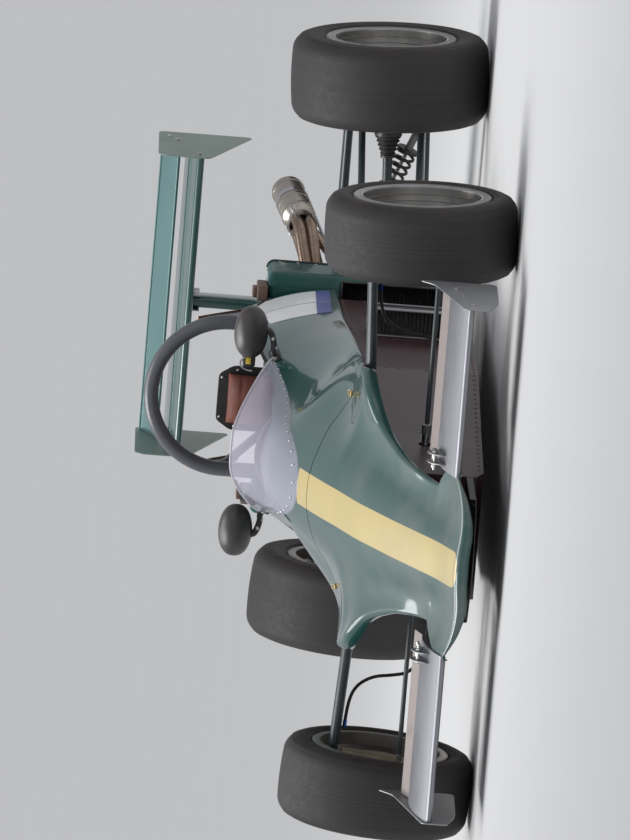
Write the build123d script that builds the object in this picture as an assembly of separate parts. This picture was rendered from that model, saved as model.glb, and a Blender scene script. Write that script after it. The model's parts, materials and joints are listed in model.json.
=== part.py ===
from build123d import *
import os
from math import cos, radians, sin, tan

# Single seat open wheel racing car with wings, millimetres.
# X is the driver's left, Y runs to the rear, Z is up and the ground is at zero.
# Stations are measured back from the front axle. The origin is under the middle of the car.

# Overall layout.
WHEELBASE = 2490
FRONT_OVERHANG = 800
REAR_OVERHANG = 685
FRONT_TRACK = 1490
REAR_TRACK = 1500
CAMBER = 3
FRONT_AXLE_Y = FRONT_OVERHANG - (FRONT_OVERHANG + WHEELBASE + REAR_OVERHANG) / 2

# Clearances.
SEAT_GAP = 0.3
RUN_GAP = 0.4
MOVE_GAP = 6

# Tyres and rims.
FRONT_TYRE_D = 512
FRONT_TYRE_W = 210
REAR_TYRE_D = 557
REAR_TYRE_W = 236
CROWN_R = 900
SHOULDER_R = 46
TYRE_WALL = 11
BEAD_D = 332
RIM_FLANGE_D = 364
RIM_WALL = 5
FRONT_RIM_W = 200
REAR_RIM_W = 226
SPOKE_WIDTH = 62
SPOKE_COUNT = 4
HUB_R = 42
HUB_BORE_R = 15
DISC_R = 120
DISC_T = 10

# Body skin.
SKIN_T = 5
SPLIT_GAP = 4
TUB_FRONT_S = -330
TUB_REAR_S = 1480
TUB_BOTTOM_Z = 52
TUB_TOP_Z = 345
TUB_REAR_TOP_Z = 410
TUB_HALF_W = 288
TUB_FRONT_HALF_W = 165
TUB_AXLE_HALF_W = 205
TUB_SIDE_T = 62
TUB_FLOOR_T = 18
TUB_BULKHEAD_T = 50
COCKPIT_FRONT_S = 560
SURROUND_REAR_S = 1500

# Wings.
WING_TIP_X = 682
WING_ROOT_X = 238
WING_CHORD = 285
WING_THICK = 26
WING_LE_S = -742
WING_LE_Z = 138
WING_ANGLE = 9
WING_CAMBER = 8
PLATE_T = 3
REAR_WING_SPAN = 866
REAR_MAIN_CHORD = 300
REAR_MAIN_THICK = 34
REAR_MAIN_CAMBER = -4
REAR_MAIN_ANGLE = 7
REAR_FLAP_CHORD = 118
REAR_FLAP_THICK = 14
REAR_FLAP_CAMBER = -3
REAR_FLAP_ANGLE = 24
REAR_MAIN_LE_S = WHEELBASE + 290
REAR_MAIN_LE_Z = 782
POST_W = 38
POST_CHORD = 84

# Front suspension. The steering axis runs from the lower to the upper ball.
LOWER_BALL_X = 686
LOWER_BALL_Z = 142
UPPER_BALL_X = 664
UPPER_BALL_Z = 376
BALL_PIN_R = 8
ROCKER_H = 31
ROCKER_CHORD = 58
ROCKER_PIVOT_X = 190
ROCKER_PIVOT_S = 52
ROCKER_PIVOT_Z = 347
STEER_ARM_L = 80
STEER_ARM_Z = 214
RACK_S = -STEER_ARM_L
TRACK_ROD_R = 7
RACK_R = 11
RACK_TUBE_R = 18
RACK_HALF_L = 190

# Hoop, cockpit and steering wheel.
HOOP_S = 1455
HOOP_TUBE_R = 21
HOOP_HALF_W = 205
HOOP_TOP_Z = 922
HOOP_FOOT_Z = 530
WHEEL_RIM_R = 128
WHEEL_GRIP_R = 12
WHEEL_S = 690
WHEEL_Z = 498
COLUMN_TILT = 20
COLUMN_R = 10
DASH_S = 585

# Engine and gearbox.
ENGINE_FRONT_S = TUB_REAR_S + SEAT_GAP
ENGINE_L = 480
ENGINE_HALF_W = 98
GEARBOX_HALF_W = 84
OUTPUT_HALF_W = 118

os.makedirs("parts", exist_ok=True)


def at(x, s, z):
    """A point from its side distance, its station behind the front axle and its height."""
    return Vector(x, FRONT_AXLE_Y + s, z)


def sides(shape):
    """The left piece and its mirror image on the right."""
    return [shape, mirror(shape, about=Plane.YZ)]


def block(x0, x1, s0, s1, z0, z1):
    """A box between two side distances, two stations and two heights."""
    centre = at((x0 + x1) / 2, (s0 + s1) / 2, (z0 + z1) / 2)
    return Pos(*centre) * Box(abs(x1 - x0), abs(s1 - s0), abs(z1 - z0))


def rod(start, end, radius, end_radius=None):
    """A round bar, or a cone where it has an end radius, between two points."""
    axis = end - start
    plane = Plane(origin=start, z_dir=axis)
    if end_radius is None:
        return extrude(plane * Circle(radius), axis.length)
    tip = Plane(origin=end, x_dir=plane.x_dir, z_dir=axis)
    return loft([plane * Circle(radius), tip * Circle(end_radius)])


def blade(start, end, chord, thick):
    """A streamlined bar, rounded at both edges, with its chord along the car."""
    axis = (end - start).normalized()
    plane = Plane(origin=start, x_dir=Vector(0, 1, 0), z_dir=axis)
    return extrude(plane * SlotOverall(chord, thick), (end - start).length)


def tube(path, radius):
    """A round bar carried along a path."""
    wire = Wire(path) if not isinstance(path, Wire) else path
    start = Plane(origin=wire @ 0, z_dir=wire % 0)
    return sweep(start * Circle(radius), path=wire)


def in_plan(points, z0, z1):
    """A prism over a plan outline given as side distance and station."""
    outline = Polyline(*[at(x, s, z0) for x, s in points], close=True)
    return extrude(make_face(outline), amount=z1 - z0, dir=(0, 0, 1))


def in_side(points, x0, x1):
    """A prism across the car over a side outline given as station and height."""
    outline = Polyline(*[at(x0, s, z) for s, z in points], close=True)
    return extrude(make_face(outline), amount=x1 - x0, dir=(1, 0, 0))


def station(s0, s1):
    """Everything between two stations."""
    return block(-1000, 1000, s0, s1, -200, 1200)


NODES = {}


def node(name, *shapes):
    """Keeps the solids of one node."""
    NODES[name] = [solid for shape in shapes for solid in shape.solids()]


# Body skin sections from the nose tip to the seat bulkhead. Columns: station, crest height,
# half width and height of the knee, half width and height of the lower edge.
SKIN_ROWS = [
    (-800, 122, 50, 120, 96, 118),
    (-782, 130, 64, 125, 158, 126),
    (-760, 139, 70, 132, 206, 133),
    (-738, 148, 74, 139, 236, 141),
    (-660, 177, 84, 160, 235, 160),
    (-600, 203, 92, 182, 204, 172),
    (-560, 221, 98, 199, 176, 178),
    (-400, 292, 118, 266, 198, 243),
    (-300, 334, 129, 305, 224, 280),
    (-200, 375, 139, 343, 262, 313),
    (-100, 409, 144, 377, 336, 348),
    (0, 444, 150, 411, 372, 388),
    (100, 480, 160, 430, 364, 386),
    (210, 516, 164, 454, 348, 382),
    (450, 588, 124, 546, 326, 378),
    (COCKPIT_FRONT_S, 610, 132, 556, 322, 382),
    (900, 715, 192, 604, 314, 400),
    (1200, 784, 240, 628, 302, 410),
    (SURROUND_REAR_S, 790, 250, 640, 310, 420),
]


def skin_outline(row, inset):
    """Half outline of one section moved inwards: crest, knee and edge points with the tangent."""
    s, crest, knee_x, knee_z, edge_x, edge_z = row
    sag = crest - knee_z
    radius = (knee_x ** 2 + sag ** 2) / (2 * sag)
    normal = Vector(knee_x / radius, 0, (knee_z - crest + radius) / radius)
    tangent = Vector(normal.Z, 0, -normal.X)
    chord = Vector(edge_x - knee_x, 0, edge_z - knee_z).normalized()
    end_tangent = chord * (2 * chord.dot(tangent)) - tangent
    end_normal = Vector(-end_tangent.Z, 0, end_tangent.X)
    top = at(0, s, crest - inset)
    knee = at(knee_x, s, knee_z) - normal * inset
    edge = at(edge_x, s, edge_z) - end_normal * inset
    return top, knee, edge, tangent


def flip(v):
    """The same vector or point on the other side of the car."""
    return Vector(-v.X, v.Y, v.Z)


def skin_chain(row, inset):
    """The curve of one section from the right edge over the crest to the left edge."""
    top, knee, edge, tangent = skin_outline(row, inset)
    right = TangentArc(flip(knee), flip(edge), tangent=flip(tangent))
    crest = ThreePointArc(flip(knee), top, knee)
    left = TangentArc(knee, edge, tangent=tangent)
    return [right, crest, left], edge


def skin_shell(rows, outset, inset):
    """A shell between two offsets of the skin, over the given sections."""
    faces = []
    for row in rows:
        outer, outer_edge = skin_chain(row, -outset)
        inner, inner_edge = skin_chain(row, inset)
        ends = [Line(outer_edge, inner_edge), Line(flip(outer_edge), flip(inner_edge))]
        faces.append(Face(Wire(outer + inner + ends)))
    return loft(faces, ruled=True)


def skin_fill(rows, inset, base_z):
    """The solid under the skin, moved in by the inset, down to a flat base."""
    faces = []
    for row in rows:
        chain, edge = skin_chain(row, inset)
        corner = Vector(edge.X, edge.Y, base_z)
        lower = [Line(edge, corner), Line(corner, flip(corner)), Line(flip(corner), flip(edge))]
        faces.append(Face(Wire(chain + lower)))
    return loft(faces, ruled=True)


def aerofoil(le_s, le_z, chord, thick, camber, angle, x):
    """Aerofoil face of arcs at a side distance, nose forward, tilted up towards the rear."""
    place = Plane(origin=at(x, le_s, le_z), x_dir=(0, cos(radians(angle)), sin(radians(angle))),
                  z_dir=(1, 0, 0))
    nose = thick * 0.32
    tail = thick * 0.08
    low = camber - thick / 2
    high = camber + thick / 2
    top = ThreePointArc((nose, nose), (chord * 0.4, high), (chord, tail))
    bottom = ThreePointArc((chord, 0), (chord * 0.4, low), (nose, -nose))
    tip = ThreePointArc((nose, -nose), (0, 0), (nose, nose))
    back = Line((chord, tail), (chord, 0))
    return place * make_face([tip, top, back, bottom])


# Body skin

skin = skin_shell(SKIN_ROWS, 0, SKIN_T)
fill_out = skin_fill(SKIN_ROWS, -SEAT_GAP, 0)
fill_in = skin_fill(SKIN_ROWS, SKIN_T + SEAT_GAP, 0)

SPLIT_MID_S = 150
SPLIT_CORNER_X = 190
SPLIT_CORNER_S = 214
SHOULDER_END_X = 300
SHOULDER_END_S = 160
FAR_X = 480
FAR_S = 60


def split_region(offset):
    """Plan region ahead of the line where the nose meets the cockpit surround."""
    corner = at(SPLIT_CORNER_X, SPLIT_CORNER_S + offset, 0)
    arc = ThreePointArc(flip(corner), at(0, SPLIT_MID_S + offset, 0), corner)
    rest = Polyline(corner, at(SHOULDER_END_X, SHOULDER_END_S + offset, 0), at(FAR_X, FAR_S + offset, 0),
                    at(FAR_X, -900, 0), at(-FAR_X, -900, 0), at(-FAR_X, FAR_S + offset, 0),
                    at(-SHOULDER_END_X, SHOULDER_END_S + offset, 0), flip(corner))
    return extrude(make_face([arc, rest]), amount=900, dir=(0, 0, 1))


nose_region = split_region(-SPLIT_GAP / 2)
rear_region = split_region(SPLIT_GAP / 2)
nose_shell = skin & nose_region

# Cockpit opening, left half: side distance and station.
OPENING_PLAN = [(112, COCKPIT_FRONT_S), (178, 800), (196, 900), (246, 1300), (246, 1600)]
OPENING_LOW_Z = 380


def both_sides(points):
    """A closed plan outline from its left half."""
    return points + [(-x, s) for x, s in reversed(points)]


opening = in_plan(both_sides(OPENING_PLAN), OPENING_LOW_Z, 1000)
cockpit_surround = skin - rear_region - opening
node("cockpit_surround", cockpit_surround)


# Tub: floor, hollow sides, bulkheads and the hoops that carry the skin

TUB_PLAN = [(TUB_FRONT_HALF_W, TUB_FRONT_S), (TUB_AXLE_HALF_W, 0), (TUB_HALF_W, 500),
            (TUB_HALF_W, TUB_REAR_S)]
TUB_TOP = [(TUB_FRONT_S, 236), (0, 322), (300, TUB_TOP_Z), (450, 356), (900, 394),
           (TUB_REAR_S, TUB_REAR_TOP_Z)]
FOOT_WALL_T = 24
tub_plan = in_plan(both_sides(TUB_PLAN), TUB_BOTTOM_Z, 600)
tub_side = in_side([(TUB_FRONT_S, TUB_BOTTOM_Z + 20), (TUB_FRONT_S + 40, TUB_BOTTOM_Z)]
                   + [(TUB_REAR_S, TUB_BOTTOM_Z)] + list(reversed(TUB_TOP)), -600, 600)
well = [(TUB_FRONT_HALF_W - FOOT_WALL_T, TUB_FRONT_S + FOOT_WALL_T),
        (TUB_AXLE_HALF_W - FOOT_WALL_T, 0), (TUB_HALF_W - TUB_SIDE_T, 500),
        (TUB_HALF_W - TUB_SIDE_T, TUB_REAR_S - TUB_BULKHEAD_T)]
tub_hollow = in_plan(both_sides(well), TUB_BOTTOM_Z + TUB_FLOOR_T, 700)
tub = (tub_plan & tub_side) - tub_hollow

HOOP_PLATE_T = 12
HOOP_EDGE_Z = 384
LEG_HOLE_W = 330
LEG_HOLE_TOP_Z = 420
rear_bulkhead = station(TUB_REAR_S - TUB_BULKHEAD_T, TUB_REAR_S) & fill_in
rear_bulkhead -= block(-600, 600, 1000, 1600, HOOP_FOOT_Z, 900)
rear_bulkhead -= block(-600, 600, 1000, 1600, 0, TUB_BOTTOM_Z)
rear_bulkhead -= block(TUB_HALF_W, 600, 1000, 1600, 0, TUB_REAR_TOP_Z)
rear_bulkhead -= block(-TUB_HALF_W, -600, 1000, 1600, 0, TUB_REAR_TOP_Z)
dash_hoop = station(DASH_S - HOOP_PLATE_T, DASH_S) & fill_in
dash_hoop -= block(-600, 600, 0, 900, 0, TUB_TOP_Z)
for side in (1, -1):
    dash_hoop -= block(side * TUB_HALF_W, side * 600, 0, 900, 0, HOOP_EDGE_Z)
dash_hoop -= block(-LEG_HOLE_W / 2, LEG_HOLE_W / 2, 0, 900, 0, LEG_HOLE_TOP_Z)
front_hoop = station(-HOOP_PLATE_T, 0) & fill_in
front_hoop -= block(-600, 600, -100, 100, 0, 300)
front_hoop &= block(-TUB_AXLE_HALF_W + 4, TUB_AXLE_HALF_W - 4, -100, 100, 0, 900)
front_hoop -= block(-120, 120, -100, 100, 0, 390)
tub = tub + rear_bulkhead + dash_hoop + front_hoop

LUG_T = 6
PIVOT_HALF_L = 42
for side in (1, -1):
    for s in (ROCKER_PIVOT_S - PIVOT_HALF_L - LUG_T - SEAT_GAP, ROCKER_PIVOT_S + PIVOT_HALF_L + SEAT_GAP):
        tub += block(side * (ROCKER_PIVOT_X - 16), side * (ROCKER_PIVOT_X + 12), s, s + LUG_T,
                     318, ROCKER_PIVOT_Z + 12)
node("tub", tub)

# Nose frame: a tray under the nose, two rails and the wing spar tube

SPAR_R = 13
SPAR_S = -640
SPAR_Z = 140
TRAY_Z = 84
RAIL_X = 80
RAIL_R = 12
RAIL_Z = SPAR_Z - RAIL_R
rails = [rod(at(side * RAIL_X, TUB_FRONT_S - SEAT_GAP, RAIL_Z), at(side * RAIL_X, SPAR_S, RAIL_Z), RAIL_R)
         for side in (1, -1)]
spar = rod(at(-WING_ROOT_X + SEAT_GAP, SPAR_S, SPAR_Z), at(WING_ROOT_X - SEAT_GAP, SPAR_S, SPAR_Z),
           SPAR_R)
tray = in_plan(both_sides([(24, -772), (60, -756), (150, -690), (165, -640),
                           (TUB_FRONT_HALF_W, TUB_FRONT_S - SEAT_GAP)]), TRAY_Z - 4, TRAY_Z)
stays = block(-92, -68, -600, -596, TRAY_Z, 130) + block(68, 92, -600, -596, TRAY_Z, 130)
nose_frame = rails[0] + rails[1] + spar + tray + stays
node("nose_frame", nose_frame)
nose_shell -= rod(at(-300, SPAR_S, SPAR_Z), at(300, SPAR_S, SPAR_Z), SPAR_R + 1)
node("nose_shell", nose_shell)

# Front wings with their flaps and end plates

FLAP_CHORD = 62
FLAP_T = 5
FLAP_ANGLE = 17
span = WING_TIP_X - WING_ROOT_X
main = extrude(aerofoil(WING_LE_S, WING_LE_Z, WING_CHORD, WING_THICK, WING_CAMBER, WING_ANGLE,
                        WING_ROOT_X), span, dir=(1, 0, 0))
te_s = WING_LE_S + WING_CHORD * cos(radians(WING_ANGLE))
te_z = WING_LE_Z + WING_CHORD * sin(radians(WING_ANGLE))
flap_plane = Plane(origin=at(WING_ROOT_X, te_s + SEAT_GAP + FLAP_T * sin(radians(FLAP_ANGLE)), te_z - 4),
                   x_dir=(0, cos(radians(FLAP_ANGLE)), sin(radians(FLAP_ANGLE))), z_dir=(1, 0, 0))
flap = extrude(flap_plane * Rectangle(FLAP_CHORD, FLAP_T, align=(Align.MIN, Align.MIN)), span)
node("front_wings", *sides(main))
node("front_flaps", *sides(flap))

# End plate corners: station and height, front edge first.
FRONT_PLATE = [(WING_LE_S - 8, 92), (WING_LE_S - 8, 158), (-420, 226), (-372, 262), (-360, 250),
               (-360, 62), (-640, 66)]
front_plate = in_side(FRONT_PLATE, WING_TIP_X + SEAT_GAP, WING_TIP_X + SEAT_GAP + PLATE_T)
node("front_endplates", *sides(front_plate))

# Front suspension

kingpin_low = at(LOWER_BALL_X, 0, LOWER_BALL_Z)
kingpin_top = at(UPPER_BALL_X, 0, UPPER_BALL_Z)
kingpin_dir = (kingpin_top - kingpin_low).normalized()


def on_kingpin(distance):
    """A point on the steering axis, measured up from the lower ball."""
    return kingpin_low + kingpin_dir * distance


KINGPIN_L = (kingpin_top - kingpin_low).length
EYE_R = 17
EYE_HALF_H = 12
rocker_root = at(ROCKER_PIVOT_X, ROCKER_PIVOT_S, ROCKER_PIVOT_Z)
arm_end = kingpin_top - Vector(EYE_R - 4, 0, 0)
rocker = blade(rocker_root, arm_end, ROCKER_CHORD, ROCKER_H)
rocker += rod(rocker_root - Vector(0, PIVOT_HALF_L, 0), rocker_root + Vector(0, PIVOT_HALF_L, 0), 12)
rocker -= block(0, ROCKER_PIVOT_X - 16, -100, 200, 0, 600)
rocker_eye = rod(on_kingpin(KINGPIN_L - EYE_HALF_H), on_kingpin(KINGPIN_L + EYE_HALF_H), EYE_R)
rocker = rocker - rod(on_kingpin(KINGPIN_L - 30), on_kingpin(KINGPIN_L + 30), EYE_R - 1) + rocker_eye
rocker -= rod(on_kingpin(KINGPIN_L - 40), on_kingpin(KINGPIN_L + 40), BALL_PIN_R + RUN_GAP)
node("front_rockers", *sides(rocker))

WISHBONE_R = 11
low_eye = rod(on_kingpin(-EYE_HALF_H), on_kingpin(EYE_HALF_H), EYE_R)
wishbone = low_eye
for s, pivot_x in ((-150, 184), (250, 252)):
    wishbone += rod(at(pivot_x + 3, s, 112), kingpin_low, WISHBONE_R)
wishbone -= rod(on_kingpin(-40), on_kingpin(40), BALL_PIN_R + RUN_GAP)
wishbone -= in_plan(both_sides([(x + SEAT_GAP, s) for x, s in TUB_PLAN]), 0, 600)
node("front_wishbones", *sides(wishbone))


# Wheels, built about their own axle along X with the outer side at +X

def wheel_height(tyre_d):
    """Height of the wheel's centre when the tilted crown rests on the ground."""
    return (tyre_d / 2 - CROWN_R) * cos(radians(CAMBER)) + CROWN_R


FRONT_WHEEL_Z = wheel_height(FRONT_TYRE_D)
REAR_WHEEL_Z = wheel_height(REAR_TYRE_D)
front_hub = Pos(*at(FRONT_TRACK / 2, 0, FRONT_WHEEL_Z)) * Rot(0, -CAMBER, 0)
rear_hub = Pos(*at(REAR_TRACK / 2, WHEELBASE, REAR_WHEEL_Z)) * Rot(0, -CAMBER, 0)


def turned(outline):
    """A face drawn as side distance and radius, turned about the axle."""
    return revolve(outline, axis=Axis.X, revolution_arc=360)


def tyre(diameter, width, rim_width):
    """Hollow slick tyre: crowned tread, round shoulders, bulged side walls and beads."""
    radius = diameter / 2
    half = width / 2
    bead_r = BEAD_D / 2
    bead_x = rim_width / 2 - RIM_WALL - 1
    tread_x = half - SHOULDER_R * 0.8
    tread_z = radius - tread_x ** 2 / (2 * CROWN_R)
    wall_z = bead_r + (radius - bead_r) * 0.42
    outer = [Line((-bead_x, bead_r), (-bead_x, bead_r + 19)),
             ThreePointArc((-bead_x, bead_r + 19), (-half + 2, bead_r + 31), (-half, wall_z)),
             ThreePointArc((-half, wall_z), (-half + 10, radius - 18), (-tread_x, tread_z)),
             ThreePointArc((-tread_x, tread_z), (0, radius), (tread_x, tread_z)),
             ThreePointArc((tread_x, tread_z), (half - 10, radius - 18), (half, wall_z)),
             ThreePointArc((half, wall_z), (half - 2, bead_r + 31), (bead_x, bead_r + 19)),
             Line((bead_x, bead_r + 19), (bead_x, bead_r))]
    cavity_x = bead_x - 14
    wall_x = half - TYRE_WALL
    inner = [Line((bead_x, bead_r), (cavity_x, bead_r)),
             Line((cavity_x, bead_r), (wall_x, wall_z)),
             ThreePointArc((wall_x, wall_z), (wall_x - 10, radius - 28), (tread_x - 8, radius - 20)),
             Line((tread_x - 8, radius - 20), (-tread_x + 8, radius - 20)),
             ThreePointArc((-tread_x + 8, radius - 20), (-wall_x + 10, radius - 28),
                           (-wall_x, wall_z)),
             Line((-wall_x, wall_z), (-cavity_x, bead_r)),
             Line((-cavity_x, bead_r), (-bead_x, bead_r))]
    return turned(make_face(outer + inner))


def rim(width, disc_x, hub_in, bore_r):
    """Barrel with two flanges and a drop centre, a spoked centre and the hub."""
    half = width / 2
    seat = BEAD_D / 2 - SEAT_GAP
    flange = RIM_FLANGE_D / 2
    well_r = seat - 18
    outline = [(-half, flange), (-half + RIM_WALL, flange), (-half + RIM_WALL, seat),
               (-half + 34, seat), (-half + 46, well_r), (half - 70, well_r), (half - 40, seat),
               (half - RIM_WALL, seat), (half - RIM_WALL, flange), (half, flange),
               (half, seat - RIM_WALL - 4), (half - 38, seat - RIM_WALL - 2),
               (half - 68, well_r - RIM_WALL), (-half + 44, well_r - RIM_WALL),
               (-half + 32, seat - RIM_WALL), (-half, seat - RIM_WALL)]
    barrel = turned(make_face(Polyline(*outline, close=True)))
    plate = [(disc_x - 6, HUB_R - 4), (disc_x - 12, HUB_R + 24), (disc_x - 6, well_r - 2),
             (disc_x + 8, well_r - 2), (disc_x + 2, HUB_R + 24), (disc_x + 14, HUB_R - 4)]
    centre = turned(make_face(Polyline(*plate, close=True)))
    window_r = (HUB_R + well_r) / 2 + 2
    window = Pos(disc_x, 0, window_r) * Box(80, SPOKE_WIDTH * 1.35, well_r - HUB_R - 34)
    window = fillet(window.edges().filter_by(Axis.X), 16)
    for i in range(SPOKE_COUNT):
        centre -= Rot(360 / SPOKE_COUNT * (i + 0.5), 0, 0) * window
    hub = turned(make_face(Polyline((hub_in, bore_r), (disc_x + 16, bore_r), (disc_x + 16, HUB_R),
                                    (hub_in, HUB_R), close=True)))
    return barrel + centre + hub


def brake_disc(x, inner_r):
    """A brake disc round the hub."""
    return turned(make_face(Polyline((x - DISC_T / 2, inner_r), (x + DISC_T / 2, inner_r),
                                     (x + DISC_T / 2, DISC_R), (x - DISC_T / 2, DISC_R),
                                     close=True)))


FRONT_SPOKE_X = 22
REAR_SPOKE_X = 30
DISC_X = -22
HUB_INNER_X = -40
STUB_R = HUB_BORE_R
front_tyre = front_hub * tyre(FRONT_TYRE_D, FRONT_TYRE_W, FRONT_RIM_W)
front_rim = front_hub * rim(FRONT_RIM_W, FRONT_SPOKE_X, HUB_INNER_X, HUB_BORE_R + RUN_GAP)
front_disc = front_hub * brake_disc(DISC_X, HUB_R + SEAT_GAP)
rear_tyre = rear_hub * tyre(REAR_TYRE_D, REAR_TYRE_W, REAR_RIM_W)
rear_rim = rear_hub * rim(REAR_RIM_W, REAR_SPOKE_X, HUB_INNER_X, HUB_BORE_R + RUN_GAP)
for name, shape in (("tyre_front", front_tyre), ("rim_front", front_rim),
                    ("brake_disc", front_disc), ("tyre_rear", rear_tyre), ("rim_rear", rear_rim)):
    left, right = sides(shape)
    node(name + "_left", left)
    node(name + "_right", right)

# Front uprights: hub carrier, stub axle, ball pins, steering arm and brake caliper

CARRIER_R = 36
carrier_end = HUB_INNER_X - MOVE_GAP
upright = front_hub * turned(make_face(Polyline((carrier_end - 22, 0), (carrier_end, 0),
                                                (carrier_end, CARRIER_R),
                                                (carrier_end - 22, CARRIER_R), close=True)))
upright += front_hub * (Rot(0, 90, 0) * Pos(0, 0, carrier_end - 4)
                        * Cylinder(STUB_R, FRONT_SPOKE_X - carrier_end + 14,
                                   align=(Align.CENTER, Align.CENTER, Align.MIN)))
PLATE_HALF_W = 24
web_low = EYE_HALF_H + MOVE_GAP
web_high = KINGPIN_L - ROCKER_H / 2 - MOVE_GAP
web_plane = Plane(origin=on_kingpin(web_low), x_dir=(0, 1, 0), z_dir=kingpin_dir)
web = extrude(web_plane * RectangleRounded(2 * PLATE_HALF_W, 22, 6), web_high - web_low)
upright += web
upright += rod(on_kingpin(-EYE_HALF_H), on_kingpin(KINGPIN_L + EYE_HALF_H), BALL_PIN_R)
upright -= front_hub * (Rot(0, 90, 0) * Pos(0, 0, carrier_end) * (
    Cylinder(HUB_R + MOVE_GAP, 200, align=(Align.CENTER, Align.CENTER, Align.MIN))
    - Cylinder(STUB_R, 200, align=(Align.CENTER, Align.CENTER, Align.MIN))))
upright -= front_hub * (Rot(0, 90, 0) * Pos(0, 0, DISC_X - DISC_T / 2 - MOVE_GAP)
                        * (Cylinder(RIM_FLANGE_D / 2, 200,
                                    align=(Align.CENTER, Align.CENTER, Align.MIN))
                           - Cylinder(STUB_R, 200, align=(Align.CENTER, Align.CENTER, Align.MIN))))
arm_height = (STEER_ARM_Z - LOWER_BALL_Z) / kingpin_dir.Z
arm_root = on_kingpin(arm_height)
ARM_T = 10
ARM_EYE_R = 12
arm_tip = arm_root + Vector(0, -STEER_ARM_L, 0)
steer_arm = block(arm_root.X - 10, arm_root.X + 10, -STEER_ARM_L, 4, STEER_ARM_Z,
                  STEER_ARM_Z + ARM_T)
steer_arm += Pos(arm_tip.X, arm_tip.Y, STEER_ARM_Z + ARM_T / 2) * Cylinder(ARM_EYE_R, ARM_T)
ROD_PIN_R = 4
ROD_EYE_T = 12
ROD_DROP = 5
steer_arm += Pos(arm_tip.X, arm_tip.Y, STEER_ARM_Z - 11) * Cylinder(ROD_PIN_R, 24)
upright += steer_arm
CALIPER_W = 54
CALIPER_X = DISC_X - 3
caliper = Rot(-104, 0, 0) * (Pos(CALIPER_X, 0, DISC_R - 22) * Box(CALIPER_W, 96, 64)
                             - Pos(DISC_X, 0, 0) * Rot(0, 90, 0)
                             * Cylinder(DISC_R + MOVE_GAP, DISC_T + 2 * MOVE_GAP))
caliper &= Rot(0, 90, 0) * Pos(0, 0, -90) * Cylinder(RIM_FLANGE_D / 2 - 48, 220,
                                                     align=(Align.CENTER, Align.CENTER, Align.MIN))
node("upright_left", upright)
node("upright_right", mirror(upright, about=Plane.YZ))
bracket_z = FRONT_WHEEL_Z - 28
caliper = front_hub * caliper
caliper += block(680, 702, CARRIER_R + SEAT_GAP, 74, bracket_z, bracket_z + 44)
node("caliper_left", caliper)
node("caliper_right", mirror(caliper, about=Plane.YZ))

# Steering rack with its track rods, and the housing on the tub

rack_z = STEER_ARM_Z - ROD_DROP - ROD_EYE_T / 2
eye_centre = Vector(arm_tip.X, arm_tip.Y, rack_z)
rack = rod(at(-RACK_HALF_L - 60, RACK_S, rack_z), at(RACK_HALF_L + 60, RACK_S, rack_z), RACK_R)
for side in (1, -1):
    eye = Vector(side * eye_centre.X, eye_centre.Y, rack_z)
    rack += rod(Vector(side * (RACK_HALF_L + 50), eye.Y, rack_z),
                Vector(side * (eye.X * side - 14), eye.Y, rack_z), TRACK_ROD_R)
    rack += Pos(*eye) * Cylinder(17, ROD_EYE_T)
for side in (1, -1):
    rack -= Pos(side * eye_centre.X, eye_centre.Y, rack_z) * Cylinder(11, 60)
node("steering_rack", rack)
rack_path = rod(at(-400, RACK_S, rack_z), at(400, RACK_S, rack_z), RACK_R + RUN_GAP)
housing = rod(at(-RACK_HALF_L, RACK_S, rack_z), at(RACK_HALF_L, RACK_S, rack_z), RACK_TUBE_R)

# Steering wheel on its column

column_dir = Vector(0, cos(radians(COLUMN_TILT)), sin(radians(COLUMN_TILT)))
wheel_centre = at(0, WHEEL_S, WHEEL_Z)
wheel_plane = Plane(origin=wheel_centre, x_dir=(1, 0, 0), z_dir=column_dir)
WHEEL_SPOKES = 3
steering_wheel = wheel_plane * Torus(WHEEL_RIM_R, WHEEL_GRIP_R)
steering_wheel += wheel_plane * Pos(0, 0, -10) * Cylinder(30, 14)
for i in range(WHEEL_SPOKES):
    spoke = Rot(0, 0, 90 + 360 / WHEEL_SPOKES * i) * Pos(WHEEL_RIM_R / 2 + 4, 0, -6) \
        * Box(WHEEL_RIM_R - 14, 26, 4)
    steering_wheel += wheel_plane * spoke
PINION_TOP_S = -42
column_end = wheel_centre - column_dir * ((WHEEL_S - PINION_TOP_S) / cos(radians(COLUMN_TILT)))
column = rod(wheel_centre - column_dir * 17.3, column_end, COLUMN_R)
node("steering_wheel", steering_wheel)
node("steering_column", column)
column_path = rod(wheel_centre, column_end - column_dir * 80, COLUMN_R + RUN_GAP)
tower_top = column_end - column_dir * RUN_GAP
housing += rod(tower_top, tower_top - column_dir * 56, 19)
housing -= rack_path
node("rack_housing", housing)

# Dash panel with the column bush

DASH_T = 8
dash = (station(DASH_S + SEAT_GAP, DASH_S + SEAT_GAP + DASH_T) & fill_in)
dash &= block(-220, 220, 500, 700, LEG_HOLE_TOP_Z - 20, 900)
bush_centre = wheel_centre - column_dir * ((WHEEL_S - DASH_S) / cos(radians(COLUMN_TILT)))
dash += rod(bush_centre, bush_centre + column_dir * 30, 20)
dash -= column_path
node("dash_panel", dash - (station(0, DASH_S + SEAT_GAP)))
tub_cut = column_path + rod(bush_centre - column_dir * 60, bush_centre + column_dir * 35, 26)
tub_cut += rod(at(-400, RACK_S, rack_z), at(400, RACK_S, rack_z), RACK_TUBE_R + SEAT_GAP)
NODES["tub"] = (tub - tub_cut).solids()

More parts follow.
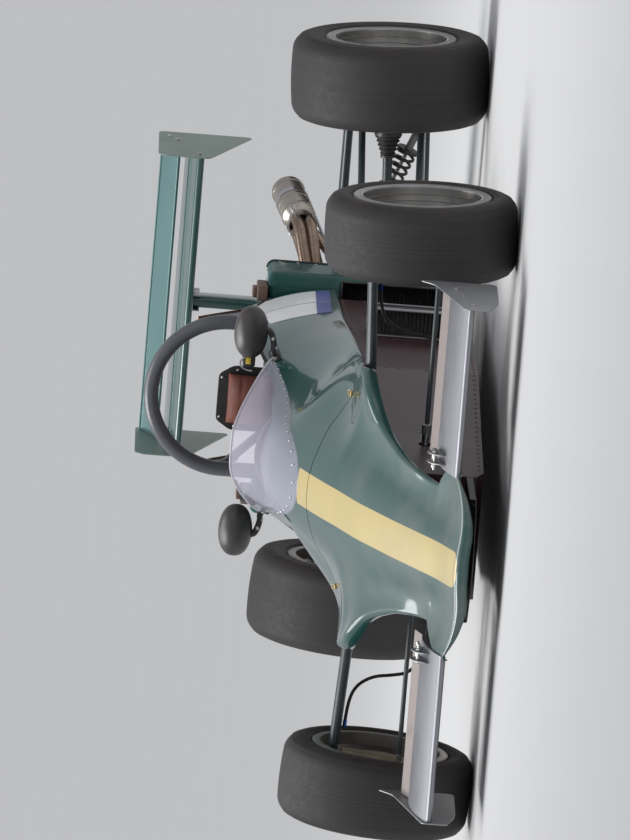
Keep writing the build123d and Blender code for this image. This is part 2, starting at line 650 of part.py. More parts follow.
# Windscreen: sections like the skin's, trimmed to the skin and along its top edge.
# Columns as for the skin.
SCREEN_ROWS = [
    (226, 530, 24, 524, 44, 500),
    (450, 612, 84, 590, 138, 524),
    (670, 692, 118, 650, 182, 522),
    (905, 770, 150, 720, 218, 556),
]
SCREEN_T = 3
SCREEN_TOP_S = 670
SCREEN_END_S = 900
screen = skin_shell(SCREEN_ROWS, 0, SCREEN_T) - fill_out
screen -= in_side([(SCREEN_TOP_S, 692), (SCREEN_END_S + 40, 585), (1200, 560), (1200, 1000),
                   (SCREEN_TOP_S, 1000)], -400, 400)
screen_solids = sorted(screen.solids(), key=lambda solid: -solid.volume)
node("windscreen", screen_solids[0])

# Mirrors on short stalks

MIRROR_X = 274
MIRROR_S = 950
MIRROR_Z = 655
MIRROR_HALF_W = 71
MIRROR_HALF_H = 46
MIRROR_END_R = 16
profile = [Line((-MIRROR_HALF_W, 0), (-MIRROR_HALF_W, MIRROR_END_R)),
           ThreePointArc((-MIRROR_HALF_W, MIRROR_END_R), (0, MIRROR_HALF_H),
                         (MIRROR_HALF_W, MIRROR_END_R)),
           Line((MIRROR_HALF_W, MIRROR_END_R), (MIRROR_HALF_W, 0)),
           Line((MIRROR_HALF_W, 0), (-MIRROR_HALF_W, 0))]
mirror_body = turned(make_face(profile))
mirror_body = fillet(mirror_body.edges().sort_by(Axis.X)[0], 8)
mirror_body = fillet(mirror_body.edges().sort_by(Axis.X)[-1], 8)
mirror_shell = Pos(*at(MIRROR_X, MIRROR_S, MIRROR_Z)) * mirror_body
mirror_shell -= block(0, 600, MIRROR_S + 20, MIRROR_S + 100, 500, 800)
STALK_FOOT_X = 214
stalk = rod(at(MIRROR_X - 20, MIRROR_S, MIRROR_Z - 20), at(STALK_FOOT_X, MIRROR_S - 6, 570), 8)
mirror_part = (mirror_shell + stalk) - fill_out
mirror_part = sorted(mirror_part.solids(), key=lambda solid: -solid.volume)[0]
node("mirrors", *sides(mirror_part))

# Roll hoop with its rear braces

leg_top = HOOP_TOP_Z - HOOP_TUBE_R - HOOP_HALF_W
hoop_path = [Line(at(-HOOP_HALF_W, HOOP_S, HOOP_FOOT_Z + SEAT_GAP), at(-HOOP_HALF_W, HOOP_S, leg_top)),
             ThreePointArc(at(-HOOP_HALF_W, HOOP_S, leg_top), at(0, HOOP_S, leg_top + HOOP_HALF_W),
                           at(HOOP_HALF_W, HOOP_S, leg_top)),
             Line(at(HOOP_HALF_W, HOOP_S, leg_top), at(HOOP_HALF_W, HOOP_S, HOOP_FOOT_Z + SEAT_GAP))]
hoop = tube(hoop_path, HOOP_TUBE_R)
BRACE_R = 13
BRACE_ROOT_Z = 700
GEARBOX_TOP_Z = 366
BRACE_FOOT_X = 66
BRACE_FOOT_S = WHEELBASE - 160
for side in (1, -1):
    hoop += rod(at(side * HOOP_HALF_W, HOOP_S, BRACE_ROOT_Z),
                at(side * BRACE_FOOT_X, BRACE_FOOT_S, GEARBOX_TOP_Z), BRACE_R)
hoop -= block(-HOOP_HALF_W, HOOP_HALF_W, BRACE_FOOT_S - 100, BRACE_FOOT_S + 100,
              GEARBOX_TOP_Z - 60, GEARBOX_TOP_Z + SEAT_GAP)
node("roll_hoop", hoop)

# Seat and headrest

SEAT_T = 14
SEAT_HALF_W = 206
SEAT_FRONT_S = 770
SEAT_BACK_TOP_Z = 486
seat_floor_z = TUB_BOTTOM_Z + TUB_FLOOR_T + SEAT_GAP
seat_back_s = TUB_REAR_S - TUB_BULKHEAD_T - SEAT_GAP
seat_outer = in_side([(SEAT_FRONT_S - 58, seat_floor_z + 70), (SEAT_FRONT_S, seat_floor_z),
                      (seat_back_s - 380, seat_floor_z), (seat_back_s - 290, seat_floor_z + 26),
                      (seat_back_s, SEAT_BACK_TOP_Z - 34), (seat_back_s, SEAT_BACK_TOP_Z),
                      (seat_back_s - 330, seat_floor_z + 56), (seat_back_s - 400, seat_floor_z + SEAT_T),
                      (SEAT_FRONT_S + SEAT_T, seat_floor_z + SEAT_T),
                      (SEAT_FRONT_S - 46, seat_floor_z + 80)], -SEAT_HALF_W, SEAT_HALF_W)
node("seat", seat_outer)
HEADREST_HALF_W = 78
HEADREST_T = 62
HEADREST_LOW_Z = 560
HEADREST_TOP_Z = 700
HEAD_PLATE_HALF_W = 90
HEAD_PLATE_T = 4
head_s = TUB_REAR_S - TUB_BULKHEAD_T
headrest = block(-HEADREST_HALF_W, HEADREST_HALF_W, head_s - HEADREST_T, head_s - SEAT_GAP,
                 HEADREST_LOW_Z, HEADREST_TOP_Z)
headrest = fillet(headrest.edges().filter_by(Axis.Z), HEADREST_T * 0.38)
node("headrest", headrest)
head_plate = block(-HEAD_PLATE_HALF_W, HEAD_PLATE_HALF_W, head_s, head_s + HEAD_PLATE_T,
                   HOOP_FOOT_Z + SEAT_GAP, HEADREST_TOP_Z + 20)
head_plate += block(-HEAD_PLATE_HALF_W, HEAD_PLATE_HALF_W, head_s, head_s + 22, HOOP_FOOT_Z + SEAT_GAP,
                    HOOP_FOOT_Z + SEAT_GAP + HEAD_PLATE_T)
node("headrest_plate", head_plate)

# Engine with its cam cover, intake trumpets and exhaust

engine_rear_s = ENGINE_FRONT_S + ENGINE_L
BLOCK_LOW_Z = 130
BLOCK_TOP_Z = 400
HEAD_HALF_W = 84
HEAD_Z = 520
SUMP_HALF_W = 72
SUMP_Z = 74
COVER_HALF_W = 66
COVER_TOP_Z = 586
COVER_R = 28
ENGINE_STEP = 24
engine = block(-ENGINE_HALF_W, ENGINE_HALF_W, ENGINE_FRONT_S, engine_rear_s, BLOCK_LOW_Z, BLOCK_TOP_Z)
engine += block(-SUMP_HALF_W, SUMP_HALF_W, ENGINE_FRONT_S + ENGINE_STEP, engine_rear_s - ENGINE_STEP,
                SUMP_Z, BLOCK_LOW_Z)
engine += block(-HEAD_HALF_W, HEAD_HALF_W, ENGINE_FRONT_S + ENGINE_STEP, engine_rear_s - ENGINE_STEP,
                BLOCK_TOP_Z, HEAD_Z)
cover = block(-COVER_HALF_W, COVER_HALF_W, ENGINE_FRONT_S + ENGINE_STEP, engine_rear_s - ENGINE_STEP,
              HEAD_Z, COVER_TOP_Z)
cover = fillet(cover.edges().filter_by(Axis.Y).group_by(Axis.Z)[-1], COVER_R)
engine += cover
node("engine", engine)

PORT_COUNT = 4
PORT_PITCH = 96
PORT_Z = 470
PORT_R = 18
PORT_FIRST_S = ENGINE_FRONT_S + ENGINE_L / 2 - PORT_PITCH * 1.5
TRUMPET_R = 24
MOUTH_R = 36
THROAT_L = 88
MOUTH_L = 46
PLENUM_HALF_H = 27
intake = None
for i in range(PORT_COUNT):
    port = at(-HEAD_HALF_W - SEAT_GAP, PORT_FIRST_S + PORT_PITCH * i, PORT_Z)
    throat = port + Vector(-THROAT_L, 0, THROAT_L / 4)
    one = rod(port, port - Vector(12, 0, 0), TRUMPET_R + 6)
    one += rod(port - Vector(9, 0, 0), throat, TRUMPET_R)
    one += rod(throat, throat + Vector(-MOUTH_L, 0, MOUTH_L / 4), TRUMPET_R, MOUTH_R)
    intake = one if intake is None else intake + one
throat_s0 = PORT_FIRST_S - TRUMPET_R - 6
intake += block(-HEAD_HALF_W - THROAT_L + 12, -HEAD_HALF_W - 20, throat_s0,
                throat_s0 + PORT_PITCH * (PORT_COUNT - 1) + 2 * (TRUMPET_R + 6),
                PORT_Z - 24, PORT_Z - 24 + 2 * PLENUM_HALF_H)
node("intake", intake)

CAN_R = 46
CAN_WALL = 5
COLLECTOR_R = 30
COLLECTOR = at(388, engine_rear_s + 90, 506)
CAN_END = at(456, engine_rear_s + 262, 550)
MERGE_X = 240
can_dir = (CAN_END - COLLECTOR).normalized()
exhaust = None
for i in range(PORT_COUNT):
    port = at(HEAD_HALF_W + SEAT_GAP, PORT_FIRST_S + PORT_PITCH * i, PORT_Z)
    bend = port + Vector(74 + PORT_R * i, 0, 0)
    merge = at(MERGE_X, engine_rear_s - 14 - 10 * i, PORT_Z - 30 + 12 * i)
    run = FilletPolyline(port, bend, merge, COLLECTOR, radius=[26, 26])
    one = tube(run, PORT_R)
    exhaust = one if exhaust is None else exhaust + one
exhaust += rod(COLLECTOR - can_dir * 6, COLLECTOR + can_dir * 26, COLLECTOR_R)
exhaust += rod(COLLECTOR + can_dir * 20, COLLECTOR + can_dir * 36, COLLECTOR_R, CAN_R)
exhaust += rod(COLLECTOR + can_dir * 36, CAN_END, CAN_R)
exhaust -= rod(CAN_END - can_dir * 40, CAN_END + can_dir * 10, CAN_R - CAN_WALL)
node("exhaust", exhaust)

# Gearbox with bell housing, output flanges and the rear cross member

BELL_L = 150
BELL_W = 300
BELL_H = 290
BELL_Z = 270
GEARBOX_LOW_Z = 160
GEARBOX_TAIL = 240
bell_s = engine_rear_s + SEAT_GAP
bell_front = Plane(origin=at(0, bell_s, BELL_Z), x_dir=(1, 0, 0), z_dir=(0, 1, 0))
bell_back = Plane(origin=at(0, bell_s + BELL_L, BELL_Z - 8), x_dir=(1, 0, 0), z_dir=(0, 1, 0))
gearbox = loft([bell_front * RectangleRounded(BELL_W, BELL_H, 60),
                bell_back * RectangleRounded(2 * GEARBOX_HALF_W + 12, BELL_H - 80, 40)])
box_end_s = WHEELBASE + GEARBOX_TAIL
gearbox += block(-GEARBOX_HALF_W, GEARBOX_HALF_W, bell_s + BELL_L, box_end_s, GEARBOX_LOW_Z, GEARBOX_TOP_Z)
tilt = tan(radians(CAMBER))
output_z = REAR_WHEEL_Z - (REAR_TRACK / 2 - OUTPUT_HALF_W) * tilt
FINAL_DRIVE_R = 84
gearbox += rod(at(-GEARBOX_HALF_W - 8, WHEELBASE, output_z + 4),
               at(GEARBOX_HALF_W + 8, WHEELBASE, output_z + 4), FINAL_DRIVE_R)
MEMBER_S = WHEELBASE + 60
MEMBER_HALF_L = 50
MEMBER_HALF_W = 214
MEMBER_TOP_Z = 400
LOW_MEMBER_HALF_W = 150
LOW_MEMBER_Z = 118
gearbox += block(-MEMBER_HALF_W, MEMBER_HALF_W, MEMBER_S - MEMBER_HALF_L, MEMBER_S + MEMBER_HALF_L,
                 GEARBOX_TOP_Z, MEMBER_TOP_Z)
gearbox += block(-LOW_MEMBER_HALF_W, LOW_MEMBER_HALF_W, MEMBER_S - MEMBER_HALF_L,
                 MEMBER_S + MEMBER_HALF_L, LOW_MEMBER_Z, GEARBOX_LOW_Z)
EAR_X = 160
EAR_S = bell_s + 25
EAR_HALF = 10
ROD_ZS = (180, 330)
for z in ROD_ZS:
    gearbox += block(-EAR_X, EAR_X, EAR_S - EAR_HALF, EAR_S + EAR_HALF, z - 15, z + 15)
BOSS_R = 28
shaft_in = -(REAR_TRACK / 2 - OUTPUT_HALF_W) / cos(radians(CAMBER))
boss = rear_hub * (Pos(shaft_in - RUN_GAP - 30, 0, 0) * Rot(0, 90, 0) * Cylinder(BOSS_R, 60))
gearbox = gearbox + sides(boss)[0] + sides(boss)[1]
node("gearbox", gearbox)

# Half shafts with their ribbed boots, in line with the tilted axles

SHAFT_R = 14
BOOT_R = 37
BOOT_RIBS = 4
BOOT_PITCH = 15
boot_outer_x = -REAR_RIM_W / 2 - 6


def boot(x, direction):
    """Stepped bellows narrowing towards the shaft's middle."""
    shape = None
    for i in range(BOOT_RIBS):
        big = BOOT_R - 5 * i
        x0 = x + direction * BOOT_PITCH * i
        ring = Pos(x0 + direction * BOOT_PITCH / 2, 0, 0) * Rot(0, 90, 0) * Cylinder(big, BOOT_PITCH * 0.6)
        core = Pos(x0 + direction * BOOT_PITCH / 2, 0, 0) * Rot(0, 90, 0) * Cylinder(big - 7, BOOT_PITCH)
        piece = ring + core
        shape = piece if shape is None else shape + piece
    return shape


shaft = Pos((shaft_in - 60) / 2, 0, 0) * Rot(0, 90, 0) * Cylinder(SHAFT_R, -shaft_in - 60)
shaft += boot(boot_outer_x, -1)
shaft += boot(shaft_in + 6, 1)
shaft += Pos(shaft_in + 3, 0, 0) * Rot(0, 90, 0) * Cylinder(46, 6)
shaft += Pos(-18, 0, 0) * Rot(0, 90, 0) * Cylinder(HUB_BORE_R, 96)
half_shaft = rear_hub * shaft

# Rear uprights, links, radius rods and spring units

UP_IN_X = HUB_INNER_X - MOVE_GAP - 26
rear_upright = Pos(UP_IN_X + 13, 0, 0) * Rot(0, 90, 0) * Cylinder(44, 26)
rear_upright += Pos(UP_IN_X + 13, 0, 2) * Box(26, 66, 252)
rear_upright -= Pos(UP_IN_X, 0, 0) * Rot(0, 90, 0) * Cylinder(SHAFT_R + 6, 200)
rear_upright = rear_hub * rear_upright
node("rear_uprights", *sides(rear_upright))
node("half_shaft_left", half_shaft)
node("half_shaft_right", mirror(half_shaft, about=Plane.YZ))

ROD_R = 10
ROD_END_R = 13


def link(start, end, radius, end_r):
    """A rod with a ball shaped rod end at each end."""
    return rod(start, end, radius) + Pos(*start) * Sphere(end_r) + Pos(*end) * Sphere(end_r)


def on_rear_upright(x, y, z):
    """A point given from the rear wheel's centre along its tilted axle."""
    return (rear_hub * Pos(x, y, z)).position


UPPER_LINK_CHORD = 50
UPPER_LINK_T = 30
upper_in = at(MEMBER_HALF_W - 4, MEMBER_S - 20, 383)
upper_link = blade(upper_in, on_rear_upright(UP_IN_X + 6, 0, 108), UPPER_LINK_CHORD, UPPER_LINK_T)
upper_link -= rear_hub * Pos(UP_IN_X - SEAT_GAP + 50, 0, 100) * Box(100, 200, 200)
upper_link -= block(0, MEMBER_HALF_W + SEAT_GAP, MEMBER_S - 100, MEMBER_S + 100, 300, 450)
lower_links = []
for s, y in ((MEMBER_S - 34, -18), (MEMBER_S + 20, 18)):
    lower_links.append(link(at(LOW_MEMBER_HALF_W + SEAT_GAP + ROD_END_R, s, 139),
                            on_rear_upright(UP_IN_X - SEAT_GAP - ROD_END_R, y, -108),
                            ROD_R, ROD_END_R))
node("rear_links", *[piece for one in [upper_link] + lower_links for piece in sides(one)])
radius_rods = []
for z_in, z_out in ((ROD_ZS[0], -92), (ROD_ZS[1], 76)):
    radius_rods.append(link(at(EAR_X + ROD_END_R + SEAT_GAP, EAR_S, z_in),
                            on_rear_upright(UP_IN_X + 13, -33 - ROD_END_R - SEAT_GAP, z_out),
                            ROD_R, ROD_END_R))
node("radius_rods", *[piece for one in radius_rods for piece in sides(one)])

DAMPER_R = 14
SPRING_R = 32
damper_top = at(190, MEMBER_S + 25, GEARBOX_TOP_Z - SEAT_GAP - DAMPER_R)
damper_low = at(600, WHEELBASE + 27, 187.5)
damper = link(damper_low, damper_top, DAMPER_R - 3, DAMPER_R)
damper_dir = (damper_top - damper_low).normalized()
damper += rod(damper_low + damper_dir * 62, damper_low + damper_dir * 250, SPRING_R)
damper += rod(damper_low + damper_dir * 240, damper_low + damper_dir * 350, 22)
node("rear_dampers", *sides(damper))

# Rear wing on its centre post

half_span = REAR_WING_SPAN / 2 - PLATE_T - SEAT_GAP
rear_main = extrude(aerofoil(REAR_MAIN_LE_S, REAR_MAIN_LE_Z, REAR_MAIN_CHORD, REAR_MAIN_THICK,
                             REAR_MAIN_CAMBER, REAR_MAIN_ANGLE, -half_span), 2 * half_span, dir=(1, 0, 0))
FLAP_LE_S = REAR_MAIN_LE_S + 240
FLAP_LE_Z = REAR_MAIN_LE_Z + 56
rear_flap = extrude(aerofoil(FLAP_LE_S, FLAP_LE_Z, REAR_FLAP_CHORD, REAR_FLAP_THICK, REAR_FLAP_CAMBER,
                             REAR_FLAP_ANGLE, -half_span), 2 * half_span, dir=(1, 0, 0))
node("rear_wing_main", rear_main)
node("rear_wing_flap", rear_flap)
# Rear end plate corners: station and height.
rear_end_s = WHEELBASE + REAR_OVERHANG
plate_s = REAR_MAIN_LE_S - 9
REAR_PLATE = [(plate_s, 757), (plate_s, 886), (plate_s + 20, 904), (rear_end_s - 14, 899),
              (rear_end_s, 886), (rear_end_s, 638), (rear_end_s - 14, 632)]
rear_plate = in_side(REAR_PLATE, REAR_WING_SPAN / 2 - PLATE_T, REAR_WING_SPAN / 2)
node("rear_endplates", *sides(rear_plate))
POST_FOOT_S = WHEELBASE + 122
POST_FOOT_L = 96
POST_FRONT_S = REAR_MAIN_LE_S + 86
POST_REAR_S = POST_FRONT_S + POST_CHORD
foot_z = GEARBOX_TOP_Z + SEAT_GAP
post = in_side([(POST_FOOT_S, foot_z), (POST_FOOT_S + POST_FOOT_L, foot_z), (POST_REAR_S, 540),
                (POST_REAR_S, 830), (POST_FRONT_S, 830), (POST_FRONT_S, 600)], -POST_W / 2, POST_W / 2)
corners = [edge for edge in post.edges() if abs((edge % 0.5).X) < 0.1 and abs((edge @ 0.5).X) > POST_W / 4
           and (edge @ 0.5).Z > foot_z + 2]
post = chamfer(corners, 9)
post -= rear_main.moved(Location((0, 0, -SEAT_GAP)))
post -= rear_main
post_solids = sorted(post.solids(), key=lambda solid: solid.center().Z)
node("wing_post", post_solids[0])

# Rain light and rear jacking bar

LIGHT_HALF_W = 60
LIGHT_T = 34
LIGHT_LOW_Z = 270
LIGHT_TOP_Z = 340
JACK_R = 12.5
JACK_L = 220
JACK_REACH = 70
JACK_Z = 205
LUG_IN_X = 44
LUG_OUT_X = 56
LUG_WALL = 6
light_s = box_end_s + SEAT_GAP
light = block(-LIGHT_HALF_W, LIGHT_HALF_W, light_s, light_s + LIGHT_T, LIGHT_LOW_Z, LIGHT_TOP_Z)
light = fillet(light.edges().filter_by(Axis.Y), 10)
node("rain_light", light)
jack_s = light_s + JACK_REACH
lug_r = JACK_R + LUG_WALL
jack = rod(at(-JACK_L / 2, jack_s, JACK_Z), at(JACK_L / 2, jack_s, JACK_Z), JACK_R)
for side in (1, -1):
    jack += block(side * LUG_IN_X, side * LUG_OUT_X, light_s, jack_s, JACK_Z - lug_r, JACK_Z + lug_r)
    jack += rod(at(side * LUG_IN_X, jack_s, JACK_Z), at(side * LUG_OUT_X, jack_s, JACK_Z), lug_r)
node("jack_bar", jack)

# Oil coolers on the tub sides, and the radiators in their cowls beside the engine

COOLER_S = 950
COOLER_OUT_X = 366
COOLER_TOP_Z = 344
cooler = block(TUB_HALF_W + SEAT_GAP, COOLER_OUT_X, COOLER_S, COOLER_S + 90, 130, COOLER_TOP_Z)
cooler -= block(TUB_HALF_W + 8, COOLER_OUT_X - 6, COOLER_S - 5, COOLER_S + 20, 138, COOLER_TOP_Z - 8)
cooler = fillet(cooler.edges().filter_by(Axis.Y).group_by(Axis.X)[-1], 14)
node("oil_coolers", *sides(cooler))

COWL_IN_X = 232
COWL_OUT_X = 342
COWL_FRONT_S = SURROUND_REAR_S + 8
COWL_REAR_S = 1716
COWL_TOP_Z = 604
COWL_BOTTOM_Z = 92
COWL_T = 4
COWL_R = 46


def cowl_solid(inset):
    """Rounded cowl block moved in by an inset on its sides and top."""
    body = block(COWL_IN_X + inset, COWL_OUT_X - inset, COWL_FRONT_S + inset, COWL_REAR_S,
                 COWL_BOTTOM_Z, COWL_TOP_Z - inset)
    upright_edges = body.edges().filter_by(Axis.Z).group_by(Axis.Y)[0]
    return fillet(upright_edges, COWL_R - inset)


MOUTH_LOW_Z = 110
MOUTH_TOP_Z = 400
CORE_S = 1600
CORE_T = 50
cowl = cowl_solid(0) - cowl_solid(COWL_T)
cowl -= block(COWL_IN_X + 30, COWL_OUT_X - 14, COWL_FRONT_S - 10, COWL_FRONT_S + COWL_R,
              MOUTH_LOW_Z, MOUTH_TOP_Z)
node("radiator_cowls", *sides(cowl))
core = block(COWL_IN_X + COWL_T + SEAT_GAP, COWL_OUT_X - COWL_T - SEAT_GAP, CORE_S, CORE_S + CORE_T,
             COWL_BOTTOM_Z + 8, COWL_TOP_Z - 64)
node("radiators", *sides(core))
BRACKET_S = COWL_REAR_S - 90
BRACKET_Z = 180
cowl_arm = block(ENGINE_HALF_W + SEAT_GAP, COWL_IN_X - SEAT_GAP, BRACKET_S, BRACKET_S + 16,
                 BRACKET_Z, BRACKET_Z + 30)
node("cowl_brackets", *sides(cowl_arm))

# Blank number panels on the surround's sides

PANEL_T = 1.5
panel_band = skin_shell(SKIN_ROWS, SEAT_GAP + PANEL_T, -SEAT_GAP)
panel = panel_band & in_side([(1200, 432), (1208, 598), (1444, 632), (1480, 602), (1480, 434)], 100, 600)
node("number_panels", panel, mirror(panel, about=Plane.YZ))

# Brake hoses from the rocker's end down to the tub

HOSE_R = 5
HOSE_POINTS = [(600, 6, 351), (548, 32, 348), (496, 50, 330), (468, 60, 285), (462, 62, 235),
               (452, 62, 188), (408, 60, 158), (350, 58, 150), (282, 60, 147), (217, 66, 146)]
hose_route = [at(x, s, z) for x, s, z in HOSE_POINTS]
radii = []
for before, corner, after in zip(hose_route, hose_route[1:], hose_route[2:]):
    run = min((corner - before).length, (after - corner).length)
    turn = radians((corner - before).get_angle(after - corner))
    radii.append(0.45 * run / tan(turn / 2) if turn > 0.001 else 1000)
hose = tube(FilletPolyline(*hose_route, radius=radii), HOSE_R)
node("brake_hoses", *sides(hose))

for name, solids in NODES.items():
    export_step(Compound(children=list(solids)) if len(solids) > 1 else solids[0], f"parts/{name}.step")
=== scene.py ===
import json

import bmesh
import bpy
import numpy as np
from mathutils import Matrix, Vector

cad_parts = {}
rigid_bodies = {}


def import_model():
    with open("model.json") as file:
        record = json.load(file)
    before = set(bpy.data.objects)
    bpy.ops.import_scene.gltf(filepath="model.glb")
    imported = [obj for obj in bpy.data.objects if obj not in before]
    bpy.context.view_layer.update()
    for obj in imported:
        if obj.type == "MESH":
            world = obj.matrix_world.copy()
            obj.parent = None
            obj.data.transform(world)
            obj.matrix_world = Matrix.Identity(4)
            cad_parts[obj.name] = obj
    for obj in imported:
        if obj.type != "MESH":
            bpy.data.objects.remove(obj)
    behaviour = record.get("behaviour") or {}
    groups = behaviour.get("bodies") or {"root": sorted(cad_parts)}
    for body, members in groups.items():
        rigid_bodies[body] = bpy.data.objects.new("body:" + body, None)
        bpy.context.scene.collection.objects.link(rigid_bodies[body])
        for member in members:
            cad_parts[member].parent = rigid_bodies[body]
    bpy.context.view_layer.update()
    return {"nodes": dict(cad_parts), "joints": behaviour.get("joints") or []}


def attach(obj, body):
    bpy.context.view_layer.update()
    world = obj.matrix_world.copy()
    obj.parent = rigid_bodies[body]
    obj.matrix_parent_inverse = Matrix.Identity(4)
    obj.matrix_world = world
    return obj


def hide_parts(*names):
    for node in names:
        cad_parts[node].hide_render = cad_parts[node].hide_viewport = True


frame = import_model()

# Single seat open wheel racing car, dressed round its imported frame, in metres.
# X is the driver's left, Y runs to the rear, Z is up. Stations are measured back from the front axle.
JOINTS = {joint["name"]: joint for joint in frame["joints"]}
FRONT_AXLE_Y = JOINTS["front_left_wheel_spin"]["pos_m"][1]
REAR_AXLE_Y = JOINTS["rear_left_wheel_spin"]["pos_m"][1]
WHEELBASE = REAR_AXLE_Y - FRONT_AXLE_Y


WELD = 2e-6  # points closer than this become one
AXIS_R = 0.0002  # radius at which a turned solid closes on its axis
ACROSS, FORE, UP = np.eye(3)


# Small mathematics

def unit(v):
    """Vectors scaled to length one along the last axis."""
    v = np.asarray(v, float)
    return v / np.maximum(np.linalg.norm(v, axis=-1, keepdims=True), 1e-12)


def spot(x, s, z):
    """A point or points from side distance, station behind the front axle and height."""
    x, s, z = np.broadcast_arrays(np.asarray(x, float), s, z)
    return np.stack([x, FRONT_AXLE_Y + s, z], -1)


def smooth(t, knots, values):
    """Monotone cubic through (knots, values): Hermite pieces whose slopes are harmonic means."""
    t, knots, values = np.asarray(t, float), np.asarray(knots, float), np.asarray(values, float)
    step = np.diff(knots)
    rise = np.diff(values) / step
    inner = np.zeros(len(knots) - 2)
    same = rise[:-1] * rise[1:] > 0
    inner[same] = 2 * rise[:-1][same] * rise[1:][same] / (rise[:-1] + rise[1:])[same]
    slope = np.concatenate([rise[:1], inner, rise[-1:]])
    i = np.clip(np.searchsorted(knots, t, side="right") - 1, 0, len(knots) - 2)
    h = step[i]
    u = np.clip((t - knots[i]) / h, 0, 1)
    return (values[i] * (1 + 2 * u) * (1 - u) ** 2 + values[i + 1] * u * u * (3 - 2 * u)
            + h * slope[i] * u * (1 - u) ** 2 - h * slope[i + 1] * u * u * (1 - u))


def through(points, count):
    """Evenly spaced points on the centripetal Catmull-Rom curve through the given points."""
    p = np.asarray(points, float)
    p = np.concatenate([[2 * p[0] - p[1]], p, [2 * p[-1] - p[-2]]])
    knot = np.concatenate([[0], np.cumsum(np.sqrt(np.linalg.norm(np.diff(p, axis=0), axis=1)))])
    t = np.linspace(knot[1], knot[-2], 40 * len(points))
    i = np.clip(np.searchsorted(knot, t, side="right") - 1, 1, len(p) - 3)
    k = [knot[i + j][:, None] for j in (-1, 0, 1, 2)]
    q = [p[i + j] for j in (-1, 0, 1, 2)]
    t = t[:, None]
    a = [((k[j + 1] - t) * q[j] + (t - k[j]) * q[j + 1]) / (k[j + 1] - k[j]) for j in range(3)]
    b = [((k[j + 2] - t) * a[j] + (t - k[j]) * a[j + 1]) / (k[j + 2] - k[j]) for j in range(2)]
    dense = ((k[2] - t) * b[0] + (t - k[1]) * b[1]) / (k[2] - k[1])
    length = np.concatenate([[0], np.cumsum(np.linalg.norm(np.diff(dense, axis=0), axis=1))])
    even = np.linspace(0, length[-1], count)
    return np.stack([np.interp(even, length, dense[:, j]) for j in range(3)], -1)


def frames(path):
    """Two directions across a path that turn with it and never twist."""
    path = np.asarray(path, float)
    along = unit(np.gradient(path, axis=0))
    across = np.zeros_like(path)
    start = UP if abs(along[0, 2]) < 0.9 else ACROSS
    across[0] = unit(np.cross(along[0], start))
    for i in range(1, len(path)):
        across[i] = unit(across[i - 1] - along[i] * (across[i - 1] @ along[i]))
    return across, np.cross(along, across)


# Surfaces: each returns (points, face arrays...) ready for piece()

def quads(rows, cols, ring_rows=False, ring_cols=False):
    """Faces of a grid of points; a ring direction joins its last line to its first."""
    r, c = np.meshgrid(np.arange(rows - (not ring_rows)), np.arange(cols - (not ring_cols)), indexing="ij")
    r1, c1 = (r + 1) % rows, (c + 1) % cols
    return np.stack([r * cols + c, r * cols + c1, r1 * cols + c1, r1 * cols + c], -1).reshape(-1, 4)


def rings_solid(rings, ends=True):
    """Solid through closed rings of points (n, k, 3), with flat ends or open ones."""
    rings = np.asarray(rings, float)
    n, k = rings.shape[:2]
    caps = [np.stack([np.arange(k)[::-1], np.arange(k) + (n - 1) * k])] if ends else []
    return (rings.reshape(-1, 3), quads(n, k, ring_cols=True), *caps)


def carried(path, profile, across=None, scale=None, ends=True):
    """Closed profile (k, 2) carried along a path (n, 3): point = path + a * across + b * other."""
    path, profile = np.asarray(path, float), np.asarray(profile, float)
    if across is None:
        side, other = frames(path)
    else:
        along = unit(np.gradient(path, axis=0))
        side = unit(np.broadcast_to(across, path.shape) - along * np.sum(along * across, -1, keepdims=True))
        other = np.cross(along, side)
    scale = np.ones(len(path)) if scale is None else np.asarray(scale, float)
    scale = scale[:, None] if scale.ndim == 1 else scale
    shape = profile[None] * scale[:, None, :]
    points = path[:, None] + shape[..., :1] * side[:, None] + shape[..., 1:] * other[:, None]
    return rings_solid(points, ends)


def circle(radius, count=16):
    """Profile of a round bar."""
    a = np.linspace(0, 2 * np.pi, count, endpoint=False)
    return radius * np.stack([np.cos(a), np.sin(a)], -1)


def slot_profile(width, height, radius, count=5):
    """Rounded rectangle: four quarter arcs joined by straight sides."""
    a = np.linspace(0, np.pi / 2, count)
    corner = radius * np.stack([np.cos(a), np.sin(a)], -1)
    arcs = []
    for quarter, (sx, sy) in enumerate(((1, 1), (-1, 1), (-1, -1), (1, -1))):
        arc = corner if quarter % 2 == 0 else corner[::-1]
        arcs.append(np.array([sx * (width / 2 - radius), sy * (height / 2 - radius)]) + arc * (sx, sy))
    return np.concatenate(arcs)


def bar(start, end, radius, end_radius=None, count=16, bevel=0.15):
    """Round bar or cone between two points, its end edges eased by a small bevel."""
    start, end = np.asarray(start, float), np.asarray(end, float)
    end_radius = radius if end_radius is None else end_radius
    length = np.linalg.norm(end - start)
    ease = min(bevel * min(radius, end_radius), length * 0.2)
    t = np.array([0, ease, length - ease, length]) / length
    size = radius + (end_radius - radius) * t
    size[[0, -1]] -= ease
    return carried(start + (end - start) * t[:, None], circle(1, count), scale=size)


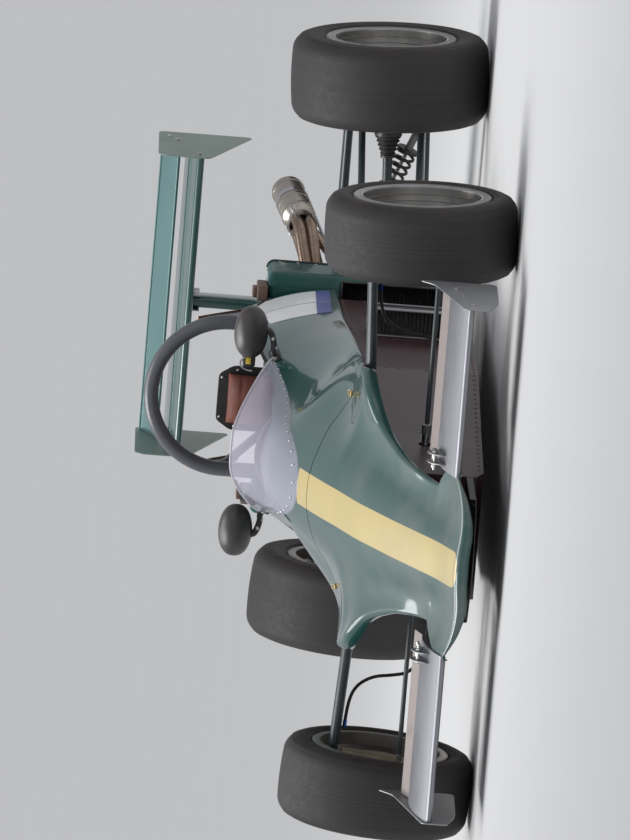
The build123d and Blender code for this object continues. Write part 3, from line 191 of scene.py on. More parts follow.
def block(centre, size, radius, turn=None, rows=4):
    """Rounded block: a rounded rectangle carried along Z whose ends draw in on a quarter arc."""
    sx, sy, sz = size
    a = np.linspace(0, np.pi / 2, rows)
    inset = radius * (1 - np.cos(a))[::-1]
    height = np.concatenate([-sz / 2 + radius * (1 - np.sin(a[::-1])), sz / 2 - radius * (1 - np.sin(a))])
    inset = np.concatenate([inset, inset[::-1]])
    points = []
    for z, cut in zip(height, inset):
        ring = slot_profile(sx - 2 * cut, sy - 2 * cut, max(radius - cut, radius * 0.05))
        points.append(np.column_stack([ring, np.full(len(ring), z)]))
    points = np.array(points)
    if turn is not None:
        points = points @ np.asarray(turn, float).T
    return rings_solid(points + np.asarray(centre, float))


def lathe(outline, place, count=64, ring=True):
    """Outline of (along, radius) turned about the local X axis of a 4x4 place."""
    outline = np.asarray(outline, float)
    a = np.linspace(0, 2 * np.pi, count, endpoint=False)[:, None]
    x, r = outline[:, 0], outline[:, 1]
    points = np.stack([x + 0 * a, r * np.cos(a), r * np.sin(a)], -1)
    faces = quads(count, len(outline), ring_rows=True, ring_cols=ring)
    return (move(points.reshape(-1, 3), place), faces)


def move(points, place):
    """Points carried by a 4x4 matrix."""
    place = np.asarray(place, float)
    return np.asarray(points, float) @ place[:3, :3].T + place[:3, 3]


def two_walls(outer, inner):
    """Closed shell between two grids of the same size, joined along their edges."""
    n, m = outer.shape[:2]
    faces = quads(n, m)
    loop = np.concatenate([np.arange(m), np.arange(1, n) * m + m - 1,
                           (n - 1) * m + np.arange(m - 2, -1, -1), np.arange(n - 2, 0, -1) * m])
    after = np.roll(loop, -1)
    rim = np.stack([after, loop, loop + n * m, after + n * m], -1)
    points = np.concatenate([outer.reshape(-1, 3), inner.reshape(-1, 3)])
    return (points, faces, faces[:, ::-1] + n * m, rim)


def slab(grid, thickness, inward=None):
    """Closed sheet from a grid of points (n, m, 3): the second wall lies a thickness along the normals."""
    du, dv = np.gradient(grid, axis=0), np.gradient(grid, axis=1)
    normal = unit(np.cross(du, dv))
    if inward is not None:
        flip = np.sign(np.sum(normal * (np.asarray(inward) - grid), -1).mean())
        normal = normal * flip
    return two_walls(grid, grid + normal * thickness)


def plate(outline, normal, thickness, bevel=0.0008):
    """Flat plate from a closed outline of points: two faces with a small chamfer round each."""
    outline, normal = np.asarray(outline, float), unit(normal)
    ahead, behind = np.roll(outline, -1, 0) - outline, outline - np.roll(outline, 1, 0)
    out_dir = unit(np.cross(unit(ahead) + unit(behind), normal))
    if np.sum(out_dir * (outline - outline.mean(0))) < 0:
        out_dir = -out_dir
    eased, half = outline - out_dir * bevel, thickness / 2
    return rings_solid([eased - normal * half, outline - normal * (half - bevel),
                        outline + normal * (half - bevel), eased + normal * half])


def place_at(origin, x_dir, up=(0, 0, 1)):
    """4x4 matrix with its local X along x_dir."""
    x = unit(x_dir)
    up = np.asarray(up, float) if abs(x @ unit(up)) < 0.95 else FORE
    y = unit(np.cross(up, x))
    m = np.eye(4)
    m[:3, 0], m[:3, 1], m[:3, 2], m[:3, 3] = x, y, np.cross(x, y), origin
    return m


def fastener(head_r, height, sides=6, dome=0.0):
    """Bolt or rivet head: a low prism or dome standing on its place's YZ plane."""
    if dome:
        a = np.linspace(0, np.pi / 2, 4)
        outline = np.stack([height * np.sin(a), head_r * np.cos(a)], -1)
        outline[-1, 1] = head_r * 0.02
    else:
        outline = [(0, head_r), (height * 0.8, head_r), (height, head_r * 0.82), (height, head_r * 0.02)]
    return np.asarray(outline), sides


def studs(spots, directions, kind):
    """A fastener at each spot, facing its own direction or the one that serves all."""
    outline, sides = kind
    return [lathe(outline, place_at(p, d), sides, ring=False)
            for p, d in zip(spots, np.broadcast_to(directions, np.shape(spots)))]


def placed(parts, carry):
    """The parts with their points carried by a function or a 4x4 matrix."""
    carry = carry if callable(carry) else lambda points, place=carry: move(points, place)
    return [(carry(points), *faces) for points, *faces in parts]


def mirrored(parts):
    """The parts and their mirror images across the car's middle."""
    return list(parts) + [(points * (-1, 1, 1), *[f[:, ::-1] for f in faces]) for points, *faces in parts]


def piece(name, parts, finish, sharp=40, replaces=(), body="chassis"):
    """Joins parts into one mesh with outward faces, gives it a finish and lets it ride on a body."""
    points, corners, sizes, first = [], [], [], 0
    for part_points, *face_sets in parts:
        for faces in face_sets:
            corners.append((faces + first).ravel())
            sizes.append(np.full(len(faces), faces.shape[1]))
        points.append(part_points)
        first += len(part_points)
    points, corners, sizes = np.concatenate(points), np.concatenate(corners), np.concatenate(sizes)
    mesh = bpy.data.meshes.new(name)
    mesh.vertices.add(len(points))
    mesh.vertices.foreach_set("co", points.astype(np.float32).ravel())
    mesh.loops.add(len(corners))
    mesh.loops.foreach_set("vertex_index", corners.astype(np.int32))
    mesh.polygons.add(len(sizes))
    mesh.polygons.foreach_set("loop_start", (np.cumsum(sizes) - sizes).astype(np.int32))
    mesh.polygons.foreach_set("loop_total", sizes.astype(np.int32))
    mesh.update(calc_edges=True)
    mesh.validate()
    shape = bmesh.new()
    shape.from_mesh(mesh)
    bmesh.ops.remove_doubles(shape, verts=shape.verts, dist=WELD)
    bmesh.ops.recalc_face_normals(shape, faces=shape.faces)
    shape.to_mesh(mesh)
    shape.free()
    mesh.shade_smooth()
    mesh.set_sharp_from_angle(angle=np.radians(sharp))
    obj = bpy.data.objects.new(name, mesh)
    bpy.context.scene.collection.objects.link(obj)
    mesh.materials.append(finish)
    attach(obj, body)
    if replaces:
        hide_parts(*replaces)
    return obj


# Shader nodes

class Value:
    """A shader socket on which Python's operators add Math nodes."""

    def __init__(self, tree, socket):
        self.tree, self.socket = tree, socket

    def math(self, operation, *values):
        node = self.tree.nodes.new("ShaderNodeMath")
        node.operation = operation
        for place, value in zip(node.inputs, values):
            if isinstance(value, Value):
                self.tree.links.new(value.socket, place)
            else:
                place.default_value = value
        return Value(self.tree, node.outputs[0])

    def __add__(self, other):
        return self.math("ADD", self, other)

    def __sub__(self, other):
        return self.math("SUBTRACT", self, other)

    def __rsub__(self, other):
        return self.math("SUBTRACT", other, self)

    def __mul__(self, other):
        return self.math("MULTIPLY", self, other)

    def __truediv__(self, other):
        return self.math("DIVIDE", self, other)

    def __gt__(self, other):
        return self.math("GREATER_THAN", self, other)

    def __lt__(self, other):
        return self.math("LESS_THAN", self, other)

    def __abs__(self):
        return self.math("ABSOLUTE", self)

    def ease(self, low, high):
        """0 below low and 1 above high, with a straight ramp between; high may be the lower one."""
        return self.math("MULTIPLY_ADD", self, 1 / (high - low), -low / (high - low)).clamp()

    def clamp(self):
        return self.math("MAXIMUM", self.math("MINIMUM", self, 1.0), 0.0)

    __radd__, __rmul__ = __add__, __mul__


class Finish:
    """A procedural material. node() adds any node; set() fills the surface shader's sockets."""

    def __init__(self, name, **uniform):
        self.material = bpy.data.materials.new(name)
        self.material.use_nodes = True
        self.tree = self.material.node_tree
        self.surface = self.tree.nodes["Principled BSDF"]
        self.set(**uniform)
        self.place = self.node("TexCoord", output="Object")
        split = self.node("SeparateXYZ", inputs={"Vector": self.place}).socket.node
        self.x, self.y, self.z = (Value(self.tree, split.outputs[i]) for i in range(3))

    def node(self, kind, settings=None, inputs=None, output=0):
        """Adds a node: settings first, a ramp's stops among them, then the values or links of its sockets."""
        made = self.tree.nodes.new("ShaderNode" + kind)
        for key, value in (settings or {}).items():
            if key == "stops":
                while len(made.color_ramp.elements) < len(value):
                    made.color_ramp.elements.new(0.5)
                for element, (position, colour) in zip(made.color_ramp.elements, value):
                    element.position, element.color = position, (*colour, 1)
            else:
                setattr(made, key, value)
        for key, value in (inputs or {}).items():
            self.fill(made.inputs[key], value)
        return Value(self.tree, made.outputs[output])

    def fill(self, socket, value):
        if isinstance(value, Value):
            self.tree.links.new(value.socket, socket)
        elif isinstance(value, (tuple, list)) and len(value) == 3 and len(socket.default_value) == 4:
            socket.default_value = (*value, 1)
        else:
            socket.default_value = value

    def set(self, **values):
        """Surface sockets by name, with an underscore for each space."""
        for key, value in values.items():
            self.fill(self.surface.inputs[key.replace("_", " ")], value)
        return self

    def noise(self, scale, detail=4.0, roughness=0.55, stretch=None, distortion=0.0):
        """Noise from 0 to 1 about 0.5; scale is features a metre, stretch divides it along each axis."""
        place = self.place
        if stretch is not None:
            place = self.node("Mapping", inputs={"Vector": place, "Scale": stretch})
        return self.node("TexNoise", inputs={"Vector": place, "Scale": scale, "Detail": detail,
                                             "Roughness": roughness, "Distortion": distortion})

    def mix(self, share, first, second):
        """Colour between two by a share."""
        made = self.tree.nodes.new("ShaderNodeMix")
        made.data_type = "RGBA"
        self.fill(made.inputs["Factor"], share)
        self.fill(made.inputs[6], first)
        self.fill(made.inputs[7], second)
        return Value(self.tree, made.outputs[2])

    def tint(self, base, share, low, high):
        """A colour made darker or lighter: times low where the share is 0, high where it is 1."""
        return self.mix(share, tuple(c * low for c in base), tuple(min(c * high, 1) for c in base))

    def relief(self, height, distance, strength=1.0):
        """Bump from a height share that stands for so many metres."""
        self.set(Normal=self.node("Bump", inputs={"Strength": strength, "Distance": distance,
                                                  "Height": height}))
        return self

    def edge_wear(self, distance=0.004):
        """Share that rises at outward edges, from the bevelled normal against the true one."""
        rounded = self.node("Bevel", {"samples": 4}, {"Radius": distance})
        flat = self.node("NewGeometry", output="Normal")
        cosine = self.node("VectorMath", {"operation": "DOT_PRODUCT"}, {0: rounded, 1: flat}, output="Value")
        return (1 - cosine).ease(0.01, 0.12)


TEAL = (0.01, 0.07, 0.064)
STRIPE = (0.6, 0.47, 0.175)


def gloss_paint(name, colour, stripe=False, dust=0.3, coat=1.0):
    """Two stage paint: clear coat with faint orange peel, dust towards the ground, small stone chips."""
    f = Finish(name, Coat_Weight=coat, Coat_Roughness=0.06, Specular_IOR_Level=0.4 * coat)
    cloud = f.noise(2.6, 3)
    paint = f.tint(colour, cloud, 0.86, 1.16)
    if stripe:
        half, corner, tip = 0.0475, 0.032, FRONT_AXLE_Y - 0.793
        side = (abs(f.x) - (half - corner)).math("MAXIMUM", abs(f.x) - (half - corner), 0.0)
        front = f.y.math("MAXIMUM", (tip + corner) - f.y, 0.0)
        reach = side.math("SQRT", side * side + front * front)
        band = reach.ease(corner + 0.0012, corner) * f.y.ease(FRONT_AXLE_Y + 0.232,
                                                              FRONT_AXLE_Y + 0.229) * f.z.ease(0.104, 0.108)
        paint = f.mix(band, paint, f.tint(STRIPE, cloud, 0.93, 1.04))
    chips = f.noise(420, 1).ease(0.735, 0.76) * f.z.ease(0.42, 0.16) * f.noise(35, 2).ease(0.5, 0.62)
    paint = f.mix(chips * 0.7, paint, (0.32, 0.33, 0.31))
    film = f.noise(7, 5, 0.6).ease(0.4, 0.75) * f.z.ease(0.55, 0.1) * dust
    paint = f.mix(film, paint, (0.33, 0.3, 0.26))
    f.set(Base_Color=paint, Roughness=f.noise(9, 4).ease(0.2, 0.9) * 0.16 + 0.3 + film * 0.4)
    return f.relief(f.noise(260, 2), 0.00012, 0.5).material


def bare_metal(name, colour, rough=0.32, stretch=(1, 1, 1), streaks=90, grime=0.25, metallic=1.0):
    """Sheet or turned metal: fine streaks along the unstretched axis, smudges and dark grime."""
    f = Finish(name, Metallic=metallic)
    fine = f.noise(streaks, 3, 0.6, stretch)
    smudge = f.noise(11, 5, 0.6)
    metal = f.mix(smudge.ease(0.55, 0.8) * grime, f.tint(colour, fine, 0.9, 1.08),
                  tuple(c * 0.35 for c in colour))
    f.set(Base_Color=metal, Roughness=fine.ease(0.25, 0.8) * 0.14 + (rough - 0.06) + smudge.ease(0.4,
                                                                                                 0.9) * 0.12)
    return f.relief(fine, 0.00006, 0.6).material


def cast_metal(name, colour, grain=520, rough=0.55, grime=0.5):
    """Sand cast metal: grainy relief, dark grease in patches from noise."""
    f = Finish(name, Metallic=0.75)
    sand = f.noise(grain, 3, 0.7)
    grease = f.noise(9, 6, 0.65).ease(0.45, 0.72) * grime
    metal = f.mix(grease, f.tint(colour, sand, 0.82, 1.12), (0.035, 0.03, 0.026))
    f.set(Base_Color=metal, Roughness=rough - grease * 0.2 + sand * 0.1)
    return f.relief(sand, 0.0003, 0.6).material


def coated(name, colour, rough=0.42, grain=700, wear=0.35, worn=(0.35, 0.34, 0.33), dust=0.25):
    """Powder coat or satin paint: fine texture, rubbed edges and dust on it."""
    f = Finish(name, Specular_IOR_Level=0.5)
    fine = f.noise(grain, 2)
    rubbed = f.edge_wear() * f.noise(60, 3).ease(0.45, 0.6) * wear
    paint = f.mix(rubbed, f.tint(colour, f.noise(5, 4), 0.85, 1.15), worn)
    film = f.noise(14, 5, 0.6).ease(0.5, 0.85) * dust
    paint = f.mix(film, paint, (0.24, 0.22, 0.19))
    f.set(Base_Color=paint, Roughness=rough + film * 0.5 + fine * 0.08)
    return f.relief(fine, 0.00008, 0.6).material


def tyre_rubber(name, hub, axle, tread_r):
    """Slick rubber by the distance from the axle: scuffed grey tread, browner dusty side walls."""
    f = Finish(name, Specular_IOR_Level=0.35)
    offset = f.node("VectorMath", {"operation": "SUBTRACT"}, {0: f.place, 1: hub})
    around = f.node("VectorMath", {"operation": "CROSS_PRODUCT"}, {0: offset, 1: axle})
    radius = f.node("VectorMath", {"operation": "LENGTH"}, {0: around}, output="Value")
    side = f.node("VectorMath", {"operation": "DOT_PRODUCT"}, {0: offset, 1: axle}, output="Value")
    ring = f.node("CombineXYZ", inputs={"X": side, "Y": radius})
    lines = f.node("TexNoise", inputs={"Vector": ring, "Scale": 170.0, "Detail": 4.0, "Roughness": 0.6})
    scuff = f.noise(46, 6, 0.7, distortion=0.4)
    tread = radius.ease(tread_r - 0.026, tread_r - 0.008)
    wall = f.mix(f.noise(6, 5).ease(0.35, 0.75), (0.026, 0.022, 0.021), (0.052, 0.042, 0.038))
    worn = f.mix(lines.ease(0.3, 0.75), (0.028, 0.027, 0.029), (0.043, 0.04, 0.041))
    worn = f.mix(scuff.ease(0.55, 0.85) * 0.5, worn, (0.06, 0.055, 0.05))
    f.set(Base_Color=f.mix(tread, wall, worn), Roughness=scuff.ease(0.2, 0.9) * 0.25 + 0.55)
    marbles = f.noise(210, 3).ease(0.56, 0.8) * tread
    return f.relief(marbles + lines * 0.06 + scuff * 0.15, 0.0011, 0.6).material


def clear_sheet(name):
    """Thin clear plastic: a faint violet tint, denser where seen along the sheet, fine scratches."""
    f = Finish(name, Base_Color=(0.62, 0.6, 0.72), Specular_IOR_Level=0.5)
    edge = f.node("LayerWeight", inputs={"Blend": 0.55}, output="Facing")
    haze = f.noise(18, 5, 0.7).ease(0.5, 0.9)
    f.set(Alpha=(edge * 0.34 + haze * 0.06 + 0.06).clamp(), Roughness=haze * 0.12 + 0.05)
    return f.material


def hide(name, colour, grain=430, rough=0.5, sheen=0.0):
    """Leather or coated cloth: pebble grain from cells, creases, darker where handled."""
    f = Finish(name, Sheen_Weight=sheen)
    cells = f.node("TexVoronoi", {"feature": "DISTANCE_TO_EDGE"}, {"Vector": f.place, "Scale": float(grain)})
    crease = f.noise(22, 5, 0.7)
    f.set(Base_Color=f.tint(colour, crease.ease(0.3, 0.75), 0.7, 1.2), Roughness=crease * 0.2 + rough - 0.1)
    return f.relief(cells.ease(0.0, 0.25) + crease * 0.8, 0.0005, 0.7).material


def webbing(name, colour):
    """Woven strap: fine diagonal ribs by Object coordinates and slightly faded patches."""
    f = Finish(name, Sheen_Weight=0.3)
    ribs = f.node("TexWave", {"wave_type": "BANDS", "bands_direction": "DIAGONAL"},
                  {"Vector": f.place, "Scale": 260.0, "Distortion": 0.6, "Detail": 1.0})
    f.set(Base_Color=f.tint(colour, f.noise(16, 4), 0.75, 1.2), Roughness=0.72)
    return f.relief(ribs, 0.0004, 0.7).material


def heated_steel(name, near, far):
    """Exhaust steel: straw and brown nearest the ports, paler towards the tail, dull soot specks."""
    f = Finish(name, Metallic=1.0)
    along = f.y.ease(near, far) + (f.noise(9, 4) - 0.5) * 0.35
    hue = f.node("ValToRGB", {"stops": [(0.0, (0.22, 0.155, 0.12)), (0.35, (0.4, 0.32, 0.26)),
                                        (0.7, (0.58, 0.52, 0.46)), (1.0, (0.68, 0.65, 0.61))]},
                 {"Fac": along})
    soot = f.noise(30, 5, 0.65).ease(0.5, 0.8)
    f.set(Base_Color=f.mix(soot * 0.45, hue, (0.08, 0.06, 0.05)), Roughness=soot * 0.25 + 0.26)
    return f.relief(f.noise(160, 4), 0.0002, 0.4).material


def lens_red(name):
    """Moulded lens: vertical flutes under a clear coat."""
    f = Finish(name, Coat_Weight=1.0, Coat_Roughness=0.04, Roughness=0.25)
    flutes = abs(f.x.math("SINE", f.x * 600.0))
    f.set(Base_Color=f.tint((0.42, 0.012, 0.014), flutes, 0.6, 1.15))
    return f.relief(flutes, 0.0006, 0.8).material


def looking_glass(name):
    """Silvered glass with a trace of dust."""
    f = Finish(name, Base_Color=(0.85, 0.87, 0.88), Metallic=1.0)
    f.set(Roughness=f.noise(25, 4).ease(0.55, 0.85) * 0.12 + 0.02)
    return f.material


def finned_core(name):
    """Radiator or oil cooler core: fine upright fins between dark tubes, by Object coordinates; the near
    black between the fins is painted shade.
    """
    f = Finish(name, Metallic=0.6, Roughness=0.5)
    fins = abs(f.x.math("SINE", f.x * 1500.0))
    tubes = abs(f.z.math("SINE", f.z * 300.0))
    # Painted shade: the colour falls to near black between the fin crests, as in the passages through a core.
    f.set(Base_Color=f.mix(fins * tubes.ease(0.2, 0.5), (0.01, 0.01, 0.01), (0.1, 0.1, 0.1)))
    return f.relief(fins * 0.5 + tubes, 0.0012, 0.8).material


def panel_white(name):
    """Blank number panel: white with a blue band along its lower edge and faint scuffs."""
    f = Finish(name, Coat_Weight=0.6, Coat_Roughness=0.1, Roughness=0.4)
    scuff = f.noise(20, 5, 0.65).ease(0.5, 0.85)
    band = f.z.ease(0.4735, 0.4725)
    f.set(Base_Color=f.mix(band, f.tint((0.86, 0.87, 0.88), scuff, 1.0, 0.86), (0.09, 0.11, 0.36)))
    return f.relief(scuff, 0.0001, 0.4).material


def studio_floor(name):
    """Pale plain floor with a very faint mottle, shown to the camera at its own colour."""
    f = Finish(name, Roughness=0.9, Specular_IOR_Level=0.2)
    f.set(Base_Color=f.tint((0.6, 0.6, 0.6), f.noise(0.8, 4), 0.985, 1.01))
    return f.relief(f.noise(60, 3), 0.0005, 0.2).material


BODY_PAINT = gloss_paint("teal_paint_with_stripe", TEAL, stripe=True)
PLAIN_PAINT = gloss_paint("teal_paint", TEAL)
COWL_PAINT = gloss_paint("cowl_teal_paint", TEAL, coat=0.3)
# The rear flap carries the body's teal made lighter: a painted highlight for the light off the raised flap.
LIT_FLAP_PAINT = gloss_paint("flap_teal_paint", (0.068, 0.168, 0.166), dust=0.15)
WING_PAINT = gloss_paint("wing_teal_paint", (0.016, 0.075, 0.066), dust=0.15)
PLATE_PAINT = coated("grey_green_plate", (0.2, 0.27, 0.235), rough=0.4, wear=0.2)
WING_ALLOY = bare_metal("wing_alloy", (0.28, 0.282, 0.305), 0.42, (3, 60, 60), 60, 0.18)
FLAP_ALLOY = bare_metal("flap_alloy", (0.3, 0.262, 0.25), 0.5, (3, 60, 60), 60, 0.3)
SHEET_ALLOY = bare_metal("sheet_alloy", (0.38, 0.385, 0.4), 0.42, (1, 1, 1), 120, 0.25)
RIM_SILVER = bare_metal("rim_silver", (0.5, 0.51, 0.53), 0.34, (1, 1, 1), 40, 0.3, 0.9)
RIM_GREY = coated("rim_centre_grey", (0.16, 0.155, 0.15), rough=0.45, wear=0.5, dust=0.5)
DISC_IRON = bare_metal("disc_iron", (0.36, 0.34, 0.33), 0.3, (1, 1, 1), 300, 0.35)
TUB_PAINT = coated("tub_maroon", (0.04, 0.012, 0.015), rough=0.34, grain=300, wear=0.2, dust=0.12)
SATIN_BLACK = coated("satin_black", (0.022, 0.022, 0.023), rough=0.36)
MIRROR_BLACK = coated("mirror_black", (0.048, 0.043, 0.044), rough=0.33, wear=0.0, dust=0.12)
ARM_PAINT = coated("arm_black", (0.028, 0.04, 0.044), rough=0.3, dust=0.2)
PLATED = bare_metal("plated_steel", (0.52, 0.51, 0.49), 0.3, (1, 1, 1), 200, 0.35)
BRIGHT = bare_metal("bright_steel", (0.55, 0.55, 0.56), 0.24, (1, 1, 1), 200, 0.2)
GOLD_PIN = bare_metal("gold_passivated", (0.72, 0.52, 0.22), 0.28, (1, 1, 1), 200, 0.25)
RED_ANODISED = bare_metal("red_anodised", (0.5, 0.05, 0.04), 0.3, (1, 1, 1), 200, 0.2)
BLUE_ANODISED = bare_metal("blue_anodised", (0.06, 0.12, 0.45), 0.3, (1, 1, 1), 200, 0.2)
CAST_GREY = cast_metal("cast_alloy", (0.42, 0.42, 0.41))
CAST_GOLD = cast_metal("cast_magnesium", (0.36, 0.31, 0.22))
CAST_DARK = cast_metal("cast_engine", (0.26, 0.26, 0.26), grime=0.8)
CRACKLE = coated("crackle_black", (0.026, 0.026, 0.026), rough=0.5, grain=240, wear=0.5)
HOSE_RUBBER = coated("hose_rubber", (0.014, 0.014, 0.014), rough=0.55, grain=240, wear=0.0, dust=0.3)
HEAT_STEEL = heated_steel("heated_steel", FRONT_AXLE_Y + 1.95, FRONT_AXLE_Y + 2.32)
HEADREST_HIDE = hide("headrest_hide", (0.2, 0.055, 0.035))
GRIP_HIDE = hide("grip_suede", (0.03, 0.028, 0.027), grain=900, rough=0.85, sheen=0.4)
SEAT_SHELL = coated("seat_shell", (0.2, 0.2, 0.2), rough=0.45, wear=0.3)
STRAP_RED = webbing("strap_red", (0.42, 0.03, 0.035))
SCREEN_CLEAR = clear_sheet("screen_clear")
LIGHT_RED = lens_red("lens_red")
MIRROR_GLASS = looking_glass("mirror_glass")
CORE_DARK = finned_core("core_fins")
PANEL_WHITE = panel_white("panel_white")
SPRING_PAINT = coated("spring_paint", (0.03, 0.03, 0.032), rough=0.35, wear=0.3)
DASH_ALLOY = coated("dash_black", (0.035, 0.035, 0.035), rough=0.5)
EDGE_CLEAR = coated("screen_edge", (0.62, 0.6, 0.66), rough=0.3, wear=0.0, dust=0.1)
TRIM_YELLOW = coated("tag_yellow", (0.75, 0.52, 0.05), rough=0.45, wear=0.1)


# Camera, floor and light

CAMERA_AZIMUTH = np.radians(10.604)
CAMERA_ELEVATION = np.radians(1.946)
CAMERA_ROLL = np.radians(4.372)
CAMERA_DISTANCE = 39.82
CAMERA_AIM = spot(0.0165, 1.103, 0.4579)
LENS = 626.3


def photograph_camera():
    """Camera of the photograph, which stands on its side: the car's real up is the frame's left."""
    az, el, roll = CAMERA_AZIMUTH, CAMERA_ELEVATION, CAMERA_ROLL
    back = np.array([np.sin(az) * np.cos(el), -np.cos(az) * np.cos(el), np.sin(el)])
    level = np.array([np.cos(az), np.sin(az), 0])
    steep = np.cross(back, level)
    right = np.cos(roll) * level + np.sin(roll) * steep
    up = np.cos(roll) * steep - np.sin(roll) * level
    data = bpy.data.cameras.new("camera")
    data.lens, data.clip_start, data.clip_end = LENS, 1.0, 2000.0
    camera = bpy.data.objects.new("camera", data)
    turn = Matrix(np.column_stack([-up, right, back]).tolist()).to_4x4()
    camera.matrix_world = Matrix.Translation(CAMERA_AIM + back * CAMERA_DISTANCE) @ turn
    bpy.context.scene.collection.objects.link(camera)
    bpy.context.scene.camera = camera


def lamp(kind, name, energy, direction, distance=12.0, **settings):
    """A lamp that shines at the car from a direction and doesn't show itself."""
    data = bpy.data.lights.new(name, kind)
    data.energy = energy
    for key, value in settings.items():
        setattr(data, key, value)
    obj = bpy.data.objects.new(name, data)
    away = Vector(direction).normalized()
    obj.location = away * distance
    obj.rotation_euler = away.to_track_quat("Z", "Y").to_euler()
    obj.visible_camera = False
    bpy.context.scene.collection.objects.link(obj)


def studio():
    """Wide pale floor, an even pale sky and soft lamps from above."""
    half = 900.0
    mesh = bpy.data.meshes.new("floor")
    mesh.from_pydata([(-half, -half, 0), (half, -half, 0), (half, half, 0), (-half, half, 0)], [],
                     [(0, 1, 2, 3)])
    mesh.materials.append(studio_floor("floor_pale"))
    floor = bpy.data.objects.new("floor", mesh)
    bpy.context.scene.collection.objects.link(floor)
    world = bpy.data.worlds.new("sky")
    bpy.context.scene.world = world
    world.use_nodes = True
    tree = world.node_tree
    sky = tree.nodes["Background"]
    sky.inputs["Color"].default_value = (0.86, 0.88, 0.92, 1)
    seen = tree.nodes.new("ShaderNodeLightPath")
    glossy = Value(tree, seen.outputs["Is Glossy Ray"])
    camera = Value(tree, seen.outputs["Is Camera Ray"])
    clear = Value(tree, seen.outputs["Is Transmission Ray"])
    bright = camera.math("MAXIMUM", camera, clear)
    tree.links.new((glossy * 0.05 + bright * 0.45 + 0.45).socket, sky.inputs["Strength"])
    lamp("SUN", "key", 1.7, (-0.45, -0.25, 1.0), angle=np.radians(24))
    lamp("AREA", "softbox_left", 22.0, (0.9, -0.9, 0.75), 7.0, shape="RECTANGLE", size=5.0, size_y=2.0)
    lamp("AREA", "softbox_top", 200.0, (-0.2, 0.1, 1.0), 6.0, shape="RECTANGLE", size=3.0, size_y=5.0)
    bpy.context.scene.view_settings.view_transform = "Standard"


photograph_camera()
studio()


# Body skin: a crest arc and a tangent flare arc in each section, columns smoothed along the car

# Columns: station, crest height, half width and height of the knee, half width and height of the edge.
SKIN = np.array([
    (-800, 122, 70, 118.5, 235, 132), (-738, 148, 74, 139, 235, 142), (-660, 177, 84, 160, 234, 162),
    (-600, 203, 92, 182, 203, 175), (-560, 221, 98, 199, 174, 184), (-400, 292, 118, 266, 189, 256),
    (-300, 334, 129, 305, 212, 296), (-200, 375, 139, 343, 247, 334), (-100, 409, 144, 377, 317, 374),
    (-45, 427, 147, 395, 350, 382), (0, 444, 150, 411, 371, 389),
    (100, 480, 160, 430, 364, 386), (210, 516, 164, 454, 348, 382),
    (450, 588, 124, 546, 326, 378), (560, 610, 132, 556, 322, 382), (900, 715, 192, 604, 314, 400),
    (1200, 784, 240, 628, 302, 410), (1500, 790, 250, 640, 310, 420)]) / 1000
SKIN_T = 0.0045
SURROUND_END_S = SKIN[-1, 0]


def section(s, w):
    """Skin point (x, z) and its downward tangent; w runs 0 to 1 from crest to knee, 1 to 2 on to the edge.

    Crest arc: (R sin a, c - R (1 - cos a)). Flare: knee + L sin(aq) / sin(a) * (tangent turned by aq),
    where L is the chord from knee to edge and a the angle from the knee's tangent to that chord.
    """
    s, w = np.broadcast_arrays(np.asarray(s, float), w)
    crest, kx, kz, ex, ez = (smooth(s, SKIN[:, 0], SKIN[:, i]) for i in range(1, 6))
    sag = crest - kz
    radius = (kx ** 2 + sag ** 2) / (2 * sag)
    full = 2 * np.arctan2(sag, kx)
    a = full * np.clip(w, 0, 1)
    dx, dz = ex - kx, ez - kz
    length = np.hypot(dx, dz)
    turn = np.arctan2(-dz, dx) - full
    turn = np.where(np.abs(turn) < 1e-4, 1e-4, turn)
    q = np.clip(w - 1, 0, 1)
    reach = length * np.sin(turn * q) / np.sin(turn)
    slope = np.where(w <= 1, a, full + 2 * turn * q)
    x = np.where(w <= 1, radius * np.sin(a), kx + reach * np.cos(full + turn * q))
    z = np.where(w <= 1, crest - radius * (1 - np.cos(a)), kz - reach * np.sin(full + turn * q))
    return x, z, slope


def skin_z(x, s):
    """Height of the skin above a side distance and station."""
    w = np.linspace(0, 2, 81)
    heights = []
    for one_x, one_s in zip(np.abs(np.atleast_1d(x)).astype(float),
                            np.broadcast_to(s, np.shape(np.atleast_1d(x)))):
        xs, zs, _ = section(one_s, w)
        heights.append(np.interp(one_x, xs, zs))
    return np.array(heights)


def on_skin(x, s, step=0.006):
    """Point on the skin above a side distance, and the outward normal there from two short steps."""
    base, beside, behind = (spot(a, b, skin_z(a, b)[0]) for a, b in ((x, s), (x + step, s), (x, s + step)))
    way = unit(np.cross(beside - base, behind - base))
    return base, way * np.sign(way[2])


def lip_r(s):
    """Radius of the rolled lower edge: full under the nose's waist, tight over the front arms."""
    return smooth(s, (-0.8, -0.72, -0.62, -0.45, -0.3, -0.2, -0.1, -0.05, 0.0, 0.3, 1.5),
                  (0.005, 0.007, 0.008, 0.01, 0.014, 0.018, 0.026, 0.024, 0.006, 0.006, 0.006))


def skin_points(s, w, inset=0.0):
    """Left half of the skin as car points; w past 2 rolls the lower edge inward on lip_r."""
    s, w = np.broadcast_arrays(np.asarray(s, float), w)
    x, z, slope = section(s, np.minimum(w, 2))
    down = np.stack([np.cos(slope), -np.sin(slope)], -1)
    into = np.stack([-np.sin(slope), -np.cos(slope)], -1)
    roll = np.clip(w - 2, 0, None) * np.pi * 0.5
    r = lip_r(s)
    x = x + r * (np.sin(roll) * down[..., 0] + (1 - np.cos(roll)) * into[..., 0])
    z = z + r * (np.sin(roll) * down[..., 1] + (1 - np.cos(roll)) * into[..., 1])
    x, z = x + into[..., 0] * inset, z + into[..., 1] * inset
    return spot(x, s, z)


SPLIT_X = (0, 0.1, 0.138, 0.186, 0.22, 0.259, 0.31, 0.36, 0.48)
SPLIT_S = (0.15, 0.16, 0.178, 0.214, 0.216, 0.196, 0.15, 0.1, 0.06)


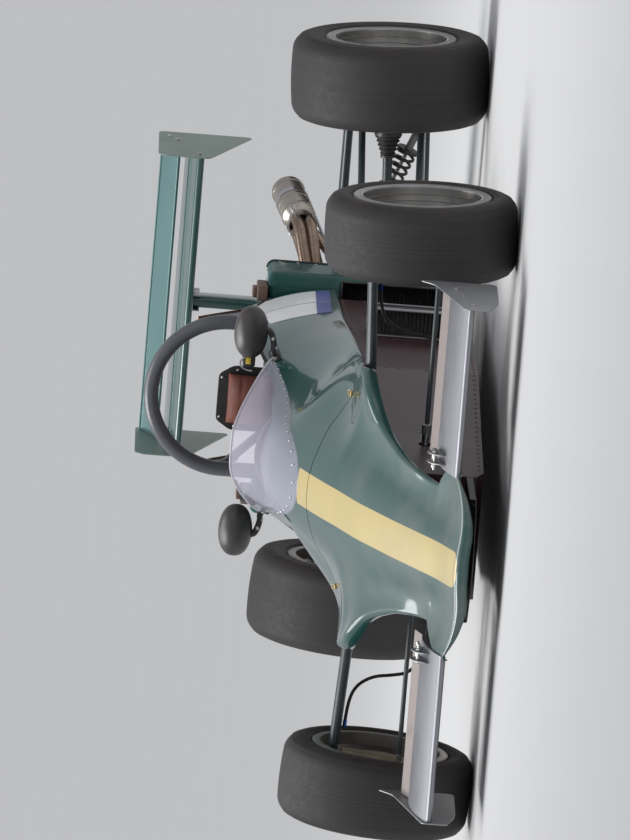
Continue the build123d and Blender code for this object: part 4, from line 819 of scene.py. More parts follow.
def split_s(w, offset=0.0):
    """Station of the panel split on each skin line, from s = S(|x(s, w)|) by damped iteration."""
    s = np.full(np.shape(w), 0.16)
    for _ in range(30):
        x = skin_points(s, np.minimum(w, 2))[..., 0]
        s = 0.5 * s + 0.5 * smooth(x, SPLIT_X, SPLIT_S)
    return s + offset


def whole(half):
    """Full width grid from a left half whose first column lies on the middle."""
    other = half[:, :0:-1] * (-1, 1, 1)
    return np.concatenate([other, half], 1)


LINES = np.concatenate([np.linspace(0, 1, 19)[:-1], np.linspace(1, 2, 19), 2 + np.linspace(0, 1.5, 8)[1:]])
TIP_X, TIP_LINE = (0, 0.08, 0.15, 0.2, 0.245), (-0.8, -0.7965, -0.784, -0.765, -0.74)
first_s = np.full(len(LINES), -0.78)
for _ in range(30):
    x = skin_points(first_s, np.minimum(LINES, 2))[..., 0]
    tip_r = smooth(x, (0, 0.1, 0.18, 0.25), (0.019, 0.017, 0.01, 0.007)) * smooth(LINES, (0, 1.6, 2.0, 3.5),
                                                                                    (1, 1, 0.5, 0.2))
    slope = (smooth(x + 0.004, TIP_X, TIP_LINE) - smooth(x - 0.004, TIP_X, TIP_LINE)) / 0.008 * (x > 0.004)
    first_s = 0.5 * first_s + 0.5 * (smooth(x, TIP_X, TIP_LINE) + tip_r * np.hypot(1, slope))
v = np.linspace(0, 1, 110)[:, None] ** 0.92
nose_half = skin_points(first_s + v * (split_s(LINES, -0.002)[None] - first_s), LINES[None])
a = np.radians(np.linspace(165, 8, 13))[:, None]
ahead = unit(np.stack([slope, -1 + 0 * slope], -1))
front_roll = nose_half[:1] + np.stack([np.sin(a) * tip_r * ahead[:, 0], np.sin(a) * tip_r * ahead[:, 1],
                                       (np.cos(a) - 1) * tip_r], -1)
nose = whole(np.concatenate([front_roll, nose_half]))
piece("body_nose", [slab(nose, SKIN_T, (0, 0, 0.05))], BODY_PAINT, replaces=("nose_shell",))


def opening_x(s):
    """Half width of the cockpit opening: a rounded front, then the plan line of the rims."""
    front = 0.112 * np.sqrt(np.clip(1 - ((0.63 - s) / 0.07) ** 2, 0, 1))
    return np.where(s < 0.63, front, smooth(s, (0.63, 0.8, 0.9, 1.3, 1.5),
                                            (0.1125, 0.174, 0.192, 0.242, 0.245))) * (s > 0.56)


rows = np.concatenate([np.linspace(0, 1, 22)[:-1], np.linspace(1, 2, 110)])
grid_w = np.linspace(0, 1, 40)
surround = np.empty((len(rows), len(grid_w) + 6, 3))
flare = np.concatenate([grid_w, 1 + np.linspace(0, 1.5, 7)[1:]])
for j, share in enumerate(flare):
    start = split_s(np.array([2.0 * min(share, 1)]), 0.002)[0]
    s = np.where(rows <= 1, start + rows * (0.56 - start),
                 0.56 + (SURROUND_END_S - 0.56) * (1 - np.cos(np.clip(rows - 1, 0, 1) * np.pi / 2)))
    crest, kx, kz = (smooth(s, SKIN[:, 0], SKIN[:, i]) for i in (1, 2, 3))
    sag = crest - kz
    radius = (kx ** 2 + sag ** 2) / (2 * sag)
    inner = np.arcsin(np.clip(np.minimum(opening_x(s), kx * 0.995) / radius, 0, 1)) / (2 * np.arctan2(sag,
                                                                                                      kx))
    w = inner + (2 - inner) * min(share, 1) + max(share - 1, 0)
    surround[:, j] = skin_points(s, w)
surround[surround[:, 0, 1] - FRONT_AXLE_Y <= 0.5601, 0, 0] = 0


def half_slab(grid, thickness):
    """Left half sheet whose seam on the car's middle stays open, to be joined with its mirror image."""
    points, outer, inner, rim = slab(grid, thickness, (0, 0.4, 0.2))
    middle = np.abs(grid[..., 0].ravel()) < 1e-7
    seam = np.concatenate([middle, middle])
    points[seam, 0] = 0
    keep = ~(seam[rim[:, 0]] & seam[rim[:, 1]])
    return (points, outer, inner, rim[keep])


piece("body_surround", mirrored([half_slab(surround, SKIN_T)]), BODY_PAINT,
      replaces=("cockpit_surround",))

# Joggled flange under the split, in satin black as painted shade, seen as the dark line of the gap
under_w = np.concatenate([np.linspace(0, 1, 19)[:-1], np.linspace(1, 1.98, 16)])
under_s = split_s(under_w)[None] + np.linspace(-0.016, 0.018, 5)[:, None]
under = whole(skin_points(under_s, under_w[None], SKIN_T + 0.0012))
piece("split_flange", [slab(under, 0.002, (0, 0.2, 0.1))], SATIN_BLACK)

# Windscreen: ruled between a base line on the skin and the top edge, bowed a little outward

BASE = np.array([(0, 0.212), (0.034, 0.226), (0.068, 0.262), (0.1, 0.34), (0.128, 0.46), (0.152, 0.6),
                 (0.178, 0.74), (0.197, 0.85), (0.206, 0.915)])
TOP = np.array([(0, 0.67, 0.6925), (0.052, 0.682, 0.69), (0.095, 0.716, 0.676), (0.13, 0.76, 0.658),
                (0.158, 0.806, 0.64), (0.184, 0.85, 0.622), (0.2, 0.888, 0.607), (0.209, 0.912, 0.597),
                (0.2125, 0.93, 0.59)])
base = through(np.column_stack([BASE, skin_z(BASE[:, 0], BASE[:, 1])]), 60)
base[:, 2] = skin_z(base[:, 0], base[:, 1]) + 0.0012
top = through(TOP, 60)
share = np.linspace(0, 1, 26)[:, None, None]
bow = 0.012 * np.sin(np.pi * share) * (1 - (np.arange(60) / 59) ** 4)[None, :, None]
outward = unit(np.stack([base[:, 0] * 3.0, -0.1 + 0 * base[:, 1], 0.25 + 0 * base[:, 2]], -1))[None]
screen_half = base[None] * (1 - share) + top[None] * share + bow * outward
screen = spot(*np.moveaxis(whole(screen_half), -1, 0))
piece("screen_sheet", [slab(screen, 0.003, (0, 0.6, 0.4))], SCREEN_CLEAR,
      replaces=("windscreen",))
piece("screen_edge", [carried(screen[-1], slot_profile(0.0052, 0.0052, 0.0024), across=UP)],
      EDGE_CLEAR)


def surface_normal(grid, inward):
    """Unit normals of a grid that point away from a given inner point."""
    normal = unit(np.cross(np.gradient(grid, axis=0), np.gradient(grid, axis=1)))
    return normal * np.sign(np.sum(normal * (grid - np.asarray(inward)), -1, keepdims=True))


def spaced(line, pitch, start=0.0, normals=None):
    """Points along a line at an even pitch, with the normals carried beside them."""
    length = np.concatenate([[0], np.cumsum(np.linalg.norm(np.diff(line, axis=0), axis=1))])
    at = np.arange(start, length[-1], pitch)
    pick = lambda values: np.stack([np.interp(at, length, values[:, i]) for i in range(3)], -1)
    return pick(line) if normals is None else (pick(line), unit(pick(normals)))


RIVET = fastener(0.0042, 0.0022, 10, dome=1)
screen_normals = surface_normal(screen, (0, FRONT_AXLE_Y + 0.8, 0.3))
spots, ways = spaced(screen[2], 0.05, 0.03, screen_normals[2])
piece("screen_rivets", studs(spots, ways, RIVET), BRIGHT)

# Quick release latches behind the split, a stud with a wire loop
place = place_at(*on_skin(0.262, 0.212, step=0.01))
stud = lathe([(0, 0.009), (0.0012, 0.0095), (0.002, 0.008), (0.002, 0.004), (0.005, 0.0035),
              (0.0055, AXIS_R)], place, 20, ring=False)
turn = np.linspace(0, 2 * np.pi, 25)
wire = move(np.stack([0.0055 + 0.003 * np.cos(turn), 0.01 * np.cos(turn), 0.006 * np.sin(turn)], -1), place)
piece("split_latches", mirrored([stud, carried(wire, circle(0.0012, 8), ends=False)]), GOLD_PIN)

# Front wings, flaps and end plates


def bend(first, middle, last, count):
    """Points on the circular arc through three flat points."""
    (ax, ay), (bx, by), (cx, cy) = first, middle, last
    d = 2 * (ax * (by - cy) + bx * (cy - ay) + cx * (ay - by))
    a2, b2, c2 = ax * ax + ay * ay, bx * bx + by * by, cx * cx + cy * cy
    ux = (a2 * (by - cy) + b2 * (cy - ay) + c2 * (ay - by)) / d
    uy = (a2 * (cx - bx) + b2 * (ax - cx) + c2 * (bx - ax)) / d
    start, half, end = (np.arctan2(p[1] - uy, p[0] - ux) for p in (first, middle, last))
    half, end = start + (half - start + np.pi) % (2 * np.pi) - np.pi, end
    end = half + (end - half + np.pi) % (2 * np.pi) - np.pi
    a = np.linspace(start, end, count)
    return np.stack([ux + np.hypot(ax - ux, ay - uy) * np.cos(a),
                     uy + np.hypot(ax - ux, ay - uy) * np.sin(a)], -1)


def wing_section(chord, thick, camber):
    """Closed aerofoil of arcs: blunt nose, top and bottom arcs, thin tail."""
    nose, tail = thick * 0.32, thick * 0.08
    tip = bend((nose, -nose), (0, 0), (nose, nose), 15)
    over = bend((nose, nose), (chord * 0.4, camber + thick / 2), (chord, tail), 34)
    under = bend((chord, 0), (chord * 0.4, camber - thick / 2), (nose, -nose), 34)
    return np.concatenate([tip, over[1:], under[:-1]])


def wing(le_s, le_z, chord, thick, camber, angle, x0, x1, bevel=0.0025):
    """Wing whose section stands along the car, carried from x0 to x1 with eased ends."""
    c, t = wing_section(chord, thick, camber).T
    a = np.radians(angle)
    s, z = le_s + c * np.cos(a) - t * np.sin(a), le_z + c * np.sin(a) + t * np.cos(a)
    s0, z0 = s.mean(), z.mean()
    rows = []
    for x, inset in ((x0, bevel), (x0 + bevel, 0), (x1 - bevel, 0), (x1, bevel)):
        shrink = 1 - inset / (thick * 0.5 + 1e-9) * 0.25
        rows.append(spot(x, s0 + (s - s0) * (1 - inset / chord), z0 + (z - z0) * shrink))
    return rings_solid(rows)


def rounded(outline, radius, count=5):
    """Flat outline whose corners become quarter-like curves: B(t) = (1-t)^2 a + 2t(1-t) b + t^2 c."""
    outline = np.asarray(outline, float)
    radii = np.broadcast_to(radius, len(outline))
    t = np.linspace(0, 1, count)[:, None]
    result = []
    for before, corner, after, r in zip(np.roll(outline, 1, 0), outline, np.roll(outline, -1, 0), radii):
        back, ahead = before - corner, after - corner
        r = min(r, 0.45 * np.linalg.norm(back), 0.45 * np.linalg.norm(ahead))
        a, c = corner + unit(back) * r, corner + unit(ahead) * r
        result.append((1 - t) ** 2 * a + 2 * t * (1 - t) * corner + t * t * c)
    return np.concatenate(result)


def side_plate(x, outline, radius, thickness):
    """Plate that stands along the car at a side distance, from (station, height) corners."""
    flat = rounded(outline, radius)
    return plate(spot(x, flat[:, 0], flat[:, 1]), ACROSS, thickness)


FRONT_X = (0.238, 0.6817)
front_wing = wing(-0.742, 0.138, 0.285, 0.026, 0.008, 9, *FRONT_X)
piece("front_wing_skins", mirrored([front_wing]), WING_ALLOY, replaces=("front_wings",))
flap = plate(spot((0.2385, 0.6812, 0.6812, 0.2385), (-0.4605, -0.4605, -0.4012, -0.4012),
                  (0.1826, 0.1826, 0.2007, 0.2007)), (0, -np.sin(np.radians(17)), np.cos(np.radians(17))),
             0.005, 0.0018)
piece("front_flap_strips", mirrored([flap]), FLAP_ALLOY, replaces=("front_flaps",))
rear_s, rear_z = -0.742 + 0.285 * np.cos(np.radians(9)), 0.138 + 0.285 * np.sin(np.radians(9))
trim = []
for x in np.linspace(0.262, 0.66, 5):
    fin = [(rear_s - 0.038, rear_z - 0.016), (rear_s + 0.004, rear_z - 0.026),
           (rear_s + 0.052, rear_z + 0.004), (rear_s + 0.046, rear_z + 0.012),
           (rear_s - 0.01, rear_z - 0.004)]
    trim.append(side_plate(x, fin, 0.004, 0.002))
piece("flap_brackets", mirrored(trim), SHEET_ALLOY)
spots = spot(np.arange(0.262, 0.676, 0.0345), -0.4755, 0.1856)
piece("front_wing_rivets", mirrored(studs(spots, (0, -0.156, 0.988), fastener(0.0028, 0.0014, 8, dome=1))),
      SHEET_ALLOY)

FRONT_PLATE = np.array([(-750, 92), (-750, 158), (-420, 226), (-372, 262), (-360, 250), (-360, 62),
                        (-640, 66)]) / 1000
end_plate = side_plate(0.6838, FRONT_PLATE, (0.01, 0.012, 0.02, 0.006, 0.006, 0.02, 0.04), 0.003)
piece("front_wing_plates", mirrored([end_plate]), SHEET_ALLOY, replaces=("front_endplates",))


def washered(points):
    """Bolts on washers that face outward, both sides."""
    return mirrored(studs(points, ACROSS, fastener(0.0095, 0.0012, 20))
                    + studs(points + (0.001, 0, 0), ACROSS, fastener(0.0062, 0.0042)))


bolts = washered(spot(0.6853, (-0.7, -0.56, -0.47), (0.137, 0.157, 0.173)))
piece("front_plate_bolts", bolts, PLATED)

# Root brackets that hold the front wings to their spar
lugs = []
for x in (0.252, 0.276):
    lug = [(-0.662, 0.156), (-0.56, 0.176), (-0.578, 0.206), (-0.606, 0.22), (-0.64, 0.21),
           (-0.66, 0.18)]
    lugs.append(side_plate(x, lug, 0.012, 0.003))
piece("wing_root_lugs", mirrored(lugs), SHEET_ALLOY)
ties = []
for s, z in ((-0.626, 0.198), (-0.594, 0.2)):
    ties.append(bar(spot(0.232, s, z), spot(0.284, s, z), 0.0048, count=10))
    ties += studs(spot((0.2775, 0.2495), s, z), (ACROSS, -ACROSS), fastener(0.0085, 0.006))
piece("wing_root_bolts", mirrored(ties), PLATED)

# Rear wing
REAR_LE = WHEELBASE + 0.29
SPAN = 0.4297
piece("rear_wing_skin", [wing(REAR_LE, 0.782, 0.3, 0.034, -0.004, 7, -SPAN, SPAN)],
      WING_PAINT, replaces=("rear_wing_main",))
piece("rear_flap_skin", [wing(REAR_LE + 0.24, 0.838, 0.118, 0.014, -0.003, 24, -SPAN, SPAN, 0.0015)],
      LIT_FLAP_PAINT, replaces=("rear_wing_flap",))
end_s = WHEELBASE + 0.685
plate_s = REAR_LE - 0.009
REAR_PLATE = [(plate_s, 0.757), (plate_s, 0.886), (plate_s + 0.02, 0.904), (end_s - 0.014, 0.899),
              (end_s, 0.886), (end_s, 0.638), (end_s - 0.014, 0.632)]
end_plate = side_plate(0.4315, REAR_PLATE, (0.02, 0.02, 0.02, 0.01, 0.01, 0.008, 0.008), 0.003)
piece("rear_wing_plates", mirrored([end_plate]), PLATE_PAINT, replaces=("rear_endplates",))
bolts = washered(spot(0.433, (REAR_LE + 0.045, REAR_LE + 0.262, REAR_LE + 0.312), (0.787, 0.846, 0.868)))
piece("rear_plate_bolts", bolts, PLATED)
lip = bar(spot(-SPAN + 0.001, REAR_LE + 0.3475, 0.8875), spot(SPAN - 0.001, REAR_LE + 0.3475, 0.8875), 0.0032,
          count=10)
piece("rear_flap_lip", [lip], LIT_FLAP_PAINT)

# Wheels, each turned about its own tilted axle

CAMBER = np.radians(3)
AXLE_DIR = (np.cos(CAMBER), 0, np.sin(CAMBER))
FRONT_HUB = place_at(spot(0.745, 0, 0.25688), AXLE_DIR)
REAR_HUB = place_at(spot(0.75, WHEELBASE, 0.27935), AXLE_DIR)
BEAD_R, FLANGE_R = 0.166, 0.182


def other_side(parts):
    """The parts moved to the car's right."""
    return mirrored(parts)[len(parts):]


SIDES = (("left", list), ("right", other_side))


def side_pieces(body, *rows):
    """Pieces on a body of each side; * in a name, body or node is the side, and the right ones are mirrored.

    Columns of a row: name, parts, slot (not used), finish, sharp angle, the node that it stands for.
    """
    for side, over in SIDES:
        for name, parts, slot, finish, sharp, node in rows:
            piece(name.replace("*", side), over(parts), finish, sharp,
                  (node.replace("*", side),) if node else (), body.replace("*", side))


def tyre_outline(diameter, width, rim_width):
    """Slick tyre: crowned tread, round shoulders, bulged walls with moulded rings, beads and cavity."""
    radius, half = diameter / 2, width / 2
    bead_x = rim_width / 2 - 0.006
    tread_x = half - 0.0368
    tread_z = radius - tread_x ** 2 / 1.8
    wall_z = BEAD_R + (radius - BEAD_R) * 0.42
    low = bend((bead_x, BEAD_R + 0.019), (half - 0.002, BEAD_R + 0.031), (half, wall_z), 14)
    high = bend((half, wall_z), (half - 0.01, radius - 0.018), (tread_x, tread_z), 18)
    wall = np.concatenate([low, high[1:]])
    out = unit(np.gradient(wall, axis=0))[:, ::-1] * (1, -1)
    rings = np.zeros(len(wall))
    rings[[5, 6]], rings[[9, 10]], rings[22] = 0.0022, -0.001, 0.0012
    wall = wall + out * rings[:, None]
    crown = bend((tread_x, tread_z), (0, radius), (-tread_x, tread_z), 26)
    inner = [(-bead_x, BEAD_R), (-bead_x + 0.014, BEAD_R), (-half + 0.011, wall_z),
             (-half + 0.021, radius - 0.028), (-tread_x + 0.008, radius - 0.02),
             (tread_x - 0.008, radius - 0.02), (half - 0.021, radius - 0.028), (half - 0.011, wall_z),
             (bead_x - 0.014, BEAD_R), (bead_x, BEAD_R)]
    return np.concatenate([wall, crown[1:-1], (wall * (-1, 1))[::-1], inner])


def rim_barrel(width):
    """Split rim barrel: rolled lips, bead seats, the well and the bolted joint ring, as closed outlines."""
    half, seat, well = width / 2, BEAD_R - 0.0004, 0.1477
    lip = bend((half - 0.006, FLANGE_R - 0.003), (half - 0.001, FLANGE_R + 0.0006),
               (half + 0.001, FLANGE_R - 0.006), 9)
    outline = [*lip, (half - 0.0008, seat - 0.0052), (half - 0.01, seat - 0.0075),
               (half - 0.038, seat - 0.0078), (half - 0.068, well - 0.005), (-half + 0.044, well - 0.005),
               (-half + 0.032, seat - 0.0062), (-half - 0.0004, seat - 0.0052),
               (-half - 0.0012, FLANGE_R - 0.004), (-half + 0.001, FLANGE_R),
               (-half + 0.0045, FLANGE_R - 0.002), (-half + 0.0048, seat), (-half + 0.034, seat),
               (-half + 0.046, well), (half - 0.07, well), (half - 0.04, seat), (half - 0.0052, seat)]
    return np.array(outline)


def wheel_centre(disc_x, hub, place):
    """Four spokes between hub and joint ring: the half angle narrows as pi/4 * (1 - 0.6 sin^0.7) between."""
    r = np.linspace(0.046, 0.1415, 26)[:, None]
    t = np.linspace(-1, 1, 19)[None]
    q = np.clip((r - 0.06) / 0.072, 0, 1)
    half = np.pi / 4 * (1 - 0.62 * np.sin(np.pi * q) ** 0.7)
    dish = disc_x - 0.01 * np.sin(np.pi * np.clip((r - 0.05) / 0.1, 0,
                                                   1)) + 0.004 * np.cos(t * np.pi / 2) * np.sin(np.pi * q)
    parts = []
    for turn in np.arange(4) * np.pi / 2:
        a = turn + half * t
        grid = np.stack(np.broadcast_arrays(dish, r * np.cos(a), r * np.sin(a)), -1)
        points, *faces = slab(grid, 0.01, -ACROSS)
        parts.append((move(points, place), *faces))
    x = disc_x
    parts.append(lathe([(x + 0.016, 0.02), (x + 0.016, 0.036), (x + 0.013, 0.041), (x + 0.004, 0.048),
                        (x - 0.008, 0.049), (x - 0.014, 0.043), (hub, 0.042), (hub, 0.0157),
                        (x + 0.008, 0.0157), (x + 0.008, 0.02)], place, 64))
    parts.append(lathe([(x + 0.005, 0.137), (x + 0.008, 0.14), (x + 0.008, 0.1462), (x - 0.009, 0.1462),
                        (x - 0.009, 0.139), (x - 0.004, 0.136)], place, 96))
    return parts


def around_ring(radius, x, count, start, kind, place, way=1.0):
    """Fasteners on a circle about the axle."""
    a = start + np.arange(count) * 2 * np.pi / count
    spots = move(np.stack([np.full(count, x), radius * np.cos(a), radius * np.sin(a)], -1), place)
    return studs(spots, np.asarray(place)[:3, 0] * way, kind)


NUT = fastener(0.006, 0.0055)
RIM_DULL = bare_metal("rim_dull", (0.27, 0.255, 0.235), 0.36, (1, 1, 1), 40, 0.6, 0.9)


def wheel(end, place, diameter, width, rim_width, disc_x, hub):
    """Tyre, rim and fittings of one end of the car on both sides."""
    half = rim_width / 2
    rubber = [lathe(tyre_outline(diameter, width, rim_width), place, 144)]
    metal = [lathe(rim_barrel(rim_width), place, 128)]
    lip = [lathe([(half - 0.0045, FLANGE_R - 0.0045), (half + 0.0006, FLANGE_R - 0.005),
                  (half + 0.0014, FLANGE_R - 0.002), (half - 0.001, FLANGE_R + 0.001),
                  (half - 0.0055, FLANGE_R - 0.001)], place, 128),
           lathe([(half - 0.004, BEAD_R - 0.009), (half + 0.0004, BEAD_R - 0.0085),
                  (half + 0.0004, BEAD_R - 0.005), (half - 0.004, BEAD_R - 0.0055)], place, 128)]
    for x, r in ((half - 0.022, BEAD_R - 0.0078), (half - 0.04, BEAD_R - 0.0088)):
        lip.append(lathe([(x - 0.0018, r + 0.001), (x - 0.0014, r - 0.0022), (x + 0.0014, r - 0.0022),
                          (x + 0.0018, r + 0.001)], place, 128))
    centre = wheel_centre(disc_x, hub, place)
    bolts = around_ring(0.142, disc_x + 0.008, 16, 0.1, fastener(0.0042, 0.004), place)
    bolts += around_ring(0.032, disc_x + 0.016, 4, 0.4, NUT, place)
    nut = [lathe([(disc_x + 0.016, 0.0265), (disc_x + 0.033, 0.0265), (disc_x + 0.036, 0.0235),
                  (disc_x + 0.036, 0.0125), (disc_x + 0.028, 0.0115), (disc_x + 0.028, AXIS_R)], place, 6,
                 ring=False)]
    a = 1.2
    stem = move(np.array([(x, r * np.cos(a), r * np.sin(a)) for x,
                          r in ((half - 0.05, 0.15), (half - 0.042, 0.1465), (half - 0.03, 0.143))]),
                place)
    valve = [bar(stem[0], stem[1], 0.004, count=10), bar(stem[1], stem[2], 0.003, count=10)]
    weights = placed([block((half - 0.024, 0.1545 * np.cos(a), 0.1545 * np.sin(a)), (0.022, 0.009, 0.0045),
                            0.0012, Matrix.Rotation(a - np.pi / 2, 3, "X")) for a in (2.1, 2.17, 2.24)],
                     place)
    for side, over in SIDES:
        body = f"wheel_{end}_{side}"
        sign = 1 if side == "left" else -1
        hub_point = tuple(np.asarray(place)[:3, 3] * (sign, 1, 1))
        axle = (sign * AXLE_DIR[0], 0, AXLE_DIR[2])
        finish = tyre_rubber(f"tyre_{end}_{side}_rubber", hub_point, axle, diameter / 2)
        piece(f"tyre_{end}_{side}_slick", over(rubber), finish, 50, (f"tyre_{end}_{side}",),
              body=body)
        piece(f"rim_{end}_{side}_barrel", over(metal), RIM_DULL, 35, (f"rim_{end}_{side}",),
              body=body)
        piece(f"rim_{end}_{side}_lip", over(lip), RIM_SILVER, 35, body=body)
        piece(f"rim_{end}_{side}_centre", over(centre), RIM_GREY, 35, body=body)
        piece(f"rim_{end}_{side}_bolts", over(bolts), PLATED, body=body)
        piece(f"rim_{end}_{side}_nut", over(nut),
              RED_ANODISED if side == "right" else BLUE_ANODISED, 25, body=body)
        piece(f"rim_{end}_{side}_valve", over(valve), HOSE_RUBBER, body=body)
        piece(f"rim_{end}_{side}_weights", over(weights), SHEET_ALLOY, body=body)


wheel("front", FRONT_HUB, 0.512, 0.21, 0.2, 0.022, -0.04)
wheel("rear", REAR_HUB, 0.557, 0.236, 0.226, 0.03, -0.04)

# Brakes: vented discs with bells, four piston calipers
DISC_X = -0.022


def disc_parts(place):
    """Two friction rings, 36 curved vanes between them and the bell."""
    x = DISC_X
    rings = [lathe([(x + a, 0.074), (x + b, 0.074), (x + b, 0.1188), (x + a, 0.1188)], place, 96)
             for a, b in ((-0.005, -0.0018), (0.0018, 0.005))]
    for turn in np.arange(36) * 2 * np.pi / 36:
        r = np.linspace(0.075, 0.1175, 5)
        a = turn + (r - 0.075) * 5.0
        rings.append(carried(move(np.stack([np.full(5, x), r * np.cos(a), r * np.sin(a)], -1), place),
                             slot_profile(0.0042, 0.0026, 0.001, 3), across=np.asarray(place)[:3, 0]))
    bell = [lathe([(x - 0.005, 0.0424), (x + 0.011, 0.0424), (x + 0.011, 0.068), (x + 0.005, 0.0765),
                   (x - 0.005, 0.0765), (x - 0.005, 0.07), (x + 0.004, 0.066), (x + 0.004, 0.047),
                   (x - 0.005, 0.047)], place, 64)]
    return rings, bell


rings, bell = disc_parts(FRONT_HUB)
bell += around_ring(0.0735, DISC_X - 0.005, 8, 0.2, fastener(0.0045, 0.004), FRONT_HUB, -1.0)
CALIPER_TURN = Matrix.Rotation(np.radians(-104), 3, "X")


def on_caliper(points):
    """Points drawn over the top of the disc, carried round it to the caliper's place."""
    return move(np.asarray(points, float) @ np.array(CALIPER_TURN).T, FRONT_HUB)


y = np.linspace(-0.043, 0.043, 15)
arc = np.sqrt(0.124 ** 2 - y ** 2) - 0.02
halves = [carried(np.stack([np.full(15, (x0 + x1) / 2), y, arc], -1), slot_profile(x1 - x0, 0.04, 0.006),
                  across=ACROSS) for x0, x1 in ((-0.0505, -0.0345), (-0.0095, 0.0005))]
halves += [block((-0.025, y, 0.1305), (0.05, 0.016, 0.0085), 0.003) for y in (-0.034, 0.034)]
halves += [lathe([(0, 0.0155), (0.006, 0.015), (0.007, 0.012), (0.007, AXIS_R)],
                 place_at((-0.05, y, 0.098), -ACROSS), 24, ring=False) for y in (-0.02, 0.02)]
halves = placed(halves, on_caliper) + [block(spot(0.692, 0.056, 0.2515), (0.02, 0.036, 0.042), 0.004)]
bridge = [bar((-0.05, y, 0.13), (0, y, 0.13), 0.003, count=10) for y in (-0.014, 0.014)]
bridge.append(bar((-0.046, 0.046, 0.096), (-0.046, 0.058, 0.1), 0.0035, 0.0025, 8))
bridge = placed(bridge, on_caliper) + studs(spot(0.692, (0.045, 0.062), 0.2728), UP, fastener(0.0065, 0.005))
side_pieces("wheel_front_*", ("disc_*_rings", rings, "disc_iron", DISC_IRON, 30, "brake_disc_*"),
            ("disc_*_bell", bell, "disc_iron", SHEET_ALLOY, 30, None))
side_pieces("knuckle_*", ("caliper_*_halves", halves, "cast_alloy", CAST_GREY, 35, "caliper_*"),
            ("caliper_*_bolts", bridge, "arm_steel", PLATED, 40, None))

# Front suspension: faired rocker arms, lower wishbones, uprights and their joints

BALL_LOW, BALL_TOP = spot(0.686, 0, 0.142), spot(0.664, 0, 0.376)
KINGPIN = unit(BALL_TOP - BALL_LOW)
JOINT = (0.0168, 0.024)


def faired(start, end, chord, thick, count=12, slim=1.0):
    """Streamlined arm: a blunt ended lens of two arcs, its chord along the car, slimmer to the outer end."""
    a = np.linspace(0, 2 * np.pi, 40, endpoint=False)
    profile = np.stack([chord / 2 * np.sign(np.cos(a)) * np.abs(np.cos(a)) ** 0.85, thick / 2 * np.sin(a)],
                       -1)
    t = np.linspace(0, 1, count)[:, None]
    scale = 1 + (slim - 1) * t[:, 0]
    scale[[0, -1]] *= 0.97
    return carried(np.asarray(start) * (1 - t) + np.asarray(end) * t, profile, across=FORE, scale=scale)


def ball_joint(centre, axis, body_r=0.0165, height=0.022):
    """Spherical bearing: a turned housing with a recess, the ball and its bolt with a nut."""
    place = place_at(centre, axis, FORE)
    h = height / 2
    shell = [lathe([(-h, body_r - 0.0015), (-h + 0.0015, body_r), (h - 0.0015, body_r), (h, body_r - 0.0015),
                    (h, body_r - 0.004), (h * 0.6, body_r - 0.006), (-h * 0.6, body_r - 0.006),
                    (-h, body_r - 0.004)], place, 32)]
    a = np.radians(np.linspace(-58, 58, 9))
    pin = [lathe([(-h - 0.006, AXIS_R), (-h - 0.006, 0.0065),
                  *np.stack([0.0112 * np.sin(a), 0.0112 * np.cos(a)], -1), (h + 0.006, 0.0065),
                  (h + 0.006, AXIS_R)], place, 24, ring=False)]
    pin += studs([centre + unit(axis) * (h + 0.006), centre - unit(axis) * (h + 0.006)],
                 [axis, -np.asarray(axis)], fastener(0.0085, 0.0062))
    return shell, pin


def rod_end(centre, towards, axis, size=0.013):
    """Rod end: threaded shank with lock nut, a ring about the ball and the ball with its bore."""
    towards, axis = unit(np.asarray(towards) - centre), unit(axis)
    place = place_at(centre, axis, towards)
    w = size * 0.52
    ring = lathe([(-w, size - 0.002), (-w + 0.002, size), (w - 0.002, size), (w, size - 0.002),
                  (w, size * 0.62), (-w, size * 0.62)], place, 28)
    a = np.radians(np.linspace(-52, 52, 7))
    ball = lathe([(-w * 1.12, size * 0.3), *np.stack([size * 0.66 * np.sin(a), size * 0.66 * np.cos(a)], -1),
                  (w * 1.12, size * 0.3)], place, 24)
    shank = bar(centre + towards * size * 0.85, centre + towards * size * 2.6, size * 0.42, count=12)
    nut = lathe([(0, size * 0.72), (0.006, size * 0.72), (0.006, size * 0.3), (0, size * 0.3)],
                place_at(centre + towards * size * 2.1, towards, FORE), 6)
    return [ring, nut], [ball, shank]


arm_start, arm_end = spot(0.172, 0.052, 0.3462), spot(0.6475, 0.0, 0.3757)
arms = [faired(arm_start, arm_end, 0.057, 0.03, slim=0.93)]
arms.append(bar(spot(0.19, 0.012, 0.347), spot(0.19, 0.092, 0.347), 0.0118, count=24))
shell, pin = ball_joint(BALL_TOP, KINGPIN, *JOINT)
arms += shell + [carried(spot(0.64, 0.002, 0.3755) + np.array([(0, 0, 0), (0.01, 0, 0.0004)]),
                         slot_profile(0.04, 0.022, 0.006), across=FORE)]
bolts = pin + studs(spot(0.19, (0.0045, 0.0997), 0.347), [-FORE, FORE], fastener(0.0095, 0.006))
piece("front_arm_fairings", mirrored(arms), ARM_PAINT, 35, ("front_rockers",))

